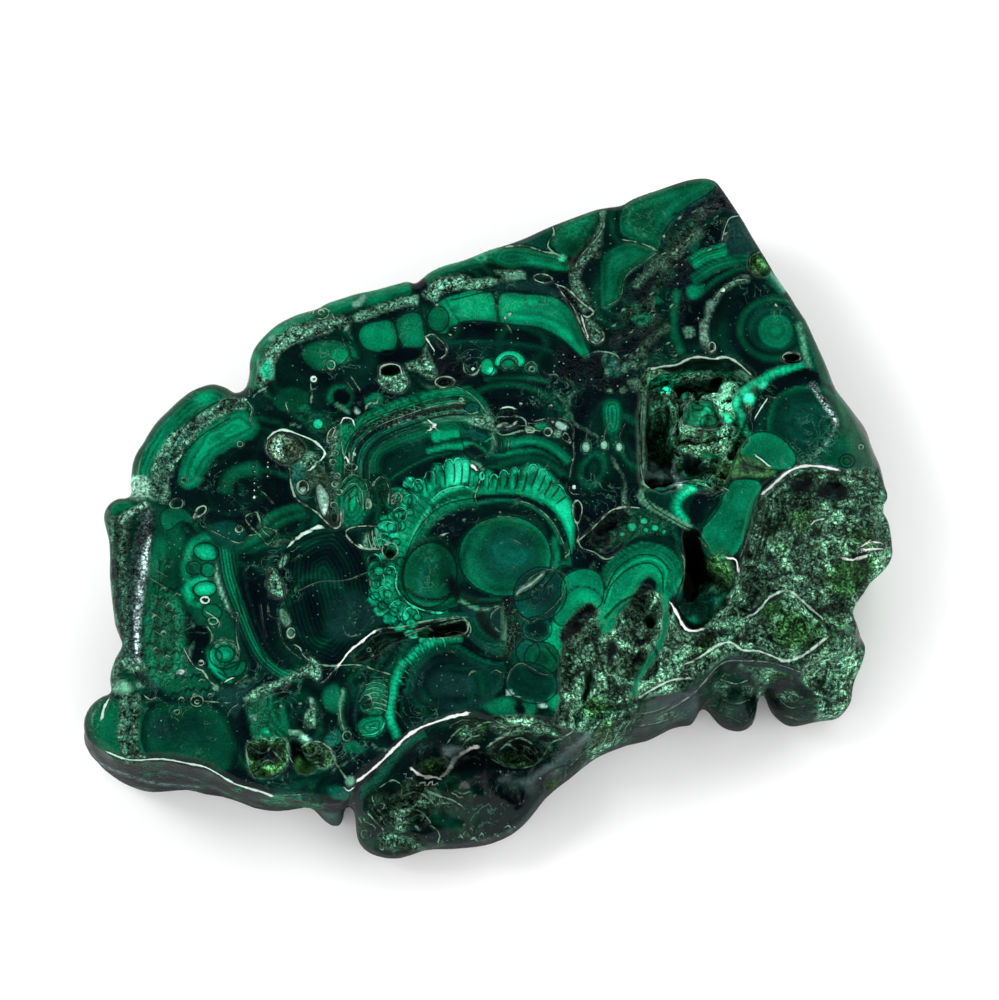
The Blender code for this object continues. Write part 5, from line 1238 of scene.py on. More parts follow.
    vein([(514, 416), (520, 417), (525, 420), (527, 428)], 2.2, "mint")
    vein([(498, 426), (504, 424), (510, 426), (516, 423)], 4.0, "pale")
    vein([(536, 421), (544, 419)], 1.6, "pale")
    ring(530, 430, 5, 2.6, 1.7, "pale")
    blob([(535, 424), (544, 422), (548, 428), (541, 431), (535, 429)], "0:moss 1:leaf", soft=0.9)
    ring(548, 432, 4, 4, 1.6, "pale", "pine")
    blob((558, 434, 4, 4), "0:dust 1.5:mint", grain=0.6, soft=0.9)
    vein([(562, 438), (566, 432), (571, 442), (566, 441)], 1.9, "pale", closed=True)
    blob([(556, 424), (560, 422), (567, 427), (564, 430), (558, 428)], "0:pale 1:frost", soft=0.8)
    blob([(564, 418), (570, 412), (573, 418), (570, 422)], "0:dust 2:moss", soft=1.2)
    vein([(556, 418), (563, 419), (569, 422), (573, 428), (573, 438)], 0.9, "dust")
    vein([(573, 444), (574, 456), (571, 468), (570, 476)], 1.0, "dust")
    # second set, over the toothed band
    blob([(432, 434), (440, 430), (458, 430), (459, 440), (446, 442), (434, 442)], "0:leaf 1.5:bright", soft=1.2)
    blob([(460, 432), (475, 431), (488, 438), (492, 444), (480, 440), (462, 440)], "0:sea 3:teal", soft=1.4, period=5,
         amp=0.15)
    belt([(428, 450), (440, 446), (455, 443), (468, 443), (480, 447), (488, 454)],
         "-9:deep -7:pine -5:deep -3.4:leaf -1:bright 1.4:moss 2.4:deep 3.6:pine 5:deep", soft=0.9, fade=3, wobble=0.4)
    belt([(432, 449), (446, 445), (462, 444)], "-5:leaf -1.5:bright 0:leaf 1.2:deep", soft=0.9, fade=2)
    vein([(460, 431), (462, 440), (464, 450), (463, 456)], 1.1, "deep")
    belt([(466, 450), (472, 447), (480, 451), (485, 456)], "-5:deep -3:navy 1:brown 3:deep", soft=1.4)
    vein([(468, 451), (474, 456), (482, 455)], 1.2, "moss")
    belt([(506, 444), (520, 442), (532, 441), (545, 444), (558, 452), (568, 462)],
         "-14:deep -12.5:pine -11:leaf -9.4:bright -8:green -6.6:deep -5.4:pine -4.4:deep -3:leaf 1:leaf 4:green 6:pine",
         soft=0.9, fade=2, period=6.0, amp=0.18)
    belt([(490, 455), (505, 456), (520, 453), (532, 451), (545, 455), (558, 464)],
         "-2:moss -0.6:leaf 0.8:leaf 2:moss", soft=0.9, fade=2)
    belt([(492, 434), (494, 444), (491, 453)], "-4:pine -2:moss 0:dust 2:moss 4:pine", soft=1.4)
    vein([(493, 436), (496, 446), (490, 455)], 1.0, "mint")
    vein([(509, 441), (508, 448)], 1.6, "mint")
    vein([(486, 441), (491, 438)], 2.4, "bright")
    belt([(500, 464), (520, 459), (540, 459), (556, 468), (568, 480)], "-8:deep -4:pine 0:moss 4:pine 6:deep", soft=2,
         fade=4)
    blob([(404, 484), (414, 472), (430, 462), (437, 462), (434, 474), (428, 484), (420, 486), (412, 492)],
         "0:navy 3:deep", soft=2)
    belt([(372, 500), (390, 480), (408, 468), (428, 458), (450, 453)], "-4:deep -2:pine 0:moss 2:pine 4:deep", soft=1.4,
         fade=4, period=3.2, amp=0.3)
    blob([(555, 480), (566, 476), (573, 486), (572, 498), (564, 496), (558, 488)], "0:ink", soft=1.5)

    # ------------------------------------------------ the toothed bright band round the eye
    blob([(392, 520), (398, 502), (408, 490), (420, 482), (430, 478), (436, 468), (448, 461), (470, 460), (480, 470),
          (496, 470), (512, 468), (528, 464), (544, 468), (556, 478), (566, 490), (572, 502), (574, 524), (572, 552),
          (569, 556), (564, 530), (550, 508), (530, 498), (500, 496), (470, 496), (442, 502), (424, 520), (412, 545),
          (404, 572), (400, 588), (388, 596), (376, 590), (374, 570), (382, 545)], "0:pine 2:moss", soft=1.4)
    teeth = [(437, 463, 434, 486, 9), (441, 472, 444, 488, 8), (449, 458, 447, 486, 8), (453, 462, 455, 484, 8),
             (460, 458, 460, 486, 9), (466, 460, 466, 486, 8), (472, 470, 471, 488, 8), (477, 474, 476, 488, 7),
             (489, 470, 487, 490, 9), (496, 478, 495, 492, 8), (505, 470, 503, 492, 7), (515, 467, 512, 492, 9),
             (522, 478, 521, 494, 7), (529, 464, 528, 494, 10), (541, 468, 535, 496, 11), (550, 476, 544, 498, 11),
             (559, 484, 552, 502, 11), (566, 498, 559, 508, 10), (430, 482, 430, 494, 8), (423, 478, 426, 496, 9),
             (414, 484, 421, 500, 9), (407, 492, 417, 508, 9), (403, 500, 413, 516, 9)]
    for x0, y0, x1, y1, w in teeth:
        belt([(x0 - 0.08 * (x1 - x0), y0 + 3), ((x0 + x1) / 2, (y0 + y1) / 2), (x1, y1)],
             f"{-w / 2}:pine {-w / 2 + 1.1}:leaf {-w / 2 + 2.6}:bright 0:vivid {w / 2 - 2.6}:bright {w / 2 - 1.1}:leaf "
             f"{w / 2}:pine", soft=0.7, fade=3.4)
    blob([(449, 462), (458, 459), (468, 461), (469, 478), (466, 486), (452, 486), (447, 474)], "0:vivid 4:glow", soft=3)
    blob([(524, 468), (536, 464), (548, 472), (556, 484), (552, 492), (536, 490), (526, 482)], "0:bright 3:vivid 8:bright",
         soft=3)
    blob([(534, 470), (538, 476), (534, 486), (527, 486), (523, 478)], "0:leaf 3:green", soft=2.4)
    belt([(430, 505), (438, 497), (452, 490), (467, 488), (476, 493)], "-3:deep -1.8:leaf 0:bright 2:glow 3.4:moss 5:leaf",
         soft=0.8, fade=1.5)
    vein([(433, 499), (442, 491), (455, 487), (467, 487), (475, 492)], 1.5, "glow")
    for x, y in ((452, 486), (465, 485), (441, 488)):
        blob((x, y, 3.2, 2), "0:moss 1:soil", soft=0.8)
    belt([(477, 493), (488, 492), (502, 494), (518, 495), (530, 498), (541, 503)], "-2.5:leaf 0:bright 4:bright 6:leaf",
         soft=1.4, fade=2)
    blob([(540, 492), (552, 486), (562, 492), (570, 500), (574, 512), (575, 530), (573, 548), (570, 554), (568, 540),
          (563, 524), (554, 511), (544, 503), (536, 499)], "0:leaf 2:bright 4:vivid", soft=1.1)
    blob([(546, 486), (556, 484), (562, 490), (566, 498), (556, 502), (544, 498)], "0:leaf 2:bright", soft=2)
    vein([(553, 486), (557, 484), (562, 487), (566, 494)], 1.4, "glow")
    blob((551, 483, 2.6, 2), "0:ink", soft=1)
    blob((497, 474, 5, 3.6), "0:ink", soft=1.1)
    blob((507, 476, 2.2, 5), "0:pine", soft=1)
    blob((516, 478, 1.6, 6), "0:moss", soft=1)
    belt([(484, 471), (492, 467), (502, 468), (508, 470)], "-2:pine 0:moss 2:pine", soft=1)
    ring(482, 476, 2.2, 4.2, 1.7, "glow", "pine")
    vein([(480, 480), (477, 490), (475, 497), (477, 503)], 1.8, "mint")
    blob([(469, 466), (474, 463), (478, 468), (474, 472)], "0:ink", soft=1)
    vein([(471, 465), (476, 469)], 2.6, "white")
    belt([(472, 463), (478, 464), (482, 469)], "-1.6:moss 0:mint 1.6:moss", soft=0.9)
    # its left limb and lower left cells
    limb = [(402, 500), (392, 520), (384, 542), (378, 566), (372, 588)]
    belt([(424, 500), (412, 516), (403, 536), (396, 556), (390, 576), (385, 592)],
         "-9:pine -7:moss -4:leaf 0:bright 3:leaf 6:bright 8:leaf 10:pine", soft=1.1, cell=6.4, camp=0.75, fade=4,
         wobble=1.0)
    for k, (x, y, r) in enumerate(((418, 488, 5), (407, 500, 5.5), (398, 514, 5.2), (392, 528, 5.4), (387, 542, 5.2),
                                   (383, 556, 5.2), (379, 571, 5.4), (376, 584, 4.8), (410, 512, 4.2), (402, 526, 4.4),
                                   (396, 542, 4.4), (391, 557, 4.4), (388, 571, 4.4))):
        blob((x, y, r, r * 0.86, 20 * (k % 5)), "0:leaf 1.6:bright 3.4:vivid", soft=1, outline="1.3 pine")
    belt([(428, 508), (418, 522), (410, 542), (405, 562), (400, 580), (402, 592)], "-2:moss 0:bright 1.6:glow 3:moss",
         soft=0.9, fade=3)
    foot = [(370, 590), (374, 601), (384, 611), (398, 617), (414, 619), (430, 620), (444, 620)]
    belt([(386, 588), (390, 598), (400, 607), (414, 612), (430, 614), (446, 615)],
         "-6:deep -4:green -2:leaf 1:bright 4:leaf 6:bright 8:leaf 10:pine", soft=1, cell=6.2, camp=0.7, fade=3, wobble=0.8)
    for k, (x, y, r) in enumerate(((375, 596, 4.8), (383, 606, 5), (394, 612, 5), (406, 616, 4.8), (418, 617, 4.4),
                                   (388, 594, 4.6), (398, 602, 4.2))):
        blob((x, y, r, r * 0.84, 30 * (k % 4)), "0:leaf 1.6:bright 3.2:vivid", soft=1, outline="1.3 pine")
    vein([(397, 574), (396, 586), (400, 594), (408, 603), (420, 609), (432, 612), (442, 613)], 2.0, "glow")

    # ------------------------------------------------ the eye: rings and disc
    blob([(402, 580), (406, 558), (414, 536), (426, 519), (442, 506), (462, 500), (490, 497), (520, 498), (542, 506),
          (556, 518), (566, 534), (570, 552), (572, 566), (560, 566), (548, 582), (530, 598), (500, 602), (460, 606),
          (430, 614), (410, 604)], "0:moss 2:green 4:moss 6:deep 9:ink 16:navy", soft=1.3, speck=0.9,
         outline="1.3 pine")
    belt([(410, 582), (412, 560), (420, 540), (430, 524), (446, 510), (466, 503), (478, 503)],
         "-8:navy -6:pine -3:moss 0:green 2:leaf 3.6:moss 5:leaf 7:bright", soft=1, fade=3, period=2.6, amp=0.15)
    belt([(476, 501), (496, 498), (516, 499), (532, 504), (546, 514), (556, 526), (563, 542)],
         "-6:navy -4.6:pine -2.6:leaf -1.2:sea 0.5:deep 3:ink 4.6:navy 5.4:leaf", soft=0.8, fade=3)
    vein([(516, 500), (530, 504), (544, 513), (555, 526), (562, 540), (565, 548)], 1.2, "mint")
    vein([(566, 546), (570, 552), (566, 556)], 1.2, "mint")
    blob([(420, 560), (428, 536), (440, 520), (458, 512), (474, 516), (462, 534), (456, 556), (460, 580), (452, 596),
          (436, 570)], "0:ink 6:navy", soft=3, speck=0.4)
    for x, y, w in ((438, 524, 2.6), (434, 534, 2), (456, 533, 1.8), (451, 526, 1.2), (460, 528, 1.2), (464, 520, 2.2),
                    (472, 520, 1.6), (461, 508, 1.8), (473, 509, 1.8), (487, 522, 1.4), (500, 512, 1.4), (517, 513, 1.6),
                    (530, 519, 2.2), (535, 515, 1.4), (543, 520, 1.8), (555, 520, 1.8), (552, 518, 1.3), (484, 499, 1.2),
                    (447, 543, 1.2), (566, 557, 1.4), (560, 563, 1.6), (553, 568, 1.4)):
        ring(x, y, 0.8, 0.6, w, "dust")
    vein([(440, 536), (446, 534)], 2.0, "pale")
    blob((505, 556, 46.5, 40.5), "0:green 1:leaf 6:moss 12:green 17:sea 24:teal 32:sea 40:teal", soft=1.3, period=15,
         amp=0.14, outline="1.3 deep")
    blob((510, 553, 34, 29, 20), "0:moss 8:teal 20:sea", soft=7, period=9, amp=0.1)
    blob([(462, 560), (470, 548), (476, 566), (488, 584), (500, 592), (484, 590), (468, 578)], "0:moss 4:green", soft=5)
    blob([(466, 542), (476, 528), (490, 524), (488, 536), (478, 552)], "0:moss 6:green", soft=5)
    vein([(482, 523), (494, 518), (504, 516), (516, 518)], 1.3, "dust")
    vein([(513, 539), (521, 544)], 1.2, "dust")
    vein([(536, 533), (532, 540), (530, 545)], 1.4, "sea")
    vein([(512, 566), (514, 567)], 1.2, "dust")
    belt([(552, 540), (555, 556), (552, 572), (543, 586)], "-1:leaf 1:green 3:leaf 5:moss", soft=1.4, fade=8)
    # second eye, lower left
    blob((430, 575, 32, 40, 10), "0:pine 2:moss 5:pine 8:ink 11:deep", soft=1.6, speck=0.3)
    blob((430, 575, 27, 33, 10), "0:moss 2:green 8:moss 16:green", soft=1.5, period=9, amp=0.15, outline="1.6 deep")
    blob((436, 580, 16, 20, 10), "0:sea 6:moss", soft=5, period=7, amp=0.12)
    belt([(404, 592), (414, 600), (430, 604), (446, 602), (456, 596)], "-5:pine -3:moss 0:leaf 2:moss 4:deep 6:brown",
         soft=1.2, fade=4)
    blob([(452, 574), (462, 590), (478, 598), (500, 602), (516, 598), (510, 606), (490, 606), (470, 606), (456, 600),
          (448, 588)], "0:slate 3:brown", soft=2.2, speck=0.6)
    # ------------------------------------------------ overlapping discs below the eye
    blob([(456, 600), (470, 604), (500, 606), (514, 600), (520, 630), (515, 650), (506, 660), (490, 652), (474, 644),
          (466, 628), (462, 614)], "0:deep 3:slate", soft=2, speck=0.5)
    blob([(500, 600), (514, 596), (520, 620), (524, 636), (514, 652), (506, 664), (500, 654), (502, 630)],
         "0:slate 3:brown", soft=1.8, speck=1.0, grain=0.3)
    belt([(460, 601), (469, 606), (479, 610)], "-1:dust -2.4:leaf 0:mint 2.4:leaf 3:deep", soft=0.8, fade=1.5)
    belt([(478, 610), (488, 609), (498, 606)], "-1.2:pine 0:mint 1.2:pine", soft=0.8, fade=1.5)
    vein([(479, 611), (488, 609), (498, 606)], 1.3, "mint")
    blob([(493, 612), (503, 607), (503, 622), (503, 632), (497, 630), (491, 620)], "0:moss 2:slate", soft=1.2,
         outline="1.4 dust")
    belt([(502, 606), (503, 616), (504, 628), (504, 640)], "-2.2:deep -1:dust 1:dust 2.2:deep", soft=0.9, fade=3)
    belt([(480, 614), (487, 628), (496, 638)], "-5:deep -2:brown 2:brown 4:deep", soft=1.6, fade=4)
    belt([(469, 618), (476, 632), (490, 643), (503, 648)], "-9:moss -6:slate -3:moss 0:pine 3:moss 6:slate", soft=1.6,
         period=5, amp=0.2, fade=5)
    blob((540, 594, 28, 26, -50), "0:sea 2:slate 8:teal 16:slate", soft=1.3, period=12, amp=0.1, outline="1.3 deep")
    blob([(516, 606), (520, 596), (530, 604), (540, 614), (534, 622), (524, 620)], "0:moss 3:sea", soft=4)
    vein([(524, 585), (533, 576), (546, 570), (558, 570), (566, 576)], 1.0, "dust")
    vein([(516, 613), (530, 622), (540, 617), (553, 607), (562, 596), (566, 584)], 1.2, "dust")
    belt([(517, 594, 0.7), (522, 589, 1.2), (530, 585, 1.1), (537, 579, 0.9), (544, 573, 0.5)], "-2.4:pine -1:pale 1:frost "
         "2.4:pine", soft=0.7, fade=1.5)
    vein([(517, 594), (522, 589), (530, 585), (537, 579), (544, 573)], 2.2, "pale")
    blob((537, 629, 15, 13), "0:sea 2:teal 7:deep", soft=1.2, outline="1.2 deep")
    blob((557, 630, 8, 9.5), "0:leaf 2:bright", soft=1.4)
    blob((528, 652, 12, 13), "0:moss 3:sea", soft=1.4, outline="1.2 deep")
    blob([(544, 640), (556, 634), (562, 642), (562, 654), (556, 658), (548, 650)], "0:leaf 2:bright", soft=1.3)
    blob((542, 659, 18, 17, 30), "0:green 2:moss 6:green 12:moss", soft=1.2, period=9, amp=0.12, outline="1.3 deep")
    vein([(546, 647), (552, 654), (557, 661)], 1.8, "ink")
    blob((531, 683, 27, 20, 16), "0:sea 2:teal 8:pine", soft=1.2, period=11, amp=0.1, outline="1.4 deep")
    vein([(507, 680), (511, 670), (520, 663), (530, 667), (542, 674), (552, 675)], 1.0, "dust")
    blob((555, 702, 8.5, 9), "0:moss 2:leaf 5:bright", soft=1.3)
    blob([(482, 706), (496, 698), (512, 698), (520, 708), (516, 718), (500, 718), (488, 712)], "0:moss 4:green", soft=2.2)
    blob((504, 706, 9, 8), "0:green 4:leaf", soft=3.5)
    blob([(522, 702), (532, 699), (538, 708), (532, 716), (524, 714)], "0:moss 3:green", soft=1.8)
    blob([(514, 706), (522, 703), (526, 712), (519, 716)], "0:deep 1:ink", soft=1.4)
    blob([(536, 704), (546, 702), (550, 712), (552, 720), (542, 717)], "0:ink", soft=1.4)
    blob([(507, 691), (511, 691), (514, 695), (508, 695)], "0:pale 1:frost", soft=0.8)
    blob([(538, 704), (546, 704), (547, 708), (540, 707)], "0:pale 1:frost", soft=0.8)
    vein([(514, 696), (520, 697)], 1.6, "mint")
    blob([(500, 664), (508, 662), (508, 676), (504, 692), (498, 690)], "0:deep 2:navy", soft=2, speck=0.5)

    # ------------------------------------------------ lower nodule with its toothed crown
    blob([(402, 690), (404, 672), (414, 656), (430, 645), (450, 641), (470, 650), (500, 660), (506, 672), (500, 690),
          (486, 702), (476, 712), (458, 716), (440, 722), (420, 728), (404, 738), (396, 728), (394, 706)],
         "0:moss 1.5:pine 4:slate 12:navy", soft=1.5, speck=0.6, period=0)
    blob([(415, 690), (420, 670), (440, 658), (466, 662), (490, 668), (500, 680), (488, 698), (462, 708), (430, 706)],
         "0:slate 8:navy 16:slate", soft=5, speck=0.5)
    belt([(404, 690), (410, 668), (424, 652), (440, 644), (456, 644), (470, 652), (484, 659), (502, 663)],
         "-9:slate -7:teal -5:pine -3:moss -1:sea 0:deep 1.6:ink 3:navy", soft=1, fade=4, period=3.0, amp=0.15)
    blob([(470, 676), (486, 670), (500, 676), (494, 690), (478, 694)], "0:teal 3:pine", soft=4)
    vein([(469, 675), (472, 671), (475, 671)], 2.4, "dust")
    vein([(492, 672), (496, 670), (500, 672)], 1.6, "mint")
    vein([(449, 650), (453, 652)], 1.2, "dust")
    ring(457, 682, 0.8, 0.8, 1.4, "dust")
    # toothed bright band from the slot down round the nodule
    crown = [(462, 638), (446, 640), (432, 644), (418, 651), (408, 662), (402, 676), (398, 692)]
    belt([(398, 692), (402, 676), (408, 662), (418, 651), (432, 644), (446, 640), (460, 638)],
         "-5:deep -3.6:green -1:bright 2:vivid 4:leaf 6:pine", soft=0.9, cell=4.4, camp=0.7, fade=4, wobble=0.8)
    for x0, y0, x1, y1 in ((420, 644, 424, 654), (427, 640, 429, 651), (434, 638, 437, 648), (442, 637, 445, 645),
                           (412, 650, 418, 658), (405, 658, 412, 665), (401, 668, 407, 673), (398, 680, 403, 684)):
        vein([(x0, y0), ((x0 + x1) / 2 + 0.5, (y0 + y1) / 2), (x1, y1)], 2.2, "vivid")
    blob((428, 644, 3.4, 3), "0:bright 1.5:glow", soft=1)
    belt([(391, 694), (389, 708), (390, 722), (396, 736)], "-5:pine -3:moss 0:leaf 2:moss 5:deep", soft=1.2, cell=5.0,
         camp=0.6, fade=4)
    belt([(403, 694), (400, 708), (401, 722), (406, 734)], "-3:deep -1:pine 1:moss 3:deep", soft=1.2, period=2.6,
         amp=0.3, fade=3)
    # slot between
    blob([(414, 630), (424, 626), (440, 623), (456, 620), (466, 622), (470, 629), (466, 636), (450, 637), (430, 638),
          (414, 638)], "0:ink 4:brown", grain=0.5, soft=1)
    vein([(440, 625), (452, 622), (464, 620), (469, 624), (471, 630), (468, 636)], 1.9, "mint")
    vein([(416, 630), (426, 628), (432, 630)], 2.4, "pale")
    vein([(440, 632), (446, 634), (454, 631), (462, 633)], 1.2, "dust")
    belt([(420, 620), (436, 618), (452, 616), (466, 617)], "-2:deep 0:leaf 2:sea 4:pine", soft=1, fade=3)
    vein([(418, 622), (432, 620), (441, 621), (452, 618), (466, 617)], 1.7, "mint")

    # ------------------------------------------------ top right corner
    blob([(606, 208), (640, 196), (680, 183), (704, 178), (722, 184), (745, 220), (768, 262), (800, 312), (822, 356),
          (842, 396), (820, 384), (790, 372), (762, 380), (745, 366), (700, 356), (655, 368), (646, 400), (640, 388),
          (610, 350), (600, 306)], "0:pine 5:deep 14:navy", soft=2, speck=0.8)
    blob([(616, 300), (640, 278), (670, 256), (690, 262), (700, 300), (684, 350), (660, 362), (640, 380), (612, 352)],
         "0:deep 6:navy", soft=4, speck=1.5, grain=0.35)
    blob([(622, 208), (640, 197), (680, 183), (704, 178), (718, 182), (708, 194), (694, 202), (676, 216), (664, 232),
          (659, 250), (648, 246), (632, 240), (620, 232)], "0:green 3:moss 8:green 16:moss", soft=1.4, period=9, amp=0.1,
         outline="1.2 pine")
    blob([(602, 262), (612, 250), (628, 243), (644, 246), (656, 252), (640, 266), (626, 276), (620, 292), (616, 302),
          (602, 308)], "0:green 3:moss 10:green", soft=1.4, period=8, amp=0.12)
    vein([(624, 240), (636, 242), (646, 245), (656, 250)], 1.8, "mint")
    vein([(656, 253), (644, 262), (632, 270), (624, 280), (620, 298), (604, 307)], 1.3, "dust")
    belt([(700, 198), (684, 208), (670, 222), (662, 238)], "-3:moss 0:sea 2:moss 4:slate", soft=1.4, fade=3)
    blob([(700, 200), (714, 194), (724, 204), (716, 222), (702, 240), (694, 252), (678, 256), (664, 250), (666, 230),
          (682, 212)], "0:slate 5:navy", soft=2, speck=0.9, grain=0.3)
    belt([(724, 208), (712, 220), (702, 232), (692, 250)], "-5:slate -2:sea 1:moss 5:slate", soft=2, fade=5)
    blob([(722, 212), (740, 222), (756, 248), (748, 262), (724, 256), (720, 236)], "0:teal 5:slate", soft=2, speck=0.3)
    blob([(702, 230), (720, 226), (722, 244), (704, 248)], "0:navy 4:navy", soft=2, speck=0.8)
    belt([(693, 262), (706, 254), (724, 249)], "-8:moss -4:bright -1:leaf 2:moss 4:bright 6:moss", soft=1.2, fade=4,
         amp=0.3, period=3)
    belt([(694, 280), (712, 268), (730, 262), (748, 260)], "-7:deep -4:moss 0:green 3:moss 5:leaf", soft=1.4, fade=4,
         period=4, amp=0.2)
    belt([(703, 292), (718, 280), (734, 272), (748, 268)], "-4:deep -1:moss 2:green 4:deep", soft=1.3, fade=4)
    blob([(686, 288), (702, 284), (704, 294), (692, 300)], "0:sea 2:leaf", soft=2)
    vein([(722, 240), (725, 228), (730, 218), (738, 216)], 1.3, "pale")
    blob([(750, 256), (760, 252), (768, 266), (770, 274), (756, 276), (749, 268)], "0:olive 4:lime", soft=1.4, grain=0.8,
         rough=0.4)
    vein([(750, 266), (750, 258), (757, 253), (761, 252)], 1.6, "mint")
    blob([(734, 280), (744, 275), (751, 277), (746, 282), (736, 284)], "0:cream 2:pale", soft=1, grain=0.4)
    belt([(674, 292), (671, 310), (672, 334), (678, 352)], "-14:pine -11:navy -7:teal -4:deep 0:moss 3:green 6:moss 9:navy",
         soft=1.6, fade=5)
    blob([(688, 306), (700, 302), (700, 340), (690, 348), (682, 336)], "0:ink 3:ink", soft=2, speck=0.8)
    blob([(684, 328), (694, 328), (694, 336), (686, 338)], "0:dust 1:mint", soft=1, grain=0.6)
    for x, y, w in ((672, 346, 2.4), (650, 306, 1.6), (677, 250, 1.8), (664, 236, 2.2), (707, 242, 1.8), (776, 305, 1.8),
                    (698, 318, 1.8), (639, 352, 1.3), (609, 320, 1.5), (632, 366, 1.4)):
        ring(x, y, 0.9, 0.7, w, "pale")
    blob([(630, 318), (648, 312), (656, 322), (644, 328)], "0:sea 2:leaf", soft=1.5, grain=0.5)
    blob([(650, 294), (662, 300), (658, 304), (648, 300)], "0:leaf 2:bright", soft=1.2)
    # the ringed nodule near the edge
    blob([(716, 304), (728, 288), (748, 278), (770, 278), (786, 292), (800, 316), (804, 344), (794, 362), (770, 368),
          (744, 360), (724, 352), (712, 332)], "0:moss 3:deep 9:pine 16:deep", soft=1.5, speck=0.4)
    blob((774, 329, 46, 42), "0:deep 3:navy 7:deep 12:moss 17:deep 22:teal 27:pine", soft=1.8, speck=0.3)
    blob((776, 331, 17, 17), "0:green 2:leaf 8:green 14:leaf", soft=1.4, period=7, amp=0.15)
    belt([(748, 280), (734, 283), (722, 291), (713, 304), (707, 320), (705, 336), (708, 350)], "-3.4:deep -2:dust 0:mint "
         "2:dust 3.4:deep", grain=0.9, fade=2, wobble=0.8)
    vein([(747, 279), (735, 281), (723, 288), (714, 300)], 1.4, "mint")
    ring(723, 290, 2.2, 1.4, 2.2, "frost")
    blob([(706, 304), (712, 300), (715, 304), (709, 314), (706, 318)], "0:mint 1.4:pale", soft=0.9, grain=0.4)
    blob([(700, 324), (706, 320), (708, 334), (710, 346), (704, 346), (700, 340)], "0:mint 1.4:pale", soft=1, grain=0.6)
    ring(712, 347, 3.4, 5, 1.7, "pale", "deep")
    belt([(768, 274), (776, 284), (782, 292)], "-4:moss 0:sea 4:mint", soft=1.2, fade=3)
    belt([(799, 324), (803, 340), (806, 356), (812, 374)], "-5:deep -3:leaf 0:mint 2.6:leaf 5:pine", soft=1, fade=4,
         grain=0.35)
    blob([(804, 318), (812, 330), (824, 356), (834, 384), (822, 380), (812, 358)], "0:sea 2:moss", soft=1.5)
    # speckled cells under it, to the left of the hollow
    for k in range(26):
        a, b = float(hashed(k, 0, 0, 61)), float(hashed(k, 1, 0, 61))
        blob((602 + 44 * a, 352 + 44 * b, 2.5 + 2 * b, 2 + 2 * a, 40 * k), "0:moss 1:dust", soft=1, grain=0.8)

    # ------------------------------------------------ the open hollow and what shows in it
    blob([(640, 388), (654, 370), (700, 360), (745, 368), (752, 376), (756, 384), (748, 420), (748, 440), (735, 456),
          (728, 480), (712, 492), (690, 490), (646, 488), (640, 470)], "0:lime 3:moor 10:leaf 18:mint", soft=1.2, grain=1.1,
         rough=0.55)
    blob([(646, 396), (662, 392), (674, 400), (680, 430), (676, 470), (690, 482), (648, 486)], "0:ink 5:brown", soft=2,
         grain=0.6, rough=0.5)
    blob([(648, 462), (660, 466), (676, 480), (650, 485)], "0:grey 4:ash", soft=3, rough=0.5)
    blob([(664, 366), (690, 361), (724, 361), (744, 368), (724, 373), (700, 372), (676, 373), (662, 370)],
         "0:ink", soft=1)
    belt([(652, 369), (664, 366), (676, 365), (688, 359), (700, 357), (714, 359), (726, 357), (738, 363), (750, 374)],
         "-1.4:deep 0:pale 1.4:deep", soft=0.7, fade=1)
    vein([(652, 369), (664, 366), (676, 365), (688, 359), (700, 357), (714, 359), (726, 357), (738, 363), (750, 374)],
         2.0, "frost")
    blob([(650, 378), (668, 374), (680, 384), (670, 394), (654, 392)], "0:moor 2:vivid", soft=1.5, grain=1.0, rough=0.5)
    blob([(684, 378), (706, 374), (726, 380), (732, 390), (720, 398), (700, 396), (688, 388)], "0:moor 3:pale", soft=1.6,
         grain=1.0, rough=0.5)
    belt([(644, 396), (642, 420), (641, 445), (642, 470), (645, 486)], "-3.4:deep -1.6:mint 1.4:dust 4:deep", soft=0.9,
         fade=3, grain=0.5)
    vein([(643, 396), (641, 420), (640, 445), (641, 470), (645, 486)], 1.6, "pale")
    blob([(684, 404), (696, 400), (712, 402), (718, 412), (716, 424), (700, 427), (684, 424)], "0:leaf 2:green 6:leaf",
         soft=1.2, outline="1.4 deep", period=4, amp=0.3)
    blob((709, 423, 9, 8), "0:moss 2:leaf 4:pine 6:bright", soft=1, outline="1.2 deep")
    vein([(684, 426), (698, 428), (710, 430), (720, 427)], 2.0, "pale")
    vein([(674, 392), (680, 404), (679, 416), (672, 434)], 1.5, "mint")
    vein([(682, 406), (688, 400), (698, 398)], 1.5, "mint")
    blob([(722, 414), (730, 412), (734, 420), (728, 424)], "0:sea 1.5:glow", soft=1)
    vein([(714, 405), (720, 416), (724, 424), (732, 426)], 1.4, "mint")
    blob([(682, 432), (700, 430), (716, 436), (734, 444), (726, 460), (704, 456), (686, 448)], "0:lime 3:moor", soft=1.4,
         grain=1.0, rough=0.5)
    blob([(702, 450), (714, 455), (720, 460), (706, 458)], "0:leaf 2:bright", soft=1)
    blob([(684, 452), (704, 460), (708, 472), (690, 478), (680, 466)], "0:ink 3:deep", soft=2, grain=0.5, rough=0.4)
    blob([(714, 462), (726, 462), (730, 474), (722, 486), (714, 478)], "0:olive 3:lime", soft=1.5, grain=0.8, rough=0.5)
    vein([(726, 446), (734, 440), (738, 432)], 1.6, "mint")
    vein([(646, 486), (662, 482), (682, 481), (700, 480), (710, 484), (722, 490)], 1.9, "mint")
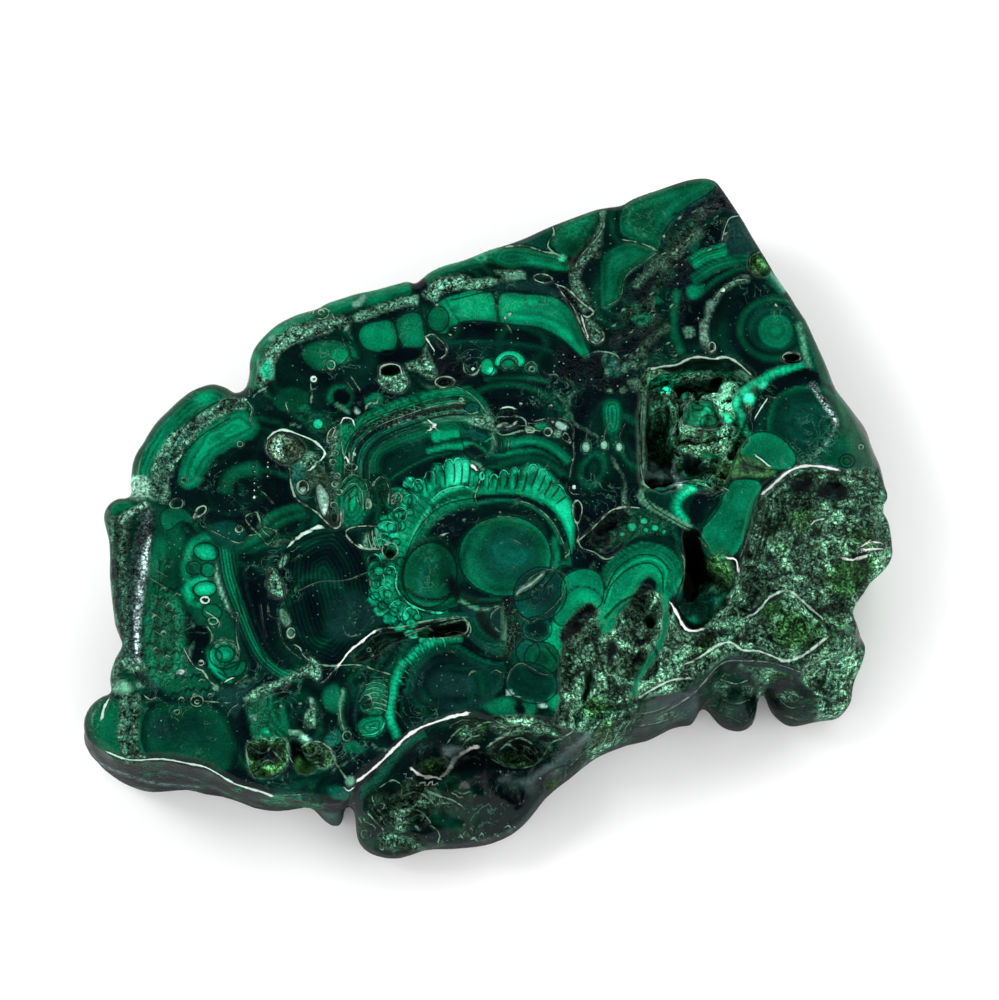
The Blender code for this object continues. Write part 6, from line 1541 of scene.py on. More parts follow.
    # toothed arc and dark nodule on its right
    belt([(746, 436), (740, 416), (737, 402), (744, 391), (760, 380), (780, 371), (804, 366)],
         "-7:deep -5:moss -3:bright 0:vivid 3:leaf 5:deep", soft=1, fade=3, cell=6, camp=0.5, wobble=1.2)
    blob([(742, 396), (752, 393), (756, 402), (746, 405)], "0:bright 2:glow", soft=1.5)
    blob([(758, 384), (766, 380), (768, 388), (760, 390)], "0:bright 2:glow", soft=1.4)
    belt([(748, 428), (756, 412), (766, 394), (782, 382), (804, 374), (816, 378)], "-7:navy -3:ink 3:ink 6:navy", soft=1.1,
         fade=3, speck=0.9)
    vein([(755, 418), (761, 408), (767, 399)], 1.7, "frost")
    vein([(768, 396), (775, 398)], 2.0, "pale")
    blob([(768, 434), (770, 410), (780, 394), (800, 386), (822, 388), (838, 400), (846, 426), (840, 448), (812, 462),
          (792, 458)], "0:green 2:moss 8:pine 18:teal", soft=1.4, period=10, amp=0.12)
    blob([(836, 394), (850, 410), (866, 440), (876, 466), (862, 470), (840, 466), (838, 440), (846, 424)],
         "0:green 4:moss 10:green", soft=2)
    blob([(806, 452), (826, 442), (846, 450), (868, 462), (846, 468), (820, 466), (800, 464)], "0:sea 4:moss", soft=3,
         speck=0.3)
    ring(847, 461, 8, 7, 1.5, "deep")
    ring(847, 461, 4, 3.6, 1.3, "deep")
    ring(861, 447, 2.4, 2.4, 1.6, "mint")
    blob([(740, 448), (752, 434), (768, 432), (784, 440), (796, 456), (792, 468), (778, 470), (758, 468), (744, 462)],
         "0:green 2:leaf 8:green", soft=1.3, outline="1.2 pine")
    vein([(756, 456), (762, 460), (769, 466)], 2.0, "frost")
    blob([(738, 456), (752, 458), (768, 466), (776, 472), (766, 478), (744, 476), (732, 478)], "0:olive 3:lime 6:soil",
         soft=1.4, grain=0.5)
    blob([(724, 494), (734, 480), (756, 480), (762, 488), (756, 506), (748, 528), (738, 552), (720, 562), (704, 556),
          (700, 540), (706, 520)], "0:green 3:leaf 9:green 16:leaf", soft=1.3, period=11, amp=0.12, outline="1.3 deep")
    # cells under the hollow
    blob([(646, 490), (672, 484), (694, 484), (716, 492), (722, 502), (706, 524), (694, 530), (670, 518), (650, 504)],
         "0:moss 3:pine", soft=1.2, outline="1.3 deep")
    belt([(694, 488), (682, 496), (677, 508), (686, 522)], "-7:moss -4:leaf 0:vivid 3:bright 5:deep", soft=1, fade=3,
         cell=5, camp=0.5)
    blob([(690, 520), (690, 506), (698, 494), (712, 492), (720, 502), (708, 516), (698, 524)], "0:ink 4:navy", soft=1.2,
         speck=0.6)
    belt([(643, 490), (641, 498), (650, 506), (668, 516), (690, 528)], "-3.5:deep -2:mint 0:olive 2:mint 3.5:deep",
         soft=0.8, fade=2)
    ring(792, 357, 9.5, 4.5, 1.9, "pale", "ink")

    # ------------------------------------------------ rough lower right
    blob([(762, 494), (784, 474), (812, 466), (846, 470), (878, 470), (888, 520), (896, 545), (884, 572), (866, 596),
          (854, 632), (866, 656), (856, 690), (848, 716), (810, 726), (780, 716), (752, 700), (720, 660), (700, 660),
          (684, 690), (640, 700), (600, 735), (566, 764), (540, 786), (548, 740), (560, 700), (562, 650), (590, 612),
          (640, 590), (668, 600), (680, 630), (704, 628), (738, 572), (750, 530)],
         "0:dust 4:moor 12:moor 22:dust 34:moor", grain=1.0, rough=0.5, soft=1.6)
    for k, (x, y, rx, ry, turn) in enumerate(((800, 522, 20, 15, 10), (865, 540, 14, 10, 20), (838, 580, 17, 13, 30),
                                              (796, 630, 24, 20, 0), (716, 570, 14, 18, 10), (708, 652, 16, 12, 30),
                                              (786, 678, 14, 9, 0), (822, 640, 12, 10, 0), (600, 710, 16, 12, 20))):
        blob((x, y, rx, ry, turn), "0:olive 3:lime 9:lime", grain=1.0, soft=9, rough=0.5, wobble=5)
    for x, y, rx, ry, turn in ((800, 486, 18, 9, -15), (832, 492, 16, 10, 0), (814, 532, 6, 5, 0), (845, 510, 14, 5, 20),
                               (772, 560, 8, 5, 30), (758, 600, 10, 7, -30), (830, 612, 9, 6, 30), (740, 640, 9, 4, 0),
                               (652, 616, 5, 8, 0), (590, 680, 5, 16, 10), (612, 650, 6, 14, 10), (640, 660, 9, 6, 0)):
        blob((x, y, rx, ry, turn), "0:deep 3:ink", grain=0.8, soft=3.5, rough=0.45, wobble=2.5)
    # painted highlight along the edge of the polished face over the rough corner
    belt([(762, 494), (774, 484), (786, 473), (800, 467), (816, 466), (838, 470)], "-2.4:dust 0:white 2.4:deep",
         soft=0.8, fade=1.5, rough=0.14)
    vein([(762, 494), (774, 484), (786, 473), (800, 467), (816, 466), (838, 470)], 2.4, "white")
    for pts in ([(757, 500), (752, 520), (746, 542), (741, 556)], [(766, 500), (763, 520), (757, 545), (752, 560)],
                [(774, 498), (776, 516), (770, 540)], [(786, 500), (790, 516), (786, 530)]):
        vein(pts, 1.8, "dust")
        vein([(x + 3, y) for x, y in pts], 1.8, "ink")
    # painted glints on the rough corner
    vein([(812, 524), (816, 520), (823, 519)], 2.0, "frost")
    vein([(808, 533), (812, 540), (820, 541)], 1.8, "pale")
    for pts in ([(862, 546), (870, 542), (880, 543)], [(864, 550), (874, 549), (884, 549)], [(842, 558), (852, 560), (866, 556)]):
        vein(pts, 2.6, "white")
    # banded lobe and the green leg below it
    blob([(602, 572), (612, 557), (630, 546), (650, 543), (668, 549), (680, 562), (683, 576), (676, 590), (669, 602),
          (669, 625), (661, 650), (649, 668), (639, 682), (637, 697), (632, 694), (636, 676), (652, 650), (662, 626),
          (661, 600), (656, 582), (648, 577), (640, 586), (632, 600), (616, 616), (604, 622), (598, 606), (604, 590)],
         "0:green 1.5:leaf 4:leaf 6:bright 11:leaf", soft=1.2, rough=0.13)
    belt([(600, 596), (606, 576), (622, 559), (644, 550), (664, 555), (675, 570), (672, 592)],
         "-15:bright -13:moss -11.6:leaf -8:bright -5:moss -4:leaf 0:green 1.4:moss 2.6:leaf 5:pine", soft=0.8, fade=3,
         period=4.4, amp=0.2, rough=0.13)
    vein([(604, 604), (612, 584), (630, 568), (650, 563), (662, 574), (663, 592)], 1.3, "pine")
    vein([(606, 590), (616, 570), (636, 556), (656, 556), (670, 570)], 1.2, "pine")
    blob([(598, 618), (604, 606), (618, 612), (612, 630), (602, 634)], "0:leaf 2:bright", soft=2, rough=0.14)
    belt([(603, 562), (616, 551), (632, 541), (650, 537), (668, 540), (680, 552)], "-3:deep 0:navy 3:ink 5:navy", soft=1.2,
         fade=3, speck=0.6)
    blob([(606, 546), (616, 530), (630, 516), (650, 514), (666, 522), (674, 534), (656, 534), (636, 538), (618, 548)],
         "0:pine 3:moss", soft=1.6, grain=0.6)
    for x, y, rx, ry in ((632, 527, 5.5, 5), (644, 521, 4.5, 4), (655, 528, 4.5, 4), (646, 530, 3.6, 3), (622, 534, 3.6, 3),
                         (664, 532, 3, 3)):
        blob((x, y, rx, ry), "0:leaf 1.5:bright 3:glow", soft=0.9, outline="1.2 deep")
    vein([(578, 541), (592, 529), (602, 519), (612, 510), (626, 507), (640, 508)], 1.8, "pale")
    vein([(578, 541), (582, 548), (594, 552), (604, 559), (612, 558)], 1.8, "mint")
    blob([(590, 534), (604, 520), (622, 511), (630, 520), (616, 534), (604, 550), (592, 546)], "0:soil 3:deep", soft=1.5,
         grain=1.0, rough=0.4)
    # lobe over the diagonal pit
    blob([(560, 602), (562, 580), (575, 570), (590, 569), (601, 576), (604, 592), (600, 606), (588, 612), (572, 622),
          (560, 626), (553, 616)], "0:green 1.5:leaf 4:leaf 8:leaf", soft=1.2, rough=0.13, outline="1.2 deep")
    belt([(560, 604), (570, 590), (584, 586), (598, 592), (604, 602)], "-16:bright -9:bright -3:leaf 0:pine 1.4:leaf",
         soft=1, fade=2, rough=0.13)
    blob([(560, 632), (570, 618), (584, 606), (592, 602), (596, 612), (586, 626), (572, 638), (562, 642)],
         "0:soil 2:ink", grain=1.1, rough=0.5, soft=1.5)
    # dark hollow beside it: painted shade over it, and painted highlights along its rim
    blob([(684, 530), (698, 540), (706, 556), (724, 566), (738, 574), (724, 604), (704, 622), (688, 620), (676, 604),
          (682, 580), (686, 556)], "0:deep 3:ink", soft=1.4, grain=0.4, rough=0.3)
    blob([(682, 596), (700, 586), (724, 590), (714, 612), (698, 622), (686, 616)], "0:leaf 3:mint", soft=2.4, grain=0.9,
         rough=0.4)
    blob([(706, 560), (722, 566), (736, 574), (726, 590), (712, 578)], "0:soil 3:olive", soft=2.4, grain=0.9, rough=0.5)
    vein([(671, 603), (677, 614), (685, 628), (694, 631), (703, 629)], 2.8, "white")
    vein([(679, 548), (684, 560), (684, 578), (680, 592)], 1.4, "mint")
    vein([(727, 558), (736, 560), (738, 571)], 2.6, "white")
    vein([(699, 538), (706, 546)], 1.8, "pale")
    # pit ridge and lower ridge, with painted highlights along them
    vein([(744, 618), (757, 612), (770, 597), (786, 590), (797, 596), (808, 606), (822, 618)], 2.8, "frost")
    belt([(822, 616), (836, 622), (850, 632)], "-3:dust 0:mint 3:soil", soft=1, fade=2, rough=0.4)
    vein([(686, 664), (700, 657), (715, 647), (730, 642), (742, 650), (758, 651), (772, 656), (787, 661), (802, 656),
          (816, 646), (826, 638)], 2.8, "frost")
    # grey band below the lower ridge: a painted reflection
    belt([(690, 690), (704, 674), (716, 664), (732, 660), (752, 662), (772, 664), (800, 674)], "-5:deep -1:slate 3:slate "
         "5:deep", soft=1.2, fade=3, rough=0.14)
    vein([(665, 712), (680, 703), (694, 693), (706, 680), (716, 668), (728, 661), (746, 661), (767, 662), (786, 667),
          (800, 672)], 1.5, "ash")
    blob([(706, 690), (716, 672), (740, 668), (756, 676), (756, 710), (744, 730), (724, 728), (708, 708)],
         "0:pine 4:deep 12:pine", soft=1.5, rough=0.2, grain=0.3)
    blob([(764, 690), (780, 676), (806, 684), (820, 706), (812, 724), (786, 724), (772, 710)], "0:pine 4:deep", soft=2,
         rough=0.25, grain=0.5)
    vein([(722, 680), (736, 684), (748, 680)], 1.8, "pale")
    blob([(684, 690), (700, 694), (698, 712), (686, 722), (640, 734), (632, 722), (634, 704), (652, 700)],
         "0:deep 4:slate", soft=2, rough=0.2)
    vein([(640, 697), (655, 688), (672, 680), (690, 678)], 2.8, "frost")
    vein([(670, 722), (669, 708), (676, 700)], 1.5, "ink")

    # ------------------------------------------------ lower middle: olive hollow, smooth saddles and the ledge
    blob([(404, 742), (420, 730), (446, 722), (476, 714), (500, 720), (540, 722), (570, 730), (588, 736), (566, 764),
          (540, 800), (520, 826), (480, 840), (420, 850), (380, 854), (360, 844), (356, 806), (376, 788), (392, 764)],
         "0:pine 5:deep 14:navy", soft=1.6, speck=0.3, rough=0.2)
    belt([(362, 790), (378, 777), (394, 756), (408, 743), (424, 734)], "-7:deep -4:moss 0:sea 4:moss", soft=1.4, fade=3,
         grain=0.35)
    # painted highlight along the front rim
    vein([(358, 781), (368, 773), (380, 763), (394, 749), (406, 737), (420, 728), (436, 722), (452, 717), (468, 713)],
         3.0, "white")
    blob([(413, 748), (422, 740), (434, 742), (432, 754), (420, 758)], "0:navy 3:slate", soft=2, grain=0.9, rough=0.3)
    blob([(420, 762), (434, 757), (446, 766), (444, 774), (424, 772)], "0:olive 3:lime", soft=1.6, grain=0.9, rough=0.5)
    # painted highlights on the smooth saddle: two white bands and a grey patch
    vein([(412, 769), (420, 775), (430, 777), (438, 777)], 3.6, "white")
    vein([(441, 777), (450, 768), (453, 761), (461, 755), (470, 749), (477, 747)], 4.2, "white")
    blob([(442, 748), (454, 746), (466, 748), (458, 762), (448, 768)], "0:grey 3:ash", soft=2.5, rough=0.15)
    blob([(456, 728), (470, 722), (486, 724), (480, 738), (462, 746)], "0:olive 3:lime", soft=2.6, grain=0.9, rough=0.5)
    blob([(490, 748), (504, 736), (530, 732), (548, 738), (548, 754), (532, 766), (508, 768), (492, 760)],
         "0:soil 2:brown 6:ink", soft=1.6, grain=0.8, rough=0.5)
    blob([(500, 756), (516, 754), (524, 762), (508, 766)], "0:olive 2:lime", soft=2, grain=0.8, rough=0.5)
    vein([(487, 747), (496, 740), (508, 733)], 2.8, "pale")
    vein([(493, 760), (505, 766), (520, 768), (532, 766), (540, 760), (546, 752)], 2.0, "mint")
    # painted grey reflection on the ledge
    blob([(504, 778), (530, 774), (552, 762), (572, 748), (588, 738), (572, 762), (552, 784), (534, 800), (520, 792)],
         "0:pine 3:slate 8:grey", soft=2, rough=0.14)
    vein([(537, 785), (545, 775), (556, 768), (566, 765)], 2.2, "ink")
    blob([(544, 782), (556, 778), (562, 786), (548, 794)], "0:olive 2:lime", soft=1.4, grain=0.9, rough=0.5)
    blob([(504, 780), (516, 784), (522, 798), (514, 806), (506, 796)], "0:moss 2:dust", soft=1.5, grain=1.0, rough=0.4)
    blob([(426, 784), (450, 780), (490, 778), (504, 790), (504, 808), (480, 818), (450, 814), (440, 798)],
         "0:deep 4:ink", soft=2.5)
    vein([(456, 790), (462, 794), (468, 792)], 2.2, "dust")
    belt([(404, 784), (418, 791), (436, 799), (452, 806)], "-7:deep -4:moss 0:mint 4:olive 7:deep", soft=1.2, fade=2,
         grain=0.9, wobble=1.5, rough=0.4)
    belt([(430, 803), (416, 813), (408, 824)], "-7:deep -3:mint 0:olive 4:leaf 7:deep", soft=1.2, fade=3, grain=0.9,
         wobble=1.5, rough=0.4)
    belt([(382, 834), (398, 836), (412, 842), (426, 848)], "-6:deep -2:mint 2:moss 6:deep", soft=1.2, fade=3, grain=0.9,
         wobble=1.4, rough=0.4)
    blob([(366, 800), (384, 792), (398, 800), (396, 826), (384, 822), (372, 812)], "0:deep 3:soil", soft=2.4, grain=0.9,
         rough=0.45)
    vein([(369, 814), (376, 822), (383, 829)], 2.0, "pale")
    vein([(358, 816), (363, 826), (367, 832)], 2.2, "dust")
    ring(366, 834, 5, 5, 1.5, "dust", "ink")
    ring(382, 845, 3, 5, 1.6, "mint")
    blob((460, 808, 4, 2), "0:mint 1:pale", soft=0.8)
    # painted teal reflection low on the ledge
    blob([(430, 834), (470, 826), (510, 820), (524, 816), (510, 834), (480, 842), (440, 848), (420, 848)],
         "0:slate 4:teal", soft=3.5, speck=0.4, rough=0.16)
    for x, y in ((460, 830), (464, 834), (483, 832), (484, 840), (510, 831)):
        blob((x, y, 2.6, 2), "0:dust", soft=1.2)
    blob([(318, 806), (330, 804), (342, 812), (340, 824), (326, 822)], "0:slate 3:sea", soft=2, rough=0.2)

    # ------------------------------------------------ small things last: the floor of the open hollow
    blob([(650, 398), (662, 394), (674, 402), (678, 418), (674, 436), (662, 440), (652, 430)], "0:deep 2:soil", soft=2.5,
         grain=1.1, rough=0.5)
    blob([(649, 440), (662, 440), (674, 440), (676, 458), (664, 464), (650, 462)], "0:ink", soft=3, rough=0.5)
    belt([(646, 476), (656, 474), (668, 477), (680, 482)], "-8:brown -4:grey 0:ash 4:grey 7:brown", soft=2, fade=4,
         rough=0.5)
    vein([(656, 462), (664, 471), (674, 479)], 1.3, "ash")
    for pts in ([(656, 402), (660, 412), (658, 424)], [(664, 400), (668, 412), (666, 428)], [(660, 432), (668, 436)]):
        vein(pts, 1.3, "dust")
    vein([(672, 393), (677, 405), (681, 419), (676, 429), (671, 435)], 1.8, "pale")
    blob((681, 394, 8, 7), "0:pine 2:moss", soft=1.2, outline="1.2 deep")
    blob((682, 394, 3.6, 3.4), "0:leaf 1.6:vivid", soft=1)
    belt([(697, 379), (703, 386), (705, 397)], "-3.4:deep -2:mint 0:dust 2:mint 3.4:deep", soft=0.8, grain=0.6, fade=1.5)
    blob((716, 382, 8, 5, -30), "0:deep 1.4:ink", soft=1, outline="1.3 mint")
    blob([(714, 390), (722, 383), (731, 382), (732, 392), (724, 400), (716, 400)], "0:dust 2:mint", soft=1, grain=0.5)
    blob([(734, 372), (742, 370), (749, 374), (746, 381), (737, 381)], "0:dust 2:mint", soft=1, grain=0.4)
    vein([(684, 410), (690, 401), (698, 397)], 2.2, "pale")
    vein([(714, 405), (719, 417), (724, 425), (736, 422), (729, 414), (714, 405)], 1.5, "pale")
    blob([(721, 413), (728, 414), (732, 421), (725, 423)], "0:leaf 1.2:glow", soft=0.8)
    vein([(724, 445), (728, 440), (733, 438)], 2.2, "glow")
    vein([(704, 450), (711, 454), (719, 458)], 2.0, "bright")
    vein([(702, 473), (712, 470), (718, 476), (722, 486), (728, 490)], 1.6, "mint")
    for x, y, w in ((692, 440, 2.4), (700, 444, 1.8), (690, 450, 2.0), (712, 446, 2.2), (684, 446, 1.8), (706, 480, 2.2),
                    (676, 446, 2.0), (678, 460, 2.0), (676, 470, 2.0), (654, 376, 2.2), (664, 384, 2.4), (658, 388, 1.8)):
        ring(x, y, 1.3, 1.0, w, "mint")
    # the whole hollow lightened: painted light against the shade of its walls
    p.lift([(642, 372), (660, 366), (700, 362), (748, 372), (750, 420), (744, 446), (730, 480), (712, 490), (648, 487)],
           1.75, 4)

    # ------------------------------------------------ the hollow beside the banded lobe
    blob([(678, 590), (688, 584), (700, 588), (712, 590), (722, 594), (716, 608), (702, 622), (688, 620), (678, 606)],
         "0:teal 3:sea", soft=3, grain=0.5, rough=0.4)
    for pts in ([(682, 596), (690, 594), (700, 598), (712, 596)], [(684, 604), (694, 603), (706, 606)],
                [(688, 612), (696, 611), (704, 612)]):
        vein(pts, 1.4, "mint")
    blob((695, 619, 5, 3), "0:bright 1.5:vivid", soft=1.2)
    blob([(706, 560), (720, 562), (734, 574), (730, 586), (716, 582), (708, 572)], "0:soil 2:lime", soft=2.5, grain=1.0,
         rough=0.5)
    # its floor and its olive side lightened: painted light against the shade of the deep hollow
    p.lift([(676, 584), (700, 582), (728, 590), (716, 612), (698, 626), (682, 618)], 4.0, 4)
    p.lift([(704, 556), (722, 562), (738, 574), (728, 592), (710, 580)], 1.4, 3)
    p.lift([(110, 520), (120, 440), (180, 370), (250, 330), (400, 270), (440, 300), (430, 390), (330, 470), (200, 520)],
           0.86, 20)

    # ------------------------------------------------ fine lines, drops and painted glints
    # painted highlight along the lower left rim, faint where it ends
    vein([(107, 752), (130, 760), (163, 759), (190, 764), (205, 767), (220, 775), (235, 784), (258, 791), (272, 796)],
         1.9, "frost")
    vein([(285, 795), (296, 795), (305, 794)], 1.4, "mint")
    # painted highlight on the right shoulder, with a softer pale tail below it
    belt([(812, 385), (818, 394), (826, 406), (835, 420), (834, 431)], "-3.4:moss -1.4:ash 0:white 1.4:ash 3.4:moss",
         soft=1.2, grain=1.0, fade=5)
    belt([(834, 430), (826, 444), (814, 456), (804, 464)], "-9:moss -3:sea 0:dust 3:sea 8:moss", soft=3, grain=0.7, fade=8)
    blob([(604, 402), (620, 402), (620, 430), (606, 432)], "0:moss 2:green 6:leaf", soft=1.6, period=3.4, amp=0.4)
    for x, y, rx, ry in ((586, 447, 4.5, 6), (604, 445, 4, 5), (619, 447, 4, 5)):
        blob((x, y, rx, ry), "0:dust 1.2:mint 3:pale", soft=0.9, outline="1.2 deep")
        vein([(x, y - ry), (x + 1, y - ry - 8), (x + 5, y - ry - 17)], 1.1, "dust")
    ring(603, 436, 1, 1, 1.6, "pale")
    vein([(573, 505), (577, 500), (582, 506), (581, 516), (577, 524), (573, 514), (573, 505)], 1.6, "pale")
    ring(574, 487, 1.2, 1.2, 2.0, "frost")
    vein([(577, 524), (579, 534), (577, 541)], 1.1, "dust")
    # glint along the left edge, brightest half way down
    belt([(150, 536, 0.6), (146, 552, 0.9), (143, 575, 1.1), (139, 600, 1.2), (137, 625, 1.1), (137, 645, 0.8),
          (138, 662, 0.5)], "-5:slate -2.6:ash -0.8:white 0.8:white 2.6:ash 5:slate", soft=1.2, grain=0.9, fade=4)
    blob([(488, 724), (506, 715), (530, 716), (552, 724), (558, 738), (532, 733), (504, 736)], "0:soil 3:dust 6:moor",
         soft=2, grain=1.0, rough=0.5)
    blob([(456, 728), (468, 720), (484, 722), (478, 736), (462, 744)], "0:soil 3:olive 6:dust", soft=2, grain=1.0, rough=0.5)
    blob([(396, 792), (416, 786), (440, 790), (456, 802), (444, 808), (424, 806), (412, 818), (404, 832), (392, 822)],
         "0:soil 2:dust 5:moor", soft=2.5, grain=1.1, wobble=3, rough=0.45)
    blob([(376, 836), (392, 832), (412, 838), (424, 848), (400, 852), (382, 848)], "0:soil 2:dust", soft=2, grain=1.1,
         wobble=2, rough=0.45)
    p.lift([(366, 800), (396, 786), (440, 786), (462, 802), (440, 824), (430, 852), (376, 852)], 0.62, 4)
    # cracks through the broken part
    for pts in ([(768, 497), (788, 479), (818, 473), (851, 475), (878, 490)], [(795, 480), (810, 492), (830, 488), (850, 498),
                (868, 492)], [(771, 513), (766, 540), (755, 567), (745, 580)], [(813, 520), (816, 533), (825, 537)],
                [(768, 580), (791, 573), (818, 578), (825, 593)], [(751, 617), (765, 603), (782, 594)],
                [(851, 553), (868, 567), (861, 587)], [(838, 600), (851, 613), (855, 627)],
                [(590, 633), (598, 652), (605, 675), (622, 695), (628, 712)], [(605, 618), (621, 602), (644, 591), (655, 583)],
                [(567, 648), (582, 660), (586, 683)], [(632, 629), (640, 648), (632, 668)],
                [(763, 625), (771, 640), (790, 648)], [(805, 606), (824, 622), (832, 637), (821, 644)],
                [(736, 606), (748, 612), (764, 604)], [(828, 662), (821, 687), (798, 691), (782, 675)],
                [(701, 636), (709, 646), (698, 656)], [(651, 641), (659, 660), (654, 676)], [(590, 700), (602, 716), (596, 732)],
                [(786, 520), (796, 540), (790, 556), (800, 566)], [(836, 520), (848, 532), (842, 546)],
                [(572, 700), (566, 720), (574, 740)], [(800, 700), (816, 696), (832, 704)], [(780, 610), (790, 622), (786, 636)]):
        vein(pts, 2.7, "ink")
    # ledge: dark glossy body with a painted teal reflection low on it, and pale crests
    belt([(448, 776), (470, 790), (500, 800), (528, 802)], "-9:navy -3:ink 3:ink 9:navy", soft=3, fade=6, speck=0.3)
    blob([(440, 812), (470, 806), (510, 804), (516, 818), (484, 828), (448, 832)], "0:deep 4:teal", soft=4, speck=0.4)
    for pts, w in (([(382, 786), (392, 780), (402, 786), (400, 798)], 1.8), ([(404, 796), (414, 792), (426, 796), (434, 804)], 2.2),
                   ([(428, 792), (440, 796), (452, 800), (462, 806)], 2.4), ([(410, 808), (422, 812), (430, 822)], 2.0),
                   ([(398, 824), (408, 822), (418, 828)], 2.0), ([(432, 826), (440, 834), (438, 842)], 1.6),
                   ([(372, 798), (376, 808), (384, 816)], 1.8), ([(462, 740), (470, 732), (480, 728)], 1.8),
                   ([(508, 742), (520, 738), (532, 744)], 1.8), ([(512, 760), (524, 756), (538, 752)], 1.6),
                   ([(494, 720), (508, 726), (520, 724)], 1.6), ([(552, 742), (562, 738), (572, 732)], 2.2)):
        vein(pts, w, "mint")
    for x, y, w in ((448, 792, 2.4), (470, 812, 1.6), (386, 802, 2), (424, 806, 2.6), (404, 836, 2.2), (524, 748, 2.0),
                    (476, 772, 1.6), (456, 768, 1.8), (500, 772, 1.4), (540, 778, 1.6), (514, 828, 1.6), (496, 816, 1.4)):
        ring(x, y, 1.4, 1.1, w, "pale")

    # ------------------------------------------------ the flank that shows under the lower left rim, dark, partly painted shade under the rim
    blob([(92, 744), (104, 758), (130, 764), (164, 766), (192, 770), (215, 780), (240, 792), (262, 802), (300, 802),
          (340, 800), (346, 812), (300, 812), (258, 812), (236, 808), (205, 800), (170, 794), (130, 794), (100, 776),
          (88, 760)], "0:ink 4:deep 8:ink", soft=1.2, grain=0.55)
    # grey bands along the flank: painted sheen
    belt([(92, 752), (102, 764), (125, 774), (151, 782), (178, 785), (200, 787)], "-3.4:ink -1.2:grey 0:ash 1.2:slate 4:ink",
         soft=1.2, grain=0.7, fade=4)
    belt([(160, 771), (184, 776), (208, 785), (238, 799), (262, 807)], "-3:ink -1.2:teal 0:grey 1.2:teal 3:ink", soft=1.2,
         grain=0.7, fade=4)
    belt([(108, 782), (130, 788), (152, 791)], "-3:ink 0:dust 3:ink", soft=1.4, grain=0.8, fade=5)
    for x, y, rx, ry in ((278, 803, 20, 4), (238, 790, 6, 3), (312, 806, 14, 4), (146, 774, 9, 2.4), (192, 792, 10, 3)):
        blob((x, y, rx, ry, 8), "0:moss 2:leaf", soft=2, grain=1.0)
    # flanks under the rough part and the ledge: dark with worn green seams
    for pts in ([(636, 714), (652, 712), (668, 706)], [(640, 726), (660, 722), (676, 716)], [(724, 700), (736, 704), (748, 700)],
                [(728, 716), (740, 722)], [(780, 700), (790, 708), (804, 706)], [(786, 716), (800, 720)],
                [(600, 740), (584, 752), (570, 766)], [(588, 760), (572, 778), (556, 790)]):
        vein(pts, 1.6, "dust")
    for x, y, rx, ry in ((722, 688, 9, 6), (748, 690, 8, 5), (790, 696, 12, 6), (826, 702, 10, 10), (668, 716, 12, 5)):
        blob((x, y, rx, ry), "0:soil 2:dust", soft=3, grain=1.1)
    blob([(688, 670), (700, 660), (714, 650), (728, 645), (726, 656), (712, 668), (700, 680), (690, 684)],
         "0:dust 2:moor", soft=1.4, grain=1.1, rough=0.45)
    blob([(738, 650), (760, 655), (788, 662), (806, 660), (800, 668), (770, 662), (744, 659)], "0:deep 2:soil", soft=1.6,
         grain=1.0, rough=0.4)
    belt([(700, 640), (716, 634), (734, 632)], "-4:deep 0:soil 4:deep", soft=2, grain=1.0, fade=4, rough=0.4)

    # ------------------------------------------------ finer drawing round the eye
    gaps = [(404, 484, 416, 494), (412, 478, 420, 493), (423, 475, 427, 491), (434, 466, 436, 484), (443, 467, 445, 484),
            (454, 464, 454, 482), (462, 464, 461, 484), (470, 467, 468, 485), (480, 476, 477, 487), (489, 476, 488, 489),
            (498, 478, 496, 491), (509, 475, 505, 487), (518, 473, 515, 489), (527, 473, 523, 491), (538, 469, 531, 487),
            (545, 476, 538, 491), (552, 480, 545, 494), (560, 486, 552, 497), (566, 496, 557, 503)]
    for x0, y0, x1, y1 in gaps:
        vein([(x0, y0), ((x0 + x1) / 2 + 0.6, (y0 + y1) / 2), (x1, y1)], 1.7, "deep")
    for x, y, w in ((418, 480, 5), (430, 472, 5), (439, 464, 4.4), (449, 460, 4.6), (458, 459, 4.4), (466, 461, 4.2),
                    (494, 475, 4.2), (504, 471, 4.4), (514, 468, 4.4), (523, 468, 4.2), (533, 465, 4.8), (543, 470, 4.6)):
        vein([(x - w, y + 5), (x - w * 0.6, y), (x + w * 0.4, y - 0.6), (x + w, y + 4)], 1.3, "glow")
    for x, y, rx, ry, turn in ((388, 527, 9, 5.5, 10), (381, 545, 8, 6, 20), (374, 560, 7, 6, 0), (392, 551, 6, 5, 0),
                               (378, 578, 7, 6, 10), (390, 571, 6, 5, 0), (384, 592, 7, 5, 30), (398, 606, 7, 5, 20),
                               (412, 612, 7, 4.6, 10), (401, 513, 7, 5.4, 40), (412, 500, 7, 5.4, 45)):
        w = [(-1, 0.3), (-0.7, -0.7), (0, -1), (0.7, -0.7), (1, 0.3)]
        c, s = cos(radians(turn)), sin(radians(turn))
        vein([(x + c * a * rx - s * b * ry, y + s * a * rx + c * b * ry) for a, b in w], 1.2, "glow")
    # green fan and arched cells left of the toothed band
    blob((353, 500, 17, 27, 8), "0:deep 1.5:leaf 4:pine 6:leaf 9:moss 11:leaf 13:pine 15:bright", soft=1, period=5, amp=0.2)
    blob((381, 492, 9, 17, 14), "0:deep 1.5:moss 4:deep 6:moss 8:ink", soft=1, grain=0.3)
    for pts in ([(339, 486), (352, 474), (366, 484), (369, 504)], [(342, 492), (353, 483), (362, 492), (363, 508)],
                [(346, 499), (354, 492), (358, 502)], [(374, 482), (382, 476), (389, 488), (388, 502)]):
        vein(pts, 1.1, "mint")
        vein([(x + 2, y + 3) for x, y in pts], 1.4, "ink")
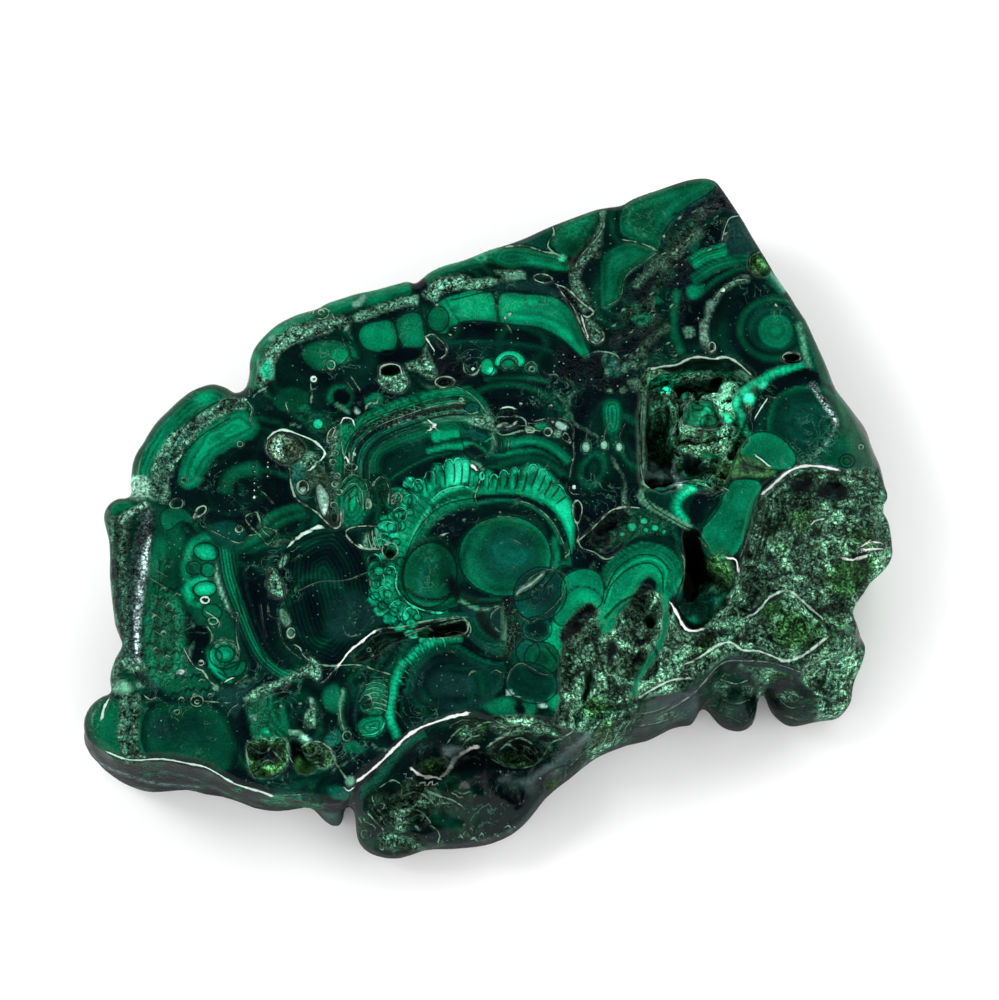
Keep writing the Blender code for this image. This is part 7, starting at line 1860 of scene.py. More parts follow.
    # thin shells of the shoulder
    for s, w, name in ((0.972, 1.3, "bright"), (0.94, 1.9, "ink"), (0.905, 1.0, "mint"), (0.87, 1.6, "ink"),
                       (0.835, 1.1, "bright"), (0.80, 1.5, "deep"), (0.76, 1.0, "leaf")):
        vein([(455 + (x - 455) * s, 500 + (y - 500) * s) for x, y in upper[:9]], w, name)
    p.lift([(434, 534), (452, 534), (464, 556), (464, 588), (450, 600), (440, 576)], 0.45, 6)
    p.lift([(276, 540), (330, 525), (360, 560), (366, 640), (330, 680), (290, 650), (270, 600)], 0.78, 8)

    # ------------------------------------------------ quieter pale belts and a greener dark field at the upper right
    p.lift([(603, 206), (612, 212), (604, 250), (590, 280), (592, 305), (606, 330), (602, 346), (584, 340), (566, 305),
            (564, 275), (578, 245), (594, 222)], 0.62, 5)
    p.lift([(750, 268), (756, 284), (728, 304), (716, 338), (716, 354), (696, 350), (694, 315), (710, 288), (730, 272)],
           0.60, 5)
    p.lift([(600, 350), (650, 348), (656, 400), (612, 404), (598, 380)], 0.66, 6)
    p.lift([(656, 300), (668, 292), (664, 316), (652, 322)], 0.7, 4)
    for pts, w, name in (([(668, 252), (690, 226), (716, 208), (740, 200)], 5, "moss"),
                         ([(662, 268), (684, 244), (700, 232)], 4, "dust"),
                         ([(700, 214), (716, 204), (726, 196)], 3.4, "grey"),
                         ([(650, 300), (658, 284), (672, 272)], 4, "moss"),
                         ([(622, 318), (640, 306), (654, 300)], 4.4, "moss"),
                         ([(612, 344), (630, 334), (648, 330), (660, 318)], 3.6, "pine"),
                         ([(640, 352), (654, 338), (668, 326)], 3.0, "dust"),
                         ([(636, 286), (650, 272), (660, 258)], 3.4, "dust"),
                         ([(716, 190), (726, 204), (738, 214), (752, 224)], 4, "slate")):
        belt(pts, "-%g:%s %g:%s" % (w, name, w, name), soft=4, fade=5, grain=0.9, wobble=1.4, speck=0.3)
    for x, y in ((676, 214), (690, 208), (701, 222), (712, 214), (684, 236), (672, 262), (660, 250), (648, 290), (640, 320),
                 (628, 328), (616, 334), (650, 312), (668, 302), (682, 256), (722, 230), (706, 246), (736, 208), (654, 346),
                 (634, 346), (622, 352), (644, 366), (664, 340), (672, 352), (610, 322), (620, 306)):
        vein([(x - 3.4, y + 1.6), (x - 1, y - 1.4), (x + 1.4, y + 0.8), (x + 3.8, y - 1.6)], 1.8, "ink")
        vein([(x + 3, y + 4), (x + 4.6, y + 3)], 2.2, "mint")
    # lower-left nodule and the olive patches on the flank of the ledge
    p.lift([(536, 770), (552, 768), (568, 784), (568, 800), (552, 804), (538, 792)], 0.5, 4)
    # the field stays dark, and the broken ground runs down to the edge between the ledge and the front
    p.lift([(634, 296), (640, 276), (664, 248), (690, 222), (716, 198), (732, 190), (742, 204), (724, 222), (700, 242),
            (680, 262), (662, 286), (646, 306)], 0.40, 7)
    p.lift([(624, 356), (640, 330), (664, 316), (674, 322), (664, 342), (644, 362)], 0.42, 6)
    p.lift([(604, 330), (624, 312), (656, 296), (662, 306), (640, 324), (616, 348)], 0.55, 6)
    blob([(588, 722), (604, 712), (622, 704), (640, 698), (646, 706), (642, 722), (630, 738), (614, 750), (600, 762),
          (588, 768), (582, 752)], "0:deep 3:moss 7:dust 16:moor", soft=4, grain=1.0, rough=0.5)
    blob([(598, 726), (610, 720), (616, 730), (606, 742), (596, 740)], "0:olive 3:lime", soft=4, grain=0.8, rough=0.5)
    for pts in ([(590, 752), (600, 738), (606, 722)], [(606, 756), (614, 742), (612, 728), (620, 712)],
                [(618, 748), (626, 734), (634, 716)], [(628, 738), (636, 722), (640, 706)],
                [(592, 734), (602, 730), (612, 734)], [(620, 722), (630, 718), (638, 712)]):
        vein(pts, 2.4, "ink")
    for pts in ([(596, 750), (604, 742), (608, 732)], [(612, 744), (618, 732), (624, 722)], [(624, 730), (630, 722)],
                [(600, 760), (608, 752)]):
        vein(pts, 1.4, "mint")
    p.lift([(756, 262), (764, 284), (736, 300), (724, 322), (722, 358), (688, 358), (688, 316), (704, 286), (730, 266)],
           0.62, 2)
    p.lift([(614, 200), (620, 214), (608, 262), (598, 290), (600, 308), (612, 330), (604, 352), (580, 346), (560, 308),
            (558, 272), (574, 240), (592, 214)], 0.72, 2)
    p.lift([(676, 320), (696, 320), (696, 346), (676, 346)], 0.6, 2)
    p.lift([(240, 330), (300, 300), (420, 270), (560, 230), (600, 250), (570, 290), (440, 330), (300, 360), (256, 380)],
           0.90, 10)
    p.lift([(96, 500), (150, 496), (164, 560), (160, 690), (120, 700), (104, 600)], 0.82, 8)
    # thin pale threads and dark joints that tie the rim of the left flank together
    for pts in ([(150, 640), (158, 600), (160, 560)], [(170, 450), (190, 420), (220, 400)], [(168, 476), (196, 440), (230, 418)],
                [(300, 340), (340, 326), (380, 318)], [(452, 300), (500, 290), (548, 296)], [(420, 300), (424, 330), (430, 352)]):
        vein(pts, 1.2, "deep")

    # honeycomb left of the eye: uneven cells with bright rims
    for k, (x, y, rx, ry) in enumerate(((411, 483, 7, 6), (401, 495, 7, 5.6), (414, 498, 6, 5), (401, 510, 7.5, 5.4),
                                        (387, 520, 7, 5), (398, 524, 6.4, 5), (382, 531, 7.5, 4.8), (394, 535, 6, 4.4),
                                        (402, 539, 5, 5), (379, 541, 6.6, 4.6), (391, 546, 6, 5), (376, 589, 6, 6),
                                        (386, 583, 5, 5), (374, 600, 6, 5), (385, 597, 6, 5.4), (381, 611, 6.6, 5),
                                        (393, 608, 6, 5), (390, 619, 6.6, 4.6), (402, 617, 5.4, 4.6), (400, 627, 6.6, 4.4),
                                        (411, 624, 5.4, 4.6), (412, 634, 6.4, 4.2), (424, 631, 5.4, 4.4),
                                        (425, 640, 6.6, 3.8))):
        ring_points = [(x + rx * cos(a) * (1 + 0.22 * sin(2.3 * k + 3 * a)), y + ry * sin(a) * (1 + 0.18 * cos(1.7 * k + 2 * a)))
                       for a in (0.0, 0.8, 1.6, 2.4, 3.1, 3.9, 4.7, 5.5)]
        blob(ring_points, ("0:deep 0.8:glow 2:bright 3.4:leaf 6:moss", "0:deep 1:bright 2.2:vivid 4:leaf",
                           "0:deep 0.8:vivid 2.4:leaf 5:bright")[k % 3], soft=0.8)
    for pts in ([(404, 488), (396, 500), (394, 514), (386, 526)], [(408, 500), (406, 512), (400, 522)],
                [(376, 582), (380, 596), (386, 606), (396, 614)], [(398, 620), (410, 628), (424, 634)],
                [(384, 546), (388, 536), (394, 528)]):
        vein(pts, 1.3, "deep")

    # mottled wall and grey foot of the slot, and the greener patches of the broken ground
    blob([(650, 404), (662, 398), (670, 410), (674, 436), (670, 462), (660, 466), (650, 456), (648, 430)],
         "0:ink 3:moss 7:dust 12:moss", soft=3, grain=0.9, rough=0.5)
    # the wall and foot of the slot lightened: painted light against its shade
    p.lift([(648, 400), (664, 394), (676, 410), (680, 440), (676, 470), (684, 486), (648, 488), (644, 440)], 2.6, 3)
    p.lift([(648, 462), (662, 466), (678, 482), (650, 487)], 1.5, 3)
    p.lift([(738, 386), (758, 386), (758, 410), (738, 410)], 0.6, 4)
    blob([(842, 556), (866, 552), (879, 562), (870, 580), (852, 598), (834, 596), (828, 576)], "0:moor 4:lime 9:olive",
         soft=5, grain=0.9, rough=0.5)
    blob([(772, 526), (790, 518), (804, 528), (800, 544), (784, 552), (770, 544)], "0:moor 4:lime 9:moor", soft=5,
         grain=0.9, rough=0.5)
    blob([(814, 620), (832, 612), (846, 622), (838, 638), (820, 640)], "0:moor 4:lime 9:moor", soft=5, grain=0.9,
         rough=0.5)
    blob([(756, 600), (774, 594), (786, 606), (776, 620), (760, 618)], "0:moor 4:olive 9:lime", soft=5, grain=0.9,
         rough=0.5)

    # ------------------------------------------------ lower left: mottled body, lighter pits, one unbroken toothed band
    blob([(146, 600), (160, 590), (182, 604), (186, 640), (184, 668), (168, 684), (150, 680), (144, 650)],
         "0:moss 5:leaf 12:moss", soft=8, grain=0.55, period=9, amp=0.2)
    for x, y in ((150, 612), (158, 628), (151, 644), (162, 652), (170, 612), (176, 632), (168, 668), (154, 668), (178, 652),
                 (164, 600), (172, 590), (158, 584), (180, 676), (190, 690), (176, 694), (205, 690), (196, 676)):
        vein([(x - 5, y + 2), (x - 2, y - 2), (x + 2, y + 1), (x + 5, y - 3)], 2.2, "ink")
        vein([(x + 3, y + 5), (x + 5, y + 3), (x + 7, y + 4)], 1.8, "mint")
    p.lift([(246, 738), (268, 736), (290, 742), (288, 768), (268, 780), (250, 772)], 2.6, 3)
    p.lift([(292, 740), (312, 736), (336, 748), (334, 768), (312, 776), (296, 764)], 2.4, 3)
    for pts in ([(252, 748), (262, 754), (270, 748)], [(258, 766), (268, 760), (278, 766)], [(274, 752), (282, 760)],
                [(300, 750), (310, 756), (318, 750)], [(306, 766), (318, 762), (326, 766)]):
        vein(pts, 2.2, "mint")
    p.lift([(146, 702), (190, 696), (224, 710), (236, 740), (230, 766), (196, 768), (160, 756), (146, 730)], 0.80, 8)
    p.lift([(206, 640), (226, 632), (246, 646), (248, 668), (238, 684), (218, 676), (206, 658)], 0.72, 6)
    p.lift([(226, 560), (250, 556), (262, 620), (284, 676), (270, 684), (246, 650), (232, 600)], 0.74, 6)
    for pts in ([(214, 648), (222, 654), (220, 664)], [(234, 650), (240, 660), (236, 670)], [(224, 640), (232, 646)],
                [(218, 672), (228, 678), (236, 676)], [(248, 620), (256, 640), (266, 660)], [(236, 590), (242, 614)]):
        vein(pts, 2.0, "ink")
    belt([(404, 662), (397, 680), (392, 698), (391, 718), (398, 736)], "-8:ink -6:moss -4:bright 0:vivid 3:leaf 5:deep 7:ink",
         soft=1, fade=3, cell=5, camp=0.5, wobble=0.9)
    belt([(410, 668), (404, 684), (400, 700), (400, 718), (406, 732)], "-2:ink 2:navy", soft=1, fade=3)

    # ------------------------------------------------ ledge: glossy dark front, livelier pit and a grey sheen behind it
    p.lift([(430, 806), (450, 790), (500, 782), (556, 772), (566, 790), (540, 826), (520, 850), (470, 860), (436, 852)],
           0.40, 7)
    for x, y in ((460, 836), (466, 832), (474, 838), (481, 833), (488, 838), (496, 834), (508, 826), (470, 828)):
        vein([(x - 2, y + 1), (x, y - 1), (x + 2, y + 1)], 1.8, "mint")
    p.lift([(488, 744), (508, 732), (540, 738), (554, 754), (536, 770), (506, 768)], 2.3, 4)
    for pts, name in (([(500, 750), (508, 744), (516, 750)], "mint"), ([(512, 760), (522, 754), (530, 760)], "mint"),
                      ([(524, 746), (532, 750), (538, 758)], "mint"), ([(496, 758), (504, 764), (512, 764)], "mint"),
                      ([(448, 742), (456, 732), (464, 726)], "mint"), ([(462, 746), (470, 738), (478, 736)], "mint"),
                      ([(478, 726), (488, 722), (498, 724)], "mint"), ([(446, 756), (454, 762), (462, 760)], "ink"),
                      ([(470, 752), (474, 742), (482, 734)], "ink"), ([(440, 740), (450, 734), (458, 724)], "ink"),
                      ([(484, 744), (490, 734), (500, 728)], "ink"), ([(508, 730), (520, 726), (532, 730)], "ink")):
        vein(pts, 2.2, name)
    belt([(587, 736), (568, 752), (548, 768), (526, 782), (500, 780)], "-4:slate -1.5:grey 1.5:grey 4:slate", soft=3, fade=6)

    p.shells(centres, 0.6)
    return p


# ---------------------------------------------------------------- pattern and relief carried to the surface
def numbers(collection, name, width):
    out = np.empty(len(collection) * width, np.float32)
    collection.foreach_get(name, out)
    return out.reshape(-1, width).astype(float)


def folds(x, y, z):
    """Ridges of the broken parts, one on a crest and nought in a crevice."""
    n = noise(x / 4.6, y / 4.6, z / 4.6, 303) + 0.35 * noise(x / 1.9, y / 1.9, z / 1.9, 304)
    return np.clip(1 - 3.0 * np.abs(n), 0, 1)


def roughen(mesh, low, high):
    """The broken parts are worn into grains, folds and crevices, always inwards."""
    at = numbers(mesh.vertices, "co", 3) * 1000
    out = numbers(mesh.vertex_normals, "vector", 3)
    u, v = sheet(at[:, 0], at[:, 1], at[:, 2])
    p = pattern(u, v)
    how = step(p.field["rough"], 0.25, 0.45) * step(at[:, 2], 0.2, 1.2) * step(out[:, 2], 0.1, 0.6)
    x, y, z = at.T
    crevice = 0.5 + 0.9 * noise(x / 1.5, y / 1.5, z / 1.5, 301) + 0.6 * noise(x / 0.9, y / 0.9, z / 0.9, 302)
    sink = how * (np.clip(crevice, 0, 1.4) * 0.42 + 0.9 * (1 - folds(x, y, z)) ** 2)
    at = np.clip(at - out * sink[:, None], low, high)
    mesh.vertices.foreach_set("co", (at * 0.001).astype(np.float32).ravel())
    mesh.update()


def paint(mesh):
    at = numbers(mesh.vertices, "co", 3) * 1000
    out = numbers(mesh.vertex_normals, "vector", 3)
    x, y, z = at.T
    u, v = sheet(x, y, z)
    eye = np.array([SHEET_AIM[0], SHEET_AIM[1] - SHEET_REACH * cos(SHEET_TILT), TOP + SHEET_REACH * sin(SHEET_TILT)])
    to_eye = eye - at
    facing = (out * to_eye).sum(1) / np.linalg.norm(to_eye, axis=1)
    turned = (1 - step(facing, -0.2, 0.08)) * (1 - step(z, TOP - 9, TOP - 2))
    u = u + turned * (38 * noise(x / 16, y / 16, z / 16, 311) + 12 * noise(x / 6, y / 6, z / 6, 312))
    v = v + turned * (38 * noise(x / 16, y / 16, z / 16, 313) + 12 * noise(x / 6, y / 6, z / 6, 314))
    p = pattern(u, v)
    lines = laid_lines(p)
    f = p.field
    under = 1 - step(z, 0.02, 0.6)
    broken = step(f["rough"], 0.25, 0.45)
    # over the broken parts: painted shade in the crevices of the folds and painted light on their crests
    crest = folds(x, y, z)
    p.col *= (1 - broken * (0.40 - 1.5 * crest))[:, None]
    # painted shade: the steep smooth sides darkened
    wall = (1 - step(out[:, 2], 0.05, 0.45)) * (1 - broken)
    p.col *= (1 - 0.4 * wall)[:, None]
    rough = np.maximum(np.maximum(f["rough"], 0.34 * under), 0.55 * wall)

    def keep(name, kind, field, values):
        mesh.attributes.new(name, kind, "POINT").data.foreach_set(field, np.asarray(values, np.float32).ravel())

    hidden = 1 - 0.55 * turned
    keep("stone_colour", "FLOAT_COLOR", "color", np.column_stack([p.col, rough]))
    keep("stone_line", "FLOAT_COLOR", "color", np.column_stack([lines["line_colour"], under]))
    keep("stone_wave", "FLOAT_VECTOR", "vector", np.column_stack([f["band"], f["amp"], f["speck"]]))
    keep("stone_cell", "FLOAT_VECTOR", "vector", np.column_stack([f["cell"], f["camp"], f["grain"]]))
    d, m = lines["pale"]
    m = m * hidden[:, None]
    for k in range(2):
        keep(f"stone_pale_{k}", "FLOAT_VECTOR", "vector", d[:, 3 * k:3 * k + 3])
        keep(f"stone_pale_mask_{k}", "FLOAT_VECTOR", "vector", m[:, 3 * k:3 * k + 3])
    d, m = lines["dark"]
    keep("stone_dark", "FLOAT_VECTOR", "vector", d)
    keep("stone_dark_mask", "FLOAT_VECTOR", "vector", m)


def unfold(mesh):
    """A map of the surface without overlaps: the seen side, the underside, and the walls in four strips."""
    n = len(mesh.polygons)
    size = np.empty(n, np.int32)
    mesh.polygons.foreach_get("loop_total", size)
    face = np.repeat(np.arange(n), size)
    normal = numbers(mesh.polygons, "normal", 3)[face]
    middle = numbers(mesh.polygons, "center", 3)[face]
    corner = np.empty(len(mesh.loops), np.int32)
    mesh.loops.foreach_get("vertex_index", corner)
    at = numbers(mesh.vertices, "co", 3)[corner]
    low, high = at.min(0), at.max(0)
    share = (at - low) / (high - low)
    turn = np.arctan2(at[:, 1], at[:, 0])
    centre = np.arctan2(middle[:, 1], middle[:, 0])
    turn = centre + (turn - centre + np.pi) % (2 * np.pi) - np.pi
    round_ = (centre + np.pi) / (2 * np.pi) * 4
    row = np.clip(np.floor(round_), 0, 3)
    way = (turn + np.pi) / (2 * np.pi) * 4 - row
    uv = np.column_stack([0.01 + 0.80 * share[:, 0], 0.30 + 0.69 * share[:, 1]])
    wall = np.column_stack([0.345 + 0.62 * way, 0.01 + 0.068 * row + 0.058 * share[:, 2]])
    flat = np.column_stack([0.01 + 0.31 * share[:, 0], 0.01 + 0.27 * share[:, 1]])
    uv = np.where((normal[:, 2] < 0.12)[:, None], wall, uv)
    uv = np.where((normal[:, 2] < -0.8)[:, None], flat, uv)
    layer = mesh.uv_layers.new(name="OFBake")
    layer.uv.foreach_set("vector", uv.astype(np.float32).ravel())


# ---------------------------------------------------------------- material
def malachite():
    mat = bpy.data.materials.new("malachite")
    mat.use_nodes = True
    nt = mat.node_tree
    shader = nt.nodes["Principled BSDF"]

    def put(socket, value):
        if isinstance(value, bpy.types.NodeSocket):
            nt.links.new(value, socket)
        else:
            socket.default_value = value

    def maths(how, *values, clamp=False):
        node = nt.nodes.new("ShaderNodeMath")
        node.operation, node.use_clamp = how, clamp
        for socket, value in zip(node.inputs, values):
            put(socket, value)
        return node.outputs[0]

    def vectors(how, *values):
        node = nt.nodes.new("ShaderNodeVectorMath")
        node.operation = how
        for socket, value in zip(node.inputs, values):
            put(socket, value)
        return node.outputs[0]

    def span(value, a, b, c, d):
        node = nt.nodes.new("ShaderNodeMapRange")
        node.interpolation_type = "SMOOTHSTEP"
        put(node.inputs["Value"], value)
        for name, number in (("From Min", a), ("From Max", b), ("To Min", c), ("To Max", d)):
            node.inputs[name].default_value = number
        return node.outputs["Result"]

    def span3(value, a, b, c, d):
        node = nt.nodes.new("ShaderNodeMapRange")
        node.data_type, node.interpolation_type = "FLOAT_VECTOR", "SMOOTHSTEP"
        put(node.inputs[6], value)
        for at, number in ((7, a), (8, b), (9, c), (10, d)):
            node.inputs[at].default_value = (number, number, number)
        return node.outputs["Vector"]

    def parts(value):
        node = nt.nodes.new("ShaderNodeSeparateXYZ")
        put(node.inputs[0], value)
        return list(node.outputs)

    def held(name, output="Vector"):
        node = nt.nodes.new("ShaderNodeAttribute")
        node.attribute_type, node.attribute_name = "GEOMETRY", name
        return node if output is None else node.outputs[output]

    def mixed(how, factor, a, b):
        node = nt.nodes.new("ShaderNodeMix")
        node.data_type, node.blend_type = "RGBA", how
        put(node.inputs["Factor"], factor)
        put(node.inputs[6], a)
        put(node.inputs[7], b)
        return node.outputs[2]

    def highest(values):
        best = values[0]
        for value in values[1:]:
            best = maths("MAXIMUM", best, value)
        return best

    def grains(size_mm, detail=2.0, twist=0.0, rough=0.55):
        node = nt.nodes.new("ShaderNodeTexNoise")
        put(node.inputs["Vector"], place)
        node.inputs["Scale"].default_value = 1000 / size_mm
        node.inputs["Detail"].default_value = detail
        node.inputs["Roughness"].default_value = rough
        node.inputs["Distortion"].default_value = twist
        return node.outputs["Fac"]

    place = nt.nodes.new("ShaderNodeTexCoord").outputs["Object"]
    body, line = held("stone_colour", None), held("stone_line", None)
    band, amp, speck = parts(held("stone_wave"))
    cell, camp, grain = parts(held("stone_cell"))

    colour = body.outputs["Color"]
    # fine bands
    wave = maths("COSINE", maths("MULTIPLY", band, 2 * np.pi))
    gain = maths("MULTIPLY_ADD", maths("MULTIPLY", wave, amp), 1.05, 1.0)
    # radial cells
    rib = maths("POWER", maths("ABSOLUTE", maths("COSINE", maths("MULTIPLY", cell, np.pi))), 8.0)
    gain = maths("MULTIPLY", gain, maths("SUBTRACT", 1.0, maths("MULTIPLY", rib, maths("MULTIPLY", camp, 0.7))))
    # crystal grain: its own mottling, with painted shade in the low places of the bump below and painted light on the
    # high ones
    coarse, fine = grains(0.95, 3.0, 0.8, 0.62), grains(0.38, 2.0)
    heap = maths("ADD", maths("MULTIPLY", maths("SUBTRACT", coarse, 0.5), 3.6),
                 maths("MULTIPLY", maths("SUBTRACT", fine, 0.5), 1.6))
    heap = span(heap, -0.5, 0.6, 0.08, 2.0)
    gain = maths("MULTIPLY", gain, maths("MULTIPLY_ADD", maths("SUBTRACT", heap, 1.0), grain, 1.0))
    # winding crevices between the grains: painted shade in them, and each grain its own random lightness
    shove = nt.nodes.new("ShaderNodeTexNoise")
    put(shove.inputs["Vector"], place)
    shove.inputs["Scale"].default_value = 1000 / 1.3
    shove.inputs["Detail"].default_value = 2.0
    pushed = vectors("ADD", place, vectors("MULTIPLY", vectors("SUBTRACT", shove.outputs["Color"], (0.5, 0.5, 0.5)),
                                           (0.0018, 0.0018, 0.0018)))
    lumps, edges = (nt.nodes.new("ShaderNodeTexVoronoi") for _ in range(2))
    edges.feature = "DISTANCE_TO_EDGE"
    for node in (lumps, edges):
        put(node.inputs["Vector"], pushed)
        node.inputs["Scale"].default_value = 1000 / 0.92
    lump = maths("MULTIPLY", span(edges.outputs["Distance"], 0.02, 0.17, 0.12, 1.1),
                 span(parts(lumps.outputs["Color"])[0], 0.1, 0.9, 0.95, 1.65))
    share = span(grain, 0.55, 0.95, 0.0, 0.85)
    gain = maths("MULTIPLY", gain, maths("MULTIPLY_ADD", maths("SUBTRACT", lump, 1.0), share, 1.0))
    gain = maths("MAXIMUM", gain, 0.03)
    # slight unevenness everywhere
    wide = grains(5.0, 3.0)
    gain = maths("MULTIPLY", gain, span(wide, 0.32, 0.68, 0.70, 1.30))
    gain = maths("MULTIPLY", gain, span(fine, 0.3, 0.7, 0.76, 1.22))
    spread = nt.nodes.new("ShaderNodeCombineXYZ")
    for socket in spread.inputs:
        put(socket, gain)
    colour = vectors("MULTIPLY", colour, spread.outputs[0])

    # tiny pale dots
    dots = nt.nodes.new("ShaderNodeTexVoronoi")
    put(dots.inputs["Vector"], place)
    dots.inputs["Scale"].default_value = 1000 / 0.85
    few = parts(dots.outputs["Color"])[0]
    dot = maths("MULTIPLY", span(dots.outputs["Distance"], 0.08, 0.20, 1.0, 0.0),
                span(few, 0.62, 0.66, 0.0, 1.0))
    strewn = maths("MAXIMUM", speck, span(grains(6.0, 2.0), 0.50, 0.64, 0.0, 0.55))
    colour = mixed("MIX", maths("MULTIPLY", maths("MULTIPLY", dot, strewn), 0.85, clamp=True), colour,
                   (0.20, 0.40, 0.29, 1))

    colour = vectors("MULTIPLY", colour, (0.45, 0.62, 0.63))

    # hair-thin cracks and pale filaments, here and there
    crack = grains(2.3, 3.0, 1.1, 0.62)
    crack = span(maths("ABSOLUTE", maths("SUBTRACT", crack, 0.5)), 0.003, 0.016, 1.0, 0.0)
    crack = maths("MULTIPLY", crack, span(grains(5.5, 2.0), 0.44, 0.58, 0.0, 0.6))
    colour = mixed("MIX", crack, colour, (0.001, 0.008, 0.006, 1))
    thread = grains(3.4, 3.0, 1.4, 0.6)
    thread = span(maths("ABSOLUTE", maths("SUBTRACT", thread, 0.5)), 0.004, 0.017, 1.0, 0.0)
    thread = maths("MULTIPLY", thread, span(grains(7.5, 2.0), 0.52, 0.64, 0.0, 0.24))
    colour = mixed("MIX", thread, colour, (0.10, 0.30, 0.20, 1))

    # drawn lines
    dark = vectors("MULTIPLY", span3(vectors("ABSOLUTE", held("stone_dark")), 0.6, 1.7, 1.0, 0.0),
                   held("stone_dark_mask"))
    colour = mixed("MIX", maths("MULTIPLY", highest(parts(dark)), 0.8), colour, (0.0012, 0.006, 0.006, 1))
    cores, halos = [], []
    uneven = span(grains(1.7, 2.0), 0.34, 0.66, 0.72, 1.9)
    evenly = nt.nodes.new("ShaderNodeCombineXYZ")
    for socket in evenly.inputs:
        put(socket, uneven)
    for k in range(2):
        off, mask = vectors("ABSOLUTE", held(f"stone_pale_{k}")), held(f"stone_pale_mask_{k}")
        thick = vectors("MULTIPLY", off, evenly.outputs[0])
        cores += parts(vectors("MULTIPLY", span3(thick, 0.5, 1.25, 1.0, 0.0), mask))
        halos += parts(vectors("MULTIPLY", span3(off, 1.5, 3.3, 1.0, 0.0), mask))
    core, halo = highest(cores), highest(halos)
    colour = mixed("MIX", maths("MULTIPLY", halo, 0.5), colour, (0.001, 0.006, 0.005, 1))
    broken = span(grains(1.0, 3.0), 0.38, 0.59, 0.08, 0.9)
    # white and frost lines, the painted rim highlights among them, are kept whole
    broken = maths("MAXIMUM", broken, span(parts(line.outputs["Color"])[0], 0.38, 0.52, 0.0, 0.72))
    colour = mixed("MIX", maths("MULTIPLY", core, broken), colour, line.outputs["Color"])
    put(shader.inputs["Base Color"], colour)

    rough = maths("ADD", body.outputs["Alpha"], maths("MULTIPLY", grain, 0.10))
    rough = maths("ADD", rough, maths("MULTIPLY", core, 0.04), clamp=True)
    put(shader.inputs["Roughness"], rough)
    shader.inputs["IOR"].default_value = 1.19

    height = maths("MULTIPLY", maths("MULTIPLY", heap, grain), 0.5)
    height = maths("SUBTRACT", height, maths("MULTIPLY", halo, 0.35))
    height = maths("ADD", height, maths("MULTIPLY", wide, 0.25))
    bump_node = nt.nodes.new("ShaderNodeBump")
    bump_node.inputs["Strength"].default_value = 0.55
    bump_node.inputs["Distance"].default_value = 0.00022
    put(bump_node.inputs["Height"], height)
    put(shader.inputs["Normal"], bump_node.outputs["Normal"])
    return mat


# ---------------------------------------------------------------- mesh of the visible stone
STEP_XY = 0.40
LEVELS = np.concatenate([[-0.7], np.arange(0.25, 15.0, 0.62), np.arange(15.0, 21.6, 0.42)])
MOST_TRIANGLES = 196_000


def visible_stone(box):
    xs, ys = np.arange(-67.3, 67.6, STEP_XY), np.arange(-58.3, 58.6, STEP_XY)
    points, quads = one_shell(*skin(untangled(stone(xs, ys, LEVELS)), (xs, ys, LEVELS)))
    low, high = (np.array(c) * 1000 for c in box)
    points[np.abs(points[:, 2]) < 0.08, 2] = 0.0
    points = np.clip(points, np.maximum(low, (-1e3, -1e3, 0.0)), high)
    mesh = bpy.data.meshes.new("malachite_specimen_surface")
    mesh.from_pydata((points * 0.001).tolist(), [], quads.tolist())
    obj = bpy.data.objects.new("malachite_specimen_surface", mesh)
    bpy.context.scene.collection.objects.link(obj)
    print("before thinning:", len(points), "points", 2 * len(quads), "triangles")

    # the sawn underside is flat and the walls are plain, so they can be thinned far more than the face
    weight = obj.vertex_groups.new(name="thin")
    flat = np.nonzero(points[:, 2] < 0.01)[0]
    weight.add(np.nonzero(points[:, 2] < 16.5)[0].tolist(), 0.3, "REPLACE")
    weight.add(flat.tolist(), 1.0, "REPLACE")
    thin = obj.modifiers.new("thin", "DECIMATE")
    thin.decimate_type = "COLLAPSE"
    thin.vertex_group = "thin"
    thin.vertex_group_factor = 10.0
    thin.ratio = min(1.0, MOST_TRIANGLES / (2 * len(quads)))
    held = bpy.context.evaluated_depsgraph_get()
    done = bpy.data.meshes.new_from_object(obj.evaluated_get(held))
    obj.modifiers.clear()
    obj.data = done
    obj.vertex_groups.clear()
    print("after thinning:", len(done.vertices), "points", len(done.polygons), "faces",
          sum(len(p.vertices) - 2 for p in done.polygons), "triangles")
    return obj


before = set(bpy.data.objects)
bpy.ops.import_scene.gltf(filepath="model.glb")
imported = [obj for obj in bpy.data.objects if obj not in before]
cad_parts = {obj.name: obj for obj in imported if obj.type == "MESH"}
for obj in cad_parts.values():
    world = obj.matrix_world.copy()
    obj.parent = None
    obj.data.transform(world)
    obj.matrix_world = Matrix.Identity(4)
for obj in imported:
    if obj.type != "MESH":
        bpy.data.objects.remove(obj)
cad_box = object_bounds()
stone_obj = visible_stone(cad_box)
stone_obj.data.polygons.foreach_set("use_smooth", [True] * len(stone_obj.data.polygons))
roughen(stone_obj.data, *(np.array(c) * 1000 for c in cad_box))
paint(stone_obj.data)
unfold(stone_obj.data)
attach(stone_obj, "root")
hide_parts("malachite_specimen")

stone_obj.data.materials.append(malachite())

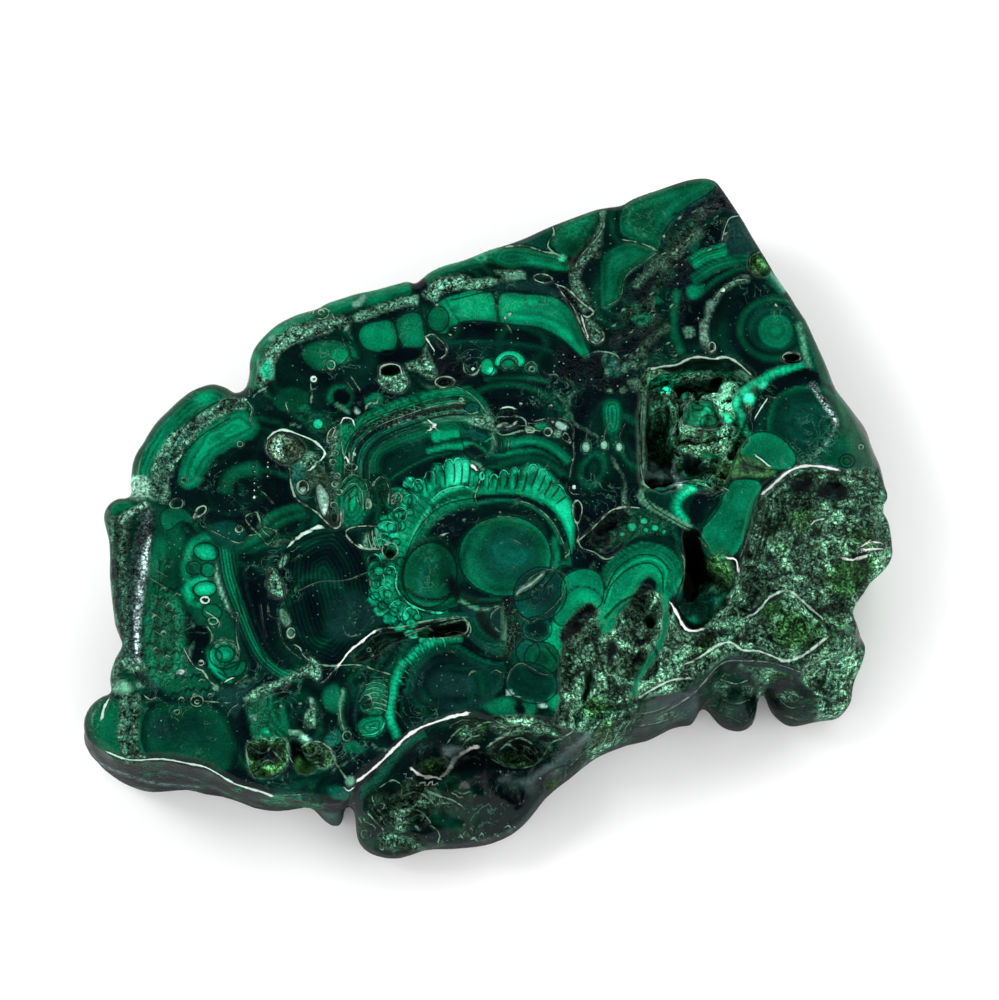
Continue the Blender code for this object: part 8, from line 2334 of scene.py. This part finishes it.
# ---------------------------------------------------------------- floor, light, camera
floor_mesh = bpy.data.meshes.new("floor")
floor_mesh.from_pydata([(-3, -3, 0), (3, -3, 0), (3, 3, 0), (-3, 3, 0)], [], [(0, 1, 2, 3)])
floor = bpy.data.objects.new("floor", floor_mesh)
bpy.context.scene.collection.objects.link(floor)
paper = bpy.data.materials.new("paper")
paper.use_nodes = True
p = paper.node_tree.nodes["Principled BSDF"]
p.inputs["Base Color"].default_value = (0.93, 0.93, 0.93, 1)
p.inputs["Roughness"].default_value = 0.9
p.inputs["Specular IOR Level"].default_value = 0.0
floor_mesh.materials.append(paper)

scene = bpy.context.scene
world = bpy.data.worlds.new("studio")
scene.world = world
world.use_nodes = True
nt = world.node_tree
bg = nt.nodes["Background"]
coord = nt.nodes.new("ShaderNodeTexCoord")
split = nt.nodes.new("ShaderNodeSeparateXYZ")
ramp = nt.nodes.new("ShaderNodeMapRange")
ramp.interpolation_type = "SMOOTHSTEP"
ramp.inputs["From Min"].default_value = sin(radians(44))
ramp.inputs["From Max"].default_value = sin(radians(60))
ramp.inputs["To Min"].default_value = 2.1
ramp.inputs["To Max"].default_value = 0.04
nt.links.new(coord.outputs["Generated"], split.inputs[0])
nt.links.new(split.outputs["Z"], ramp.inputs["Value"])
nt.links.new(ramp.outputs["Result"], bg.inputs["Strength"])
bg.inputs["Color"].default_value = (1, 1, 1, 1)


def plate(name, at, towards, size, watts):
    light = bpy.data.lights.new(name, "AREA")
    light.shape = "DISK"
    light.size = size
    light.energy = watts
    obj = bpy.data.objects.new(name, light)
    scene.collection.objects.link(obj)
    obj.location = at
    from mathutils import Vector
    obj.rotation_euler = (Vector(towards) - Vector(at)).to_track_quat("-Z", "Y").to_euler()
    return obj


plate("soft_left", (-0.55, 0.22, 0.55), (0, 0, 0.01), 0.28, 2.0)

camera = bpy.data.cameras.new("view")
camera.lens, camera.sensor_width, camera.sensor_fit = 85, 36, "HORIZONTAL"
camera.clip_start, camera.clip_end = 0.01, 20
eye = bpy.data.objects.new("view", camera)
scene.collection.objects.link(eye)
eye.location = [w * 0.001 for w in (SHEET_AIM[0], SHEET_AIM[1] - SHEET_REACH * cos(SHEET_TILT),
                                    TOP + SHEET_REACH * sin(SHEET_TILT))]
eye.rotation_euler = (radians(90) - SHEET_TILT, 0, 0)
scene.camera = eye
scene.view_settings.view_transform = "Standard"
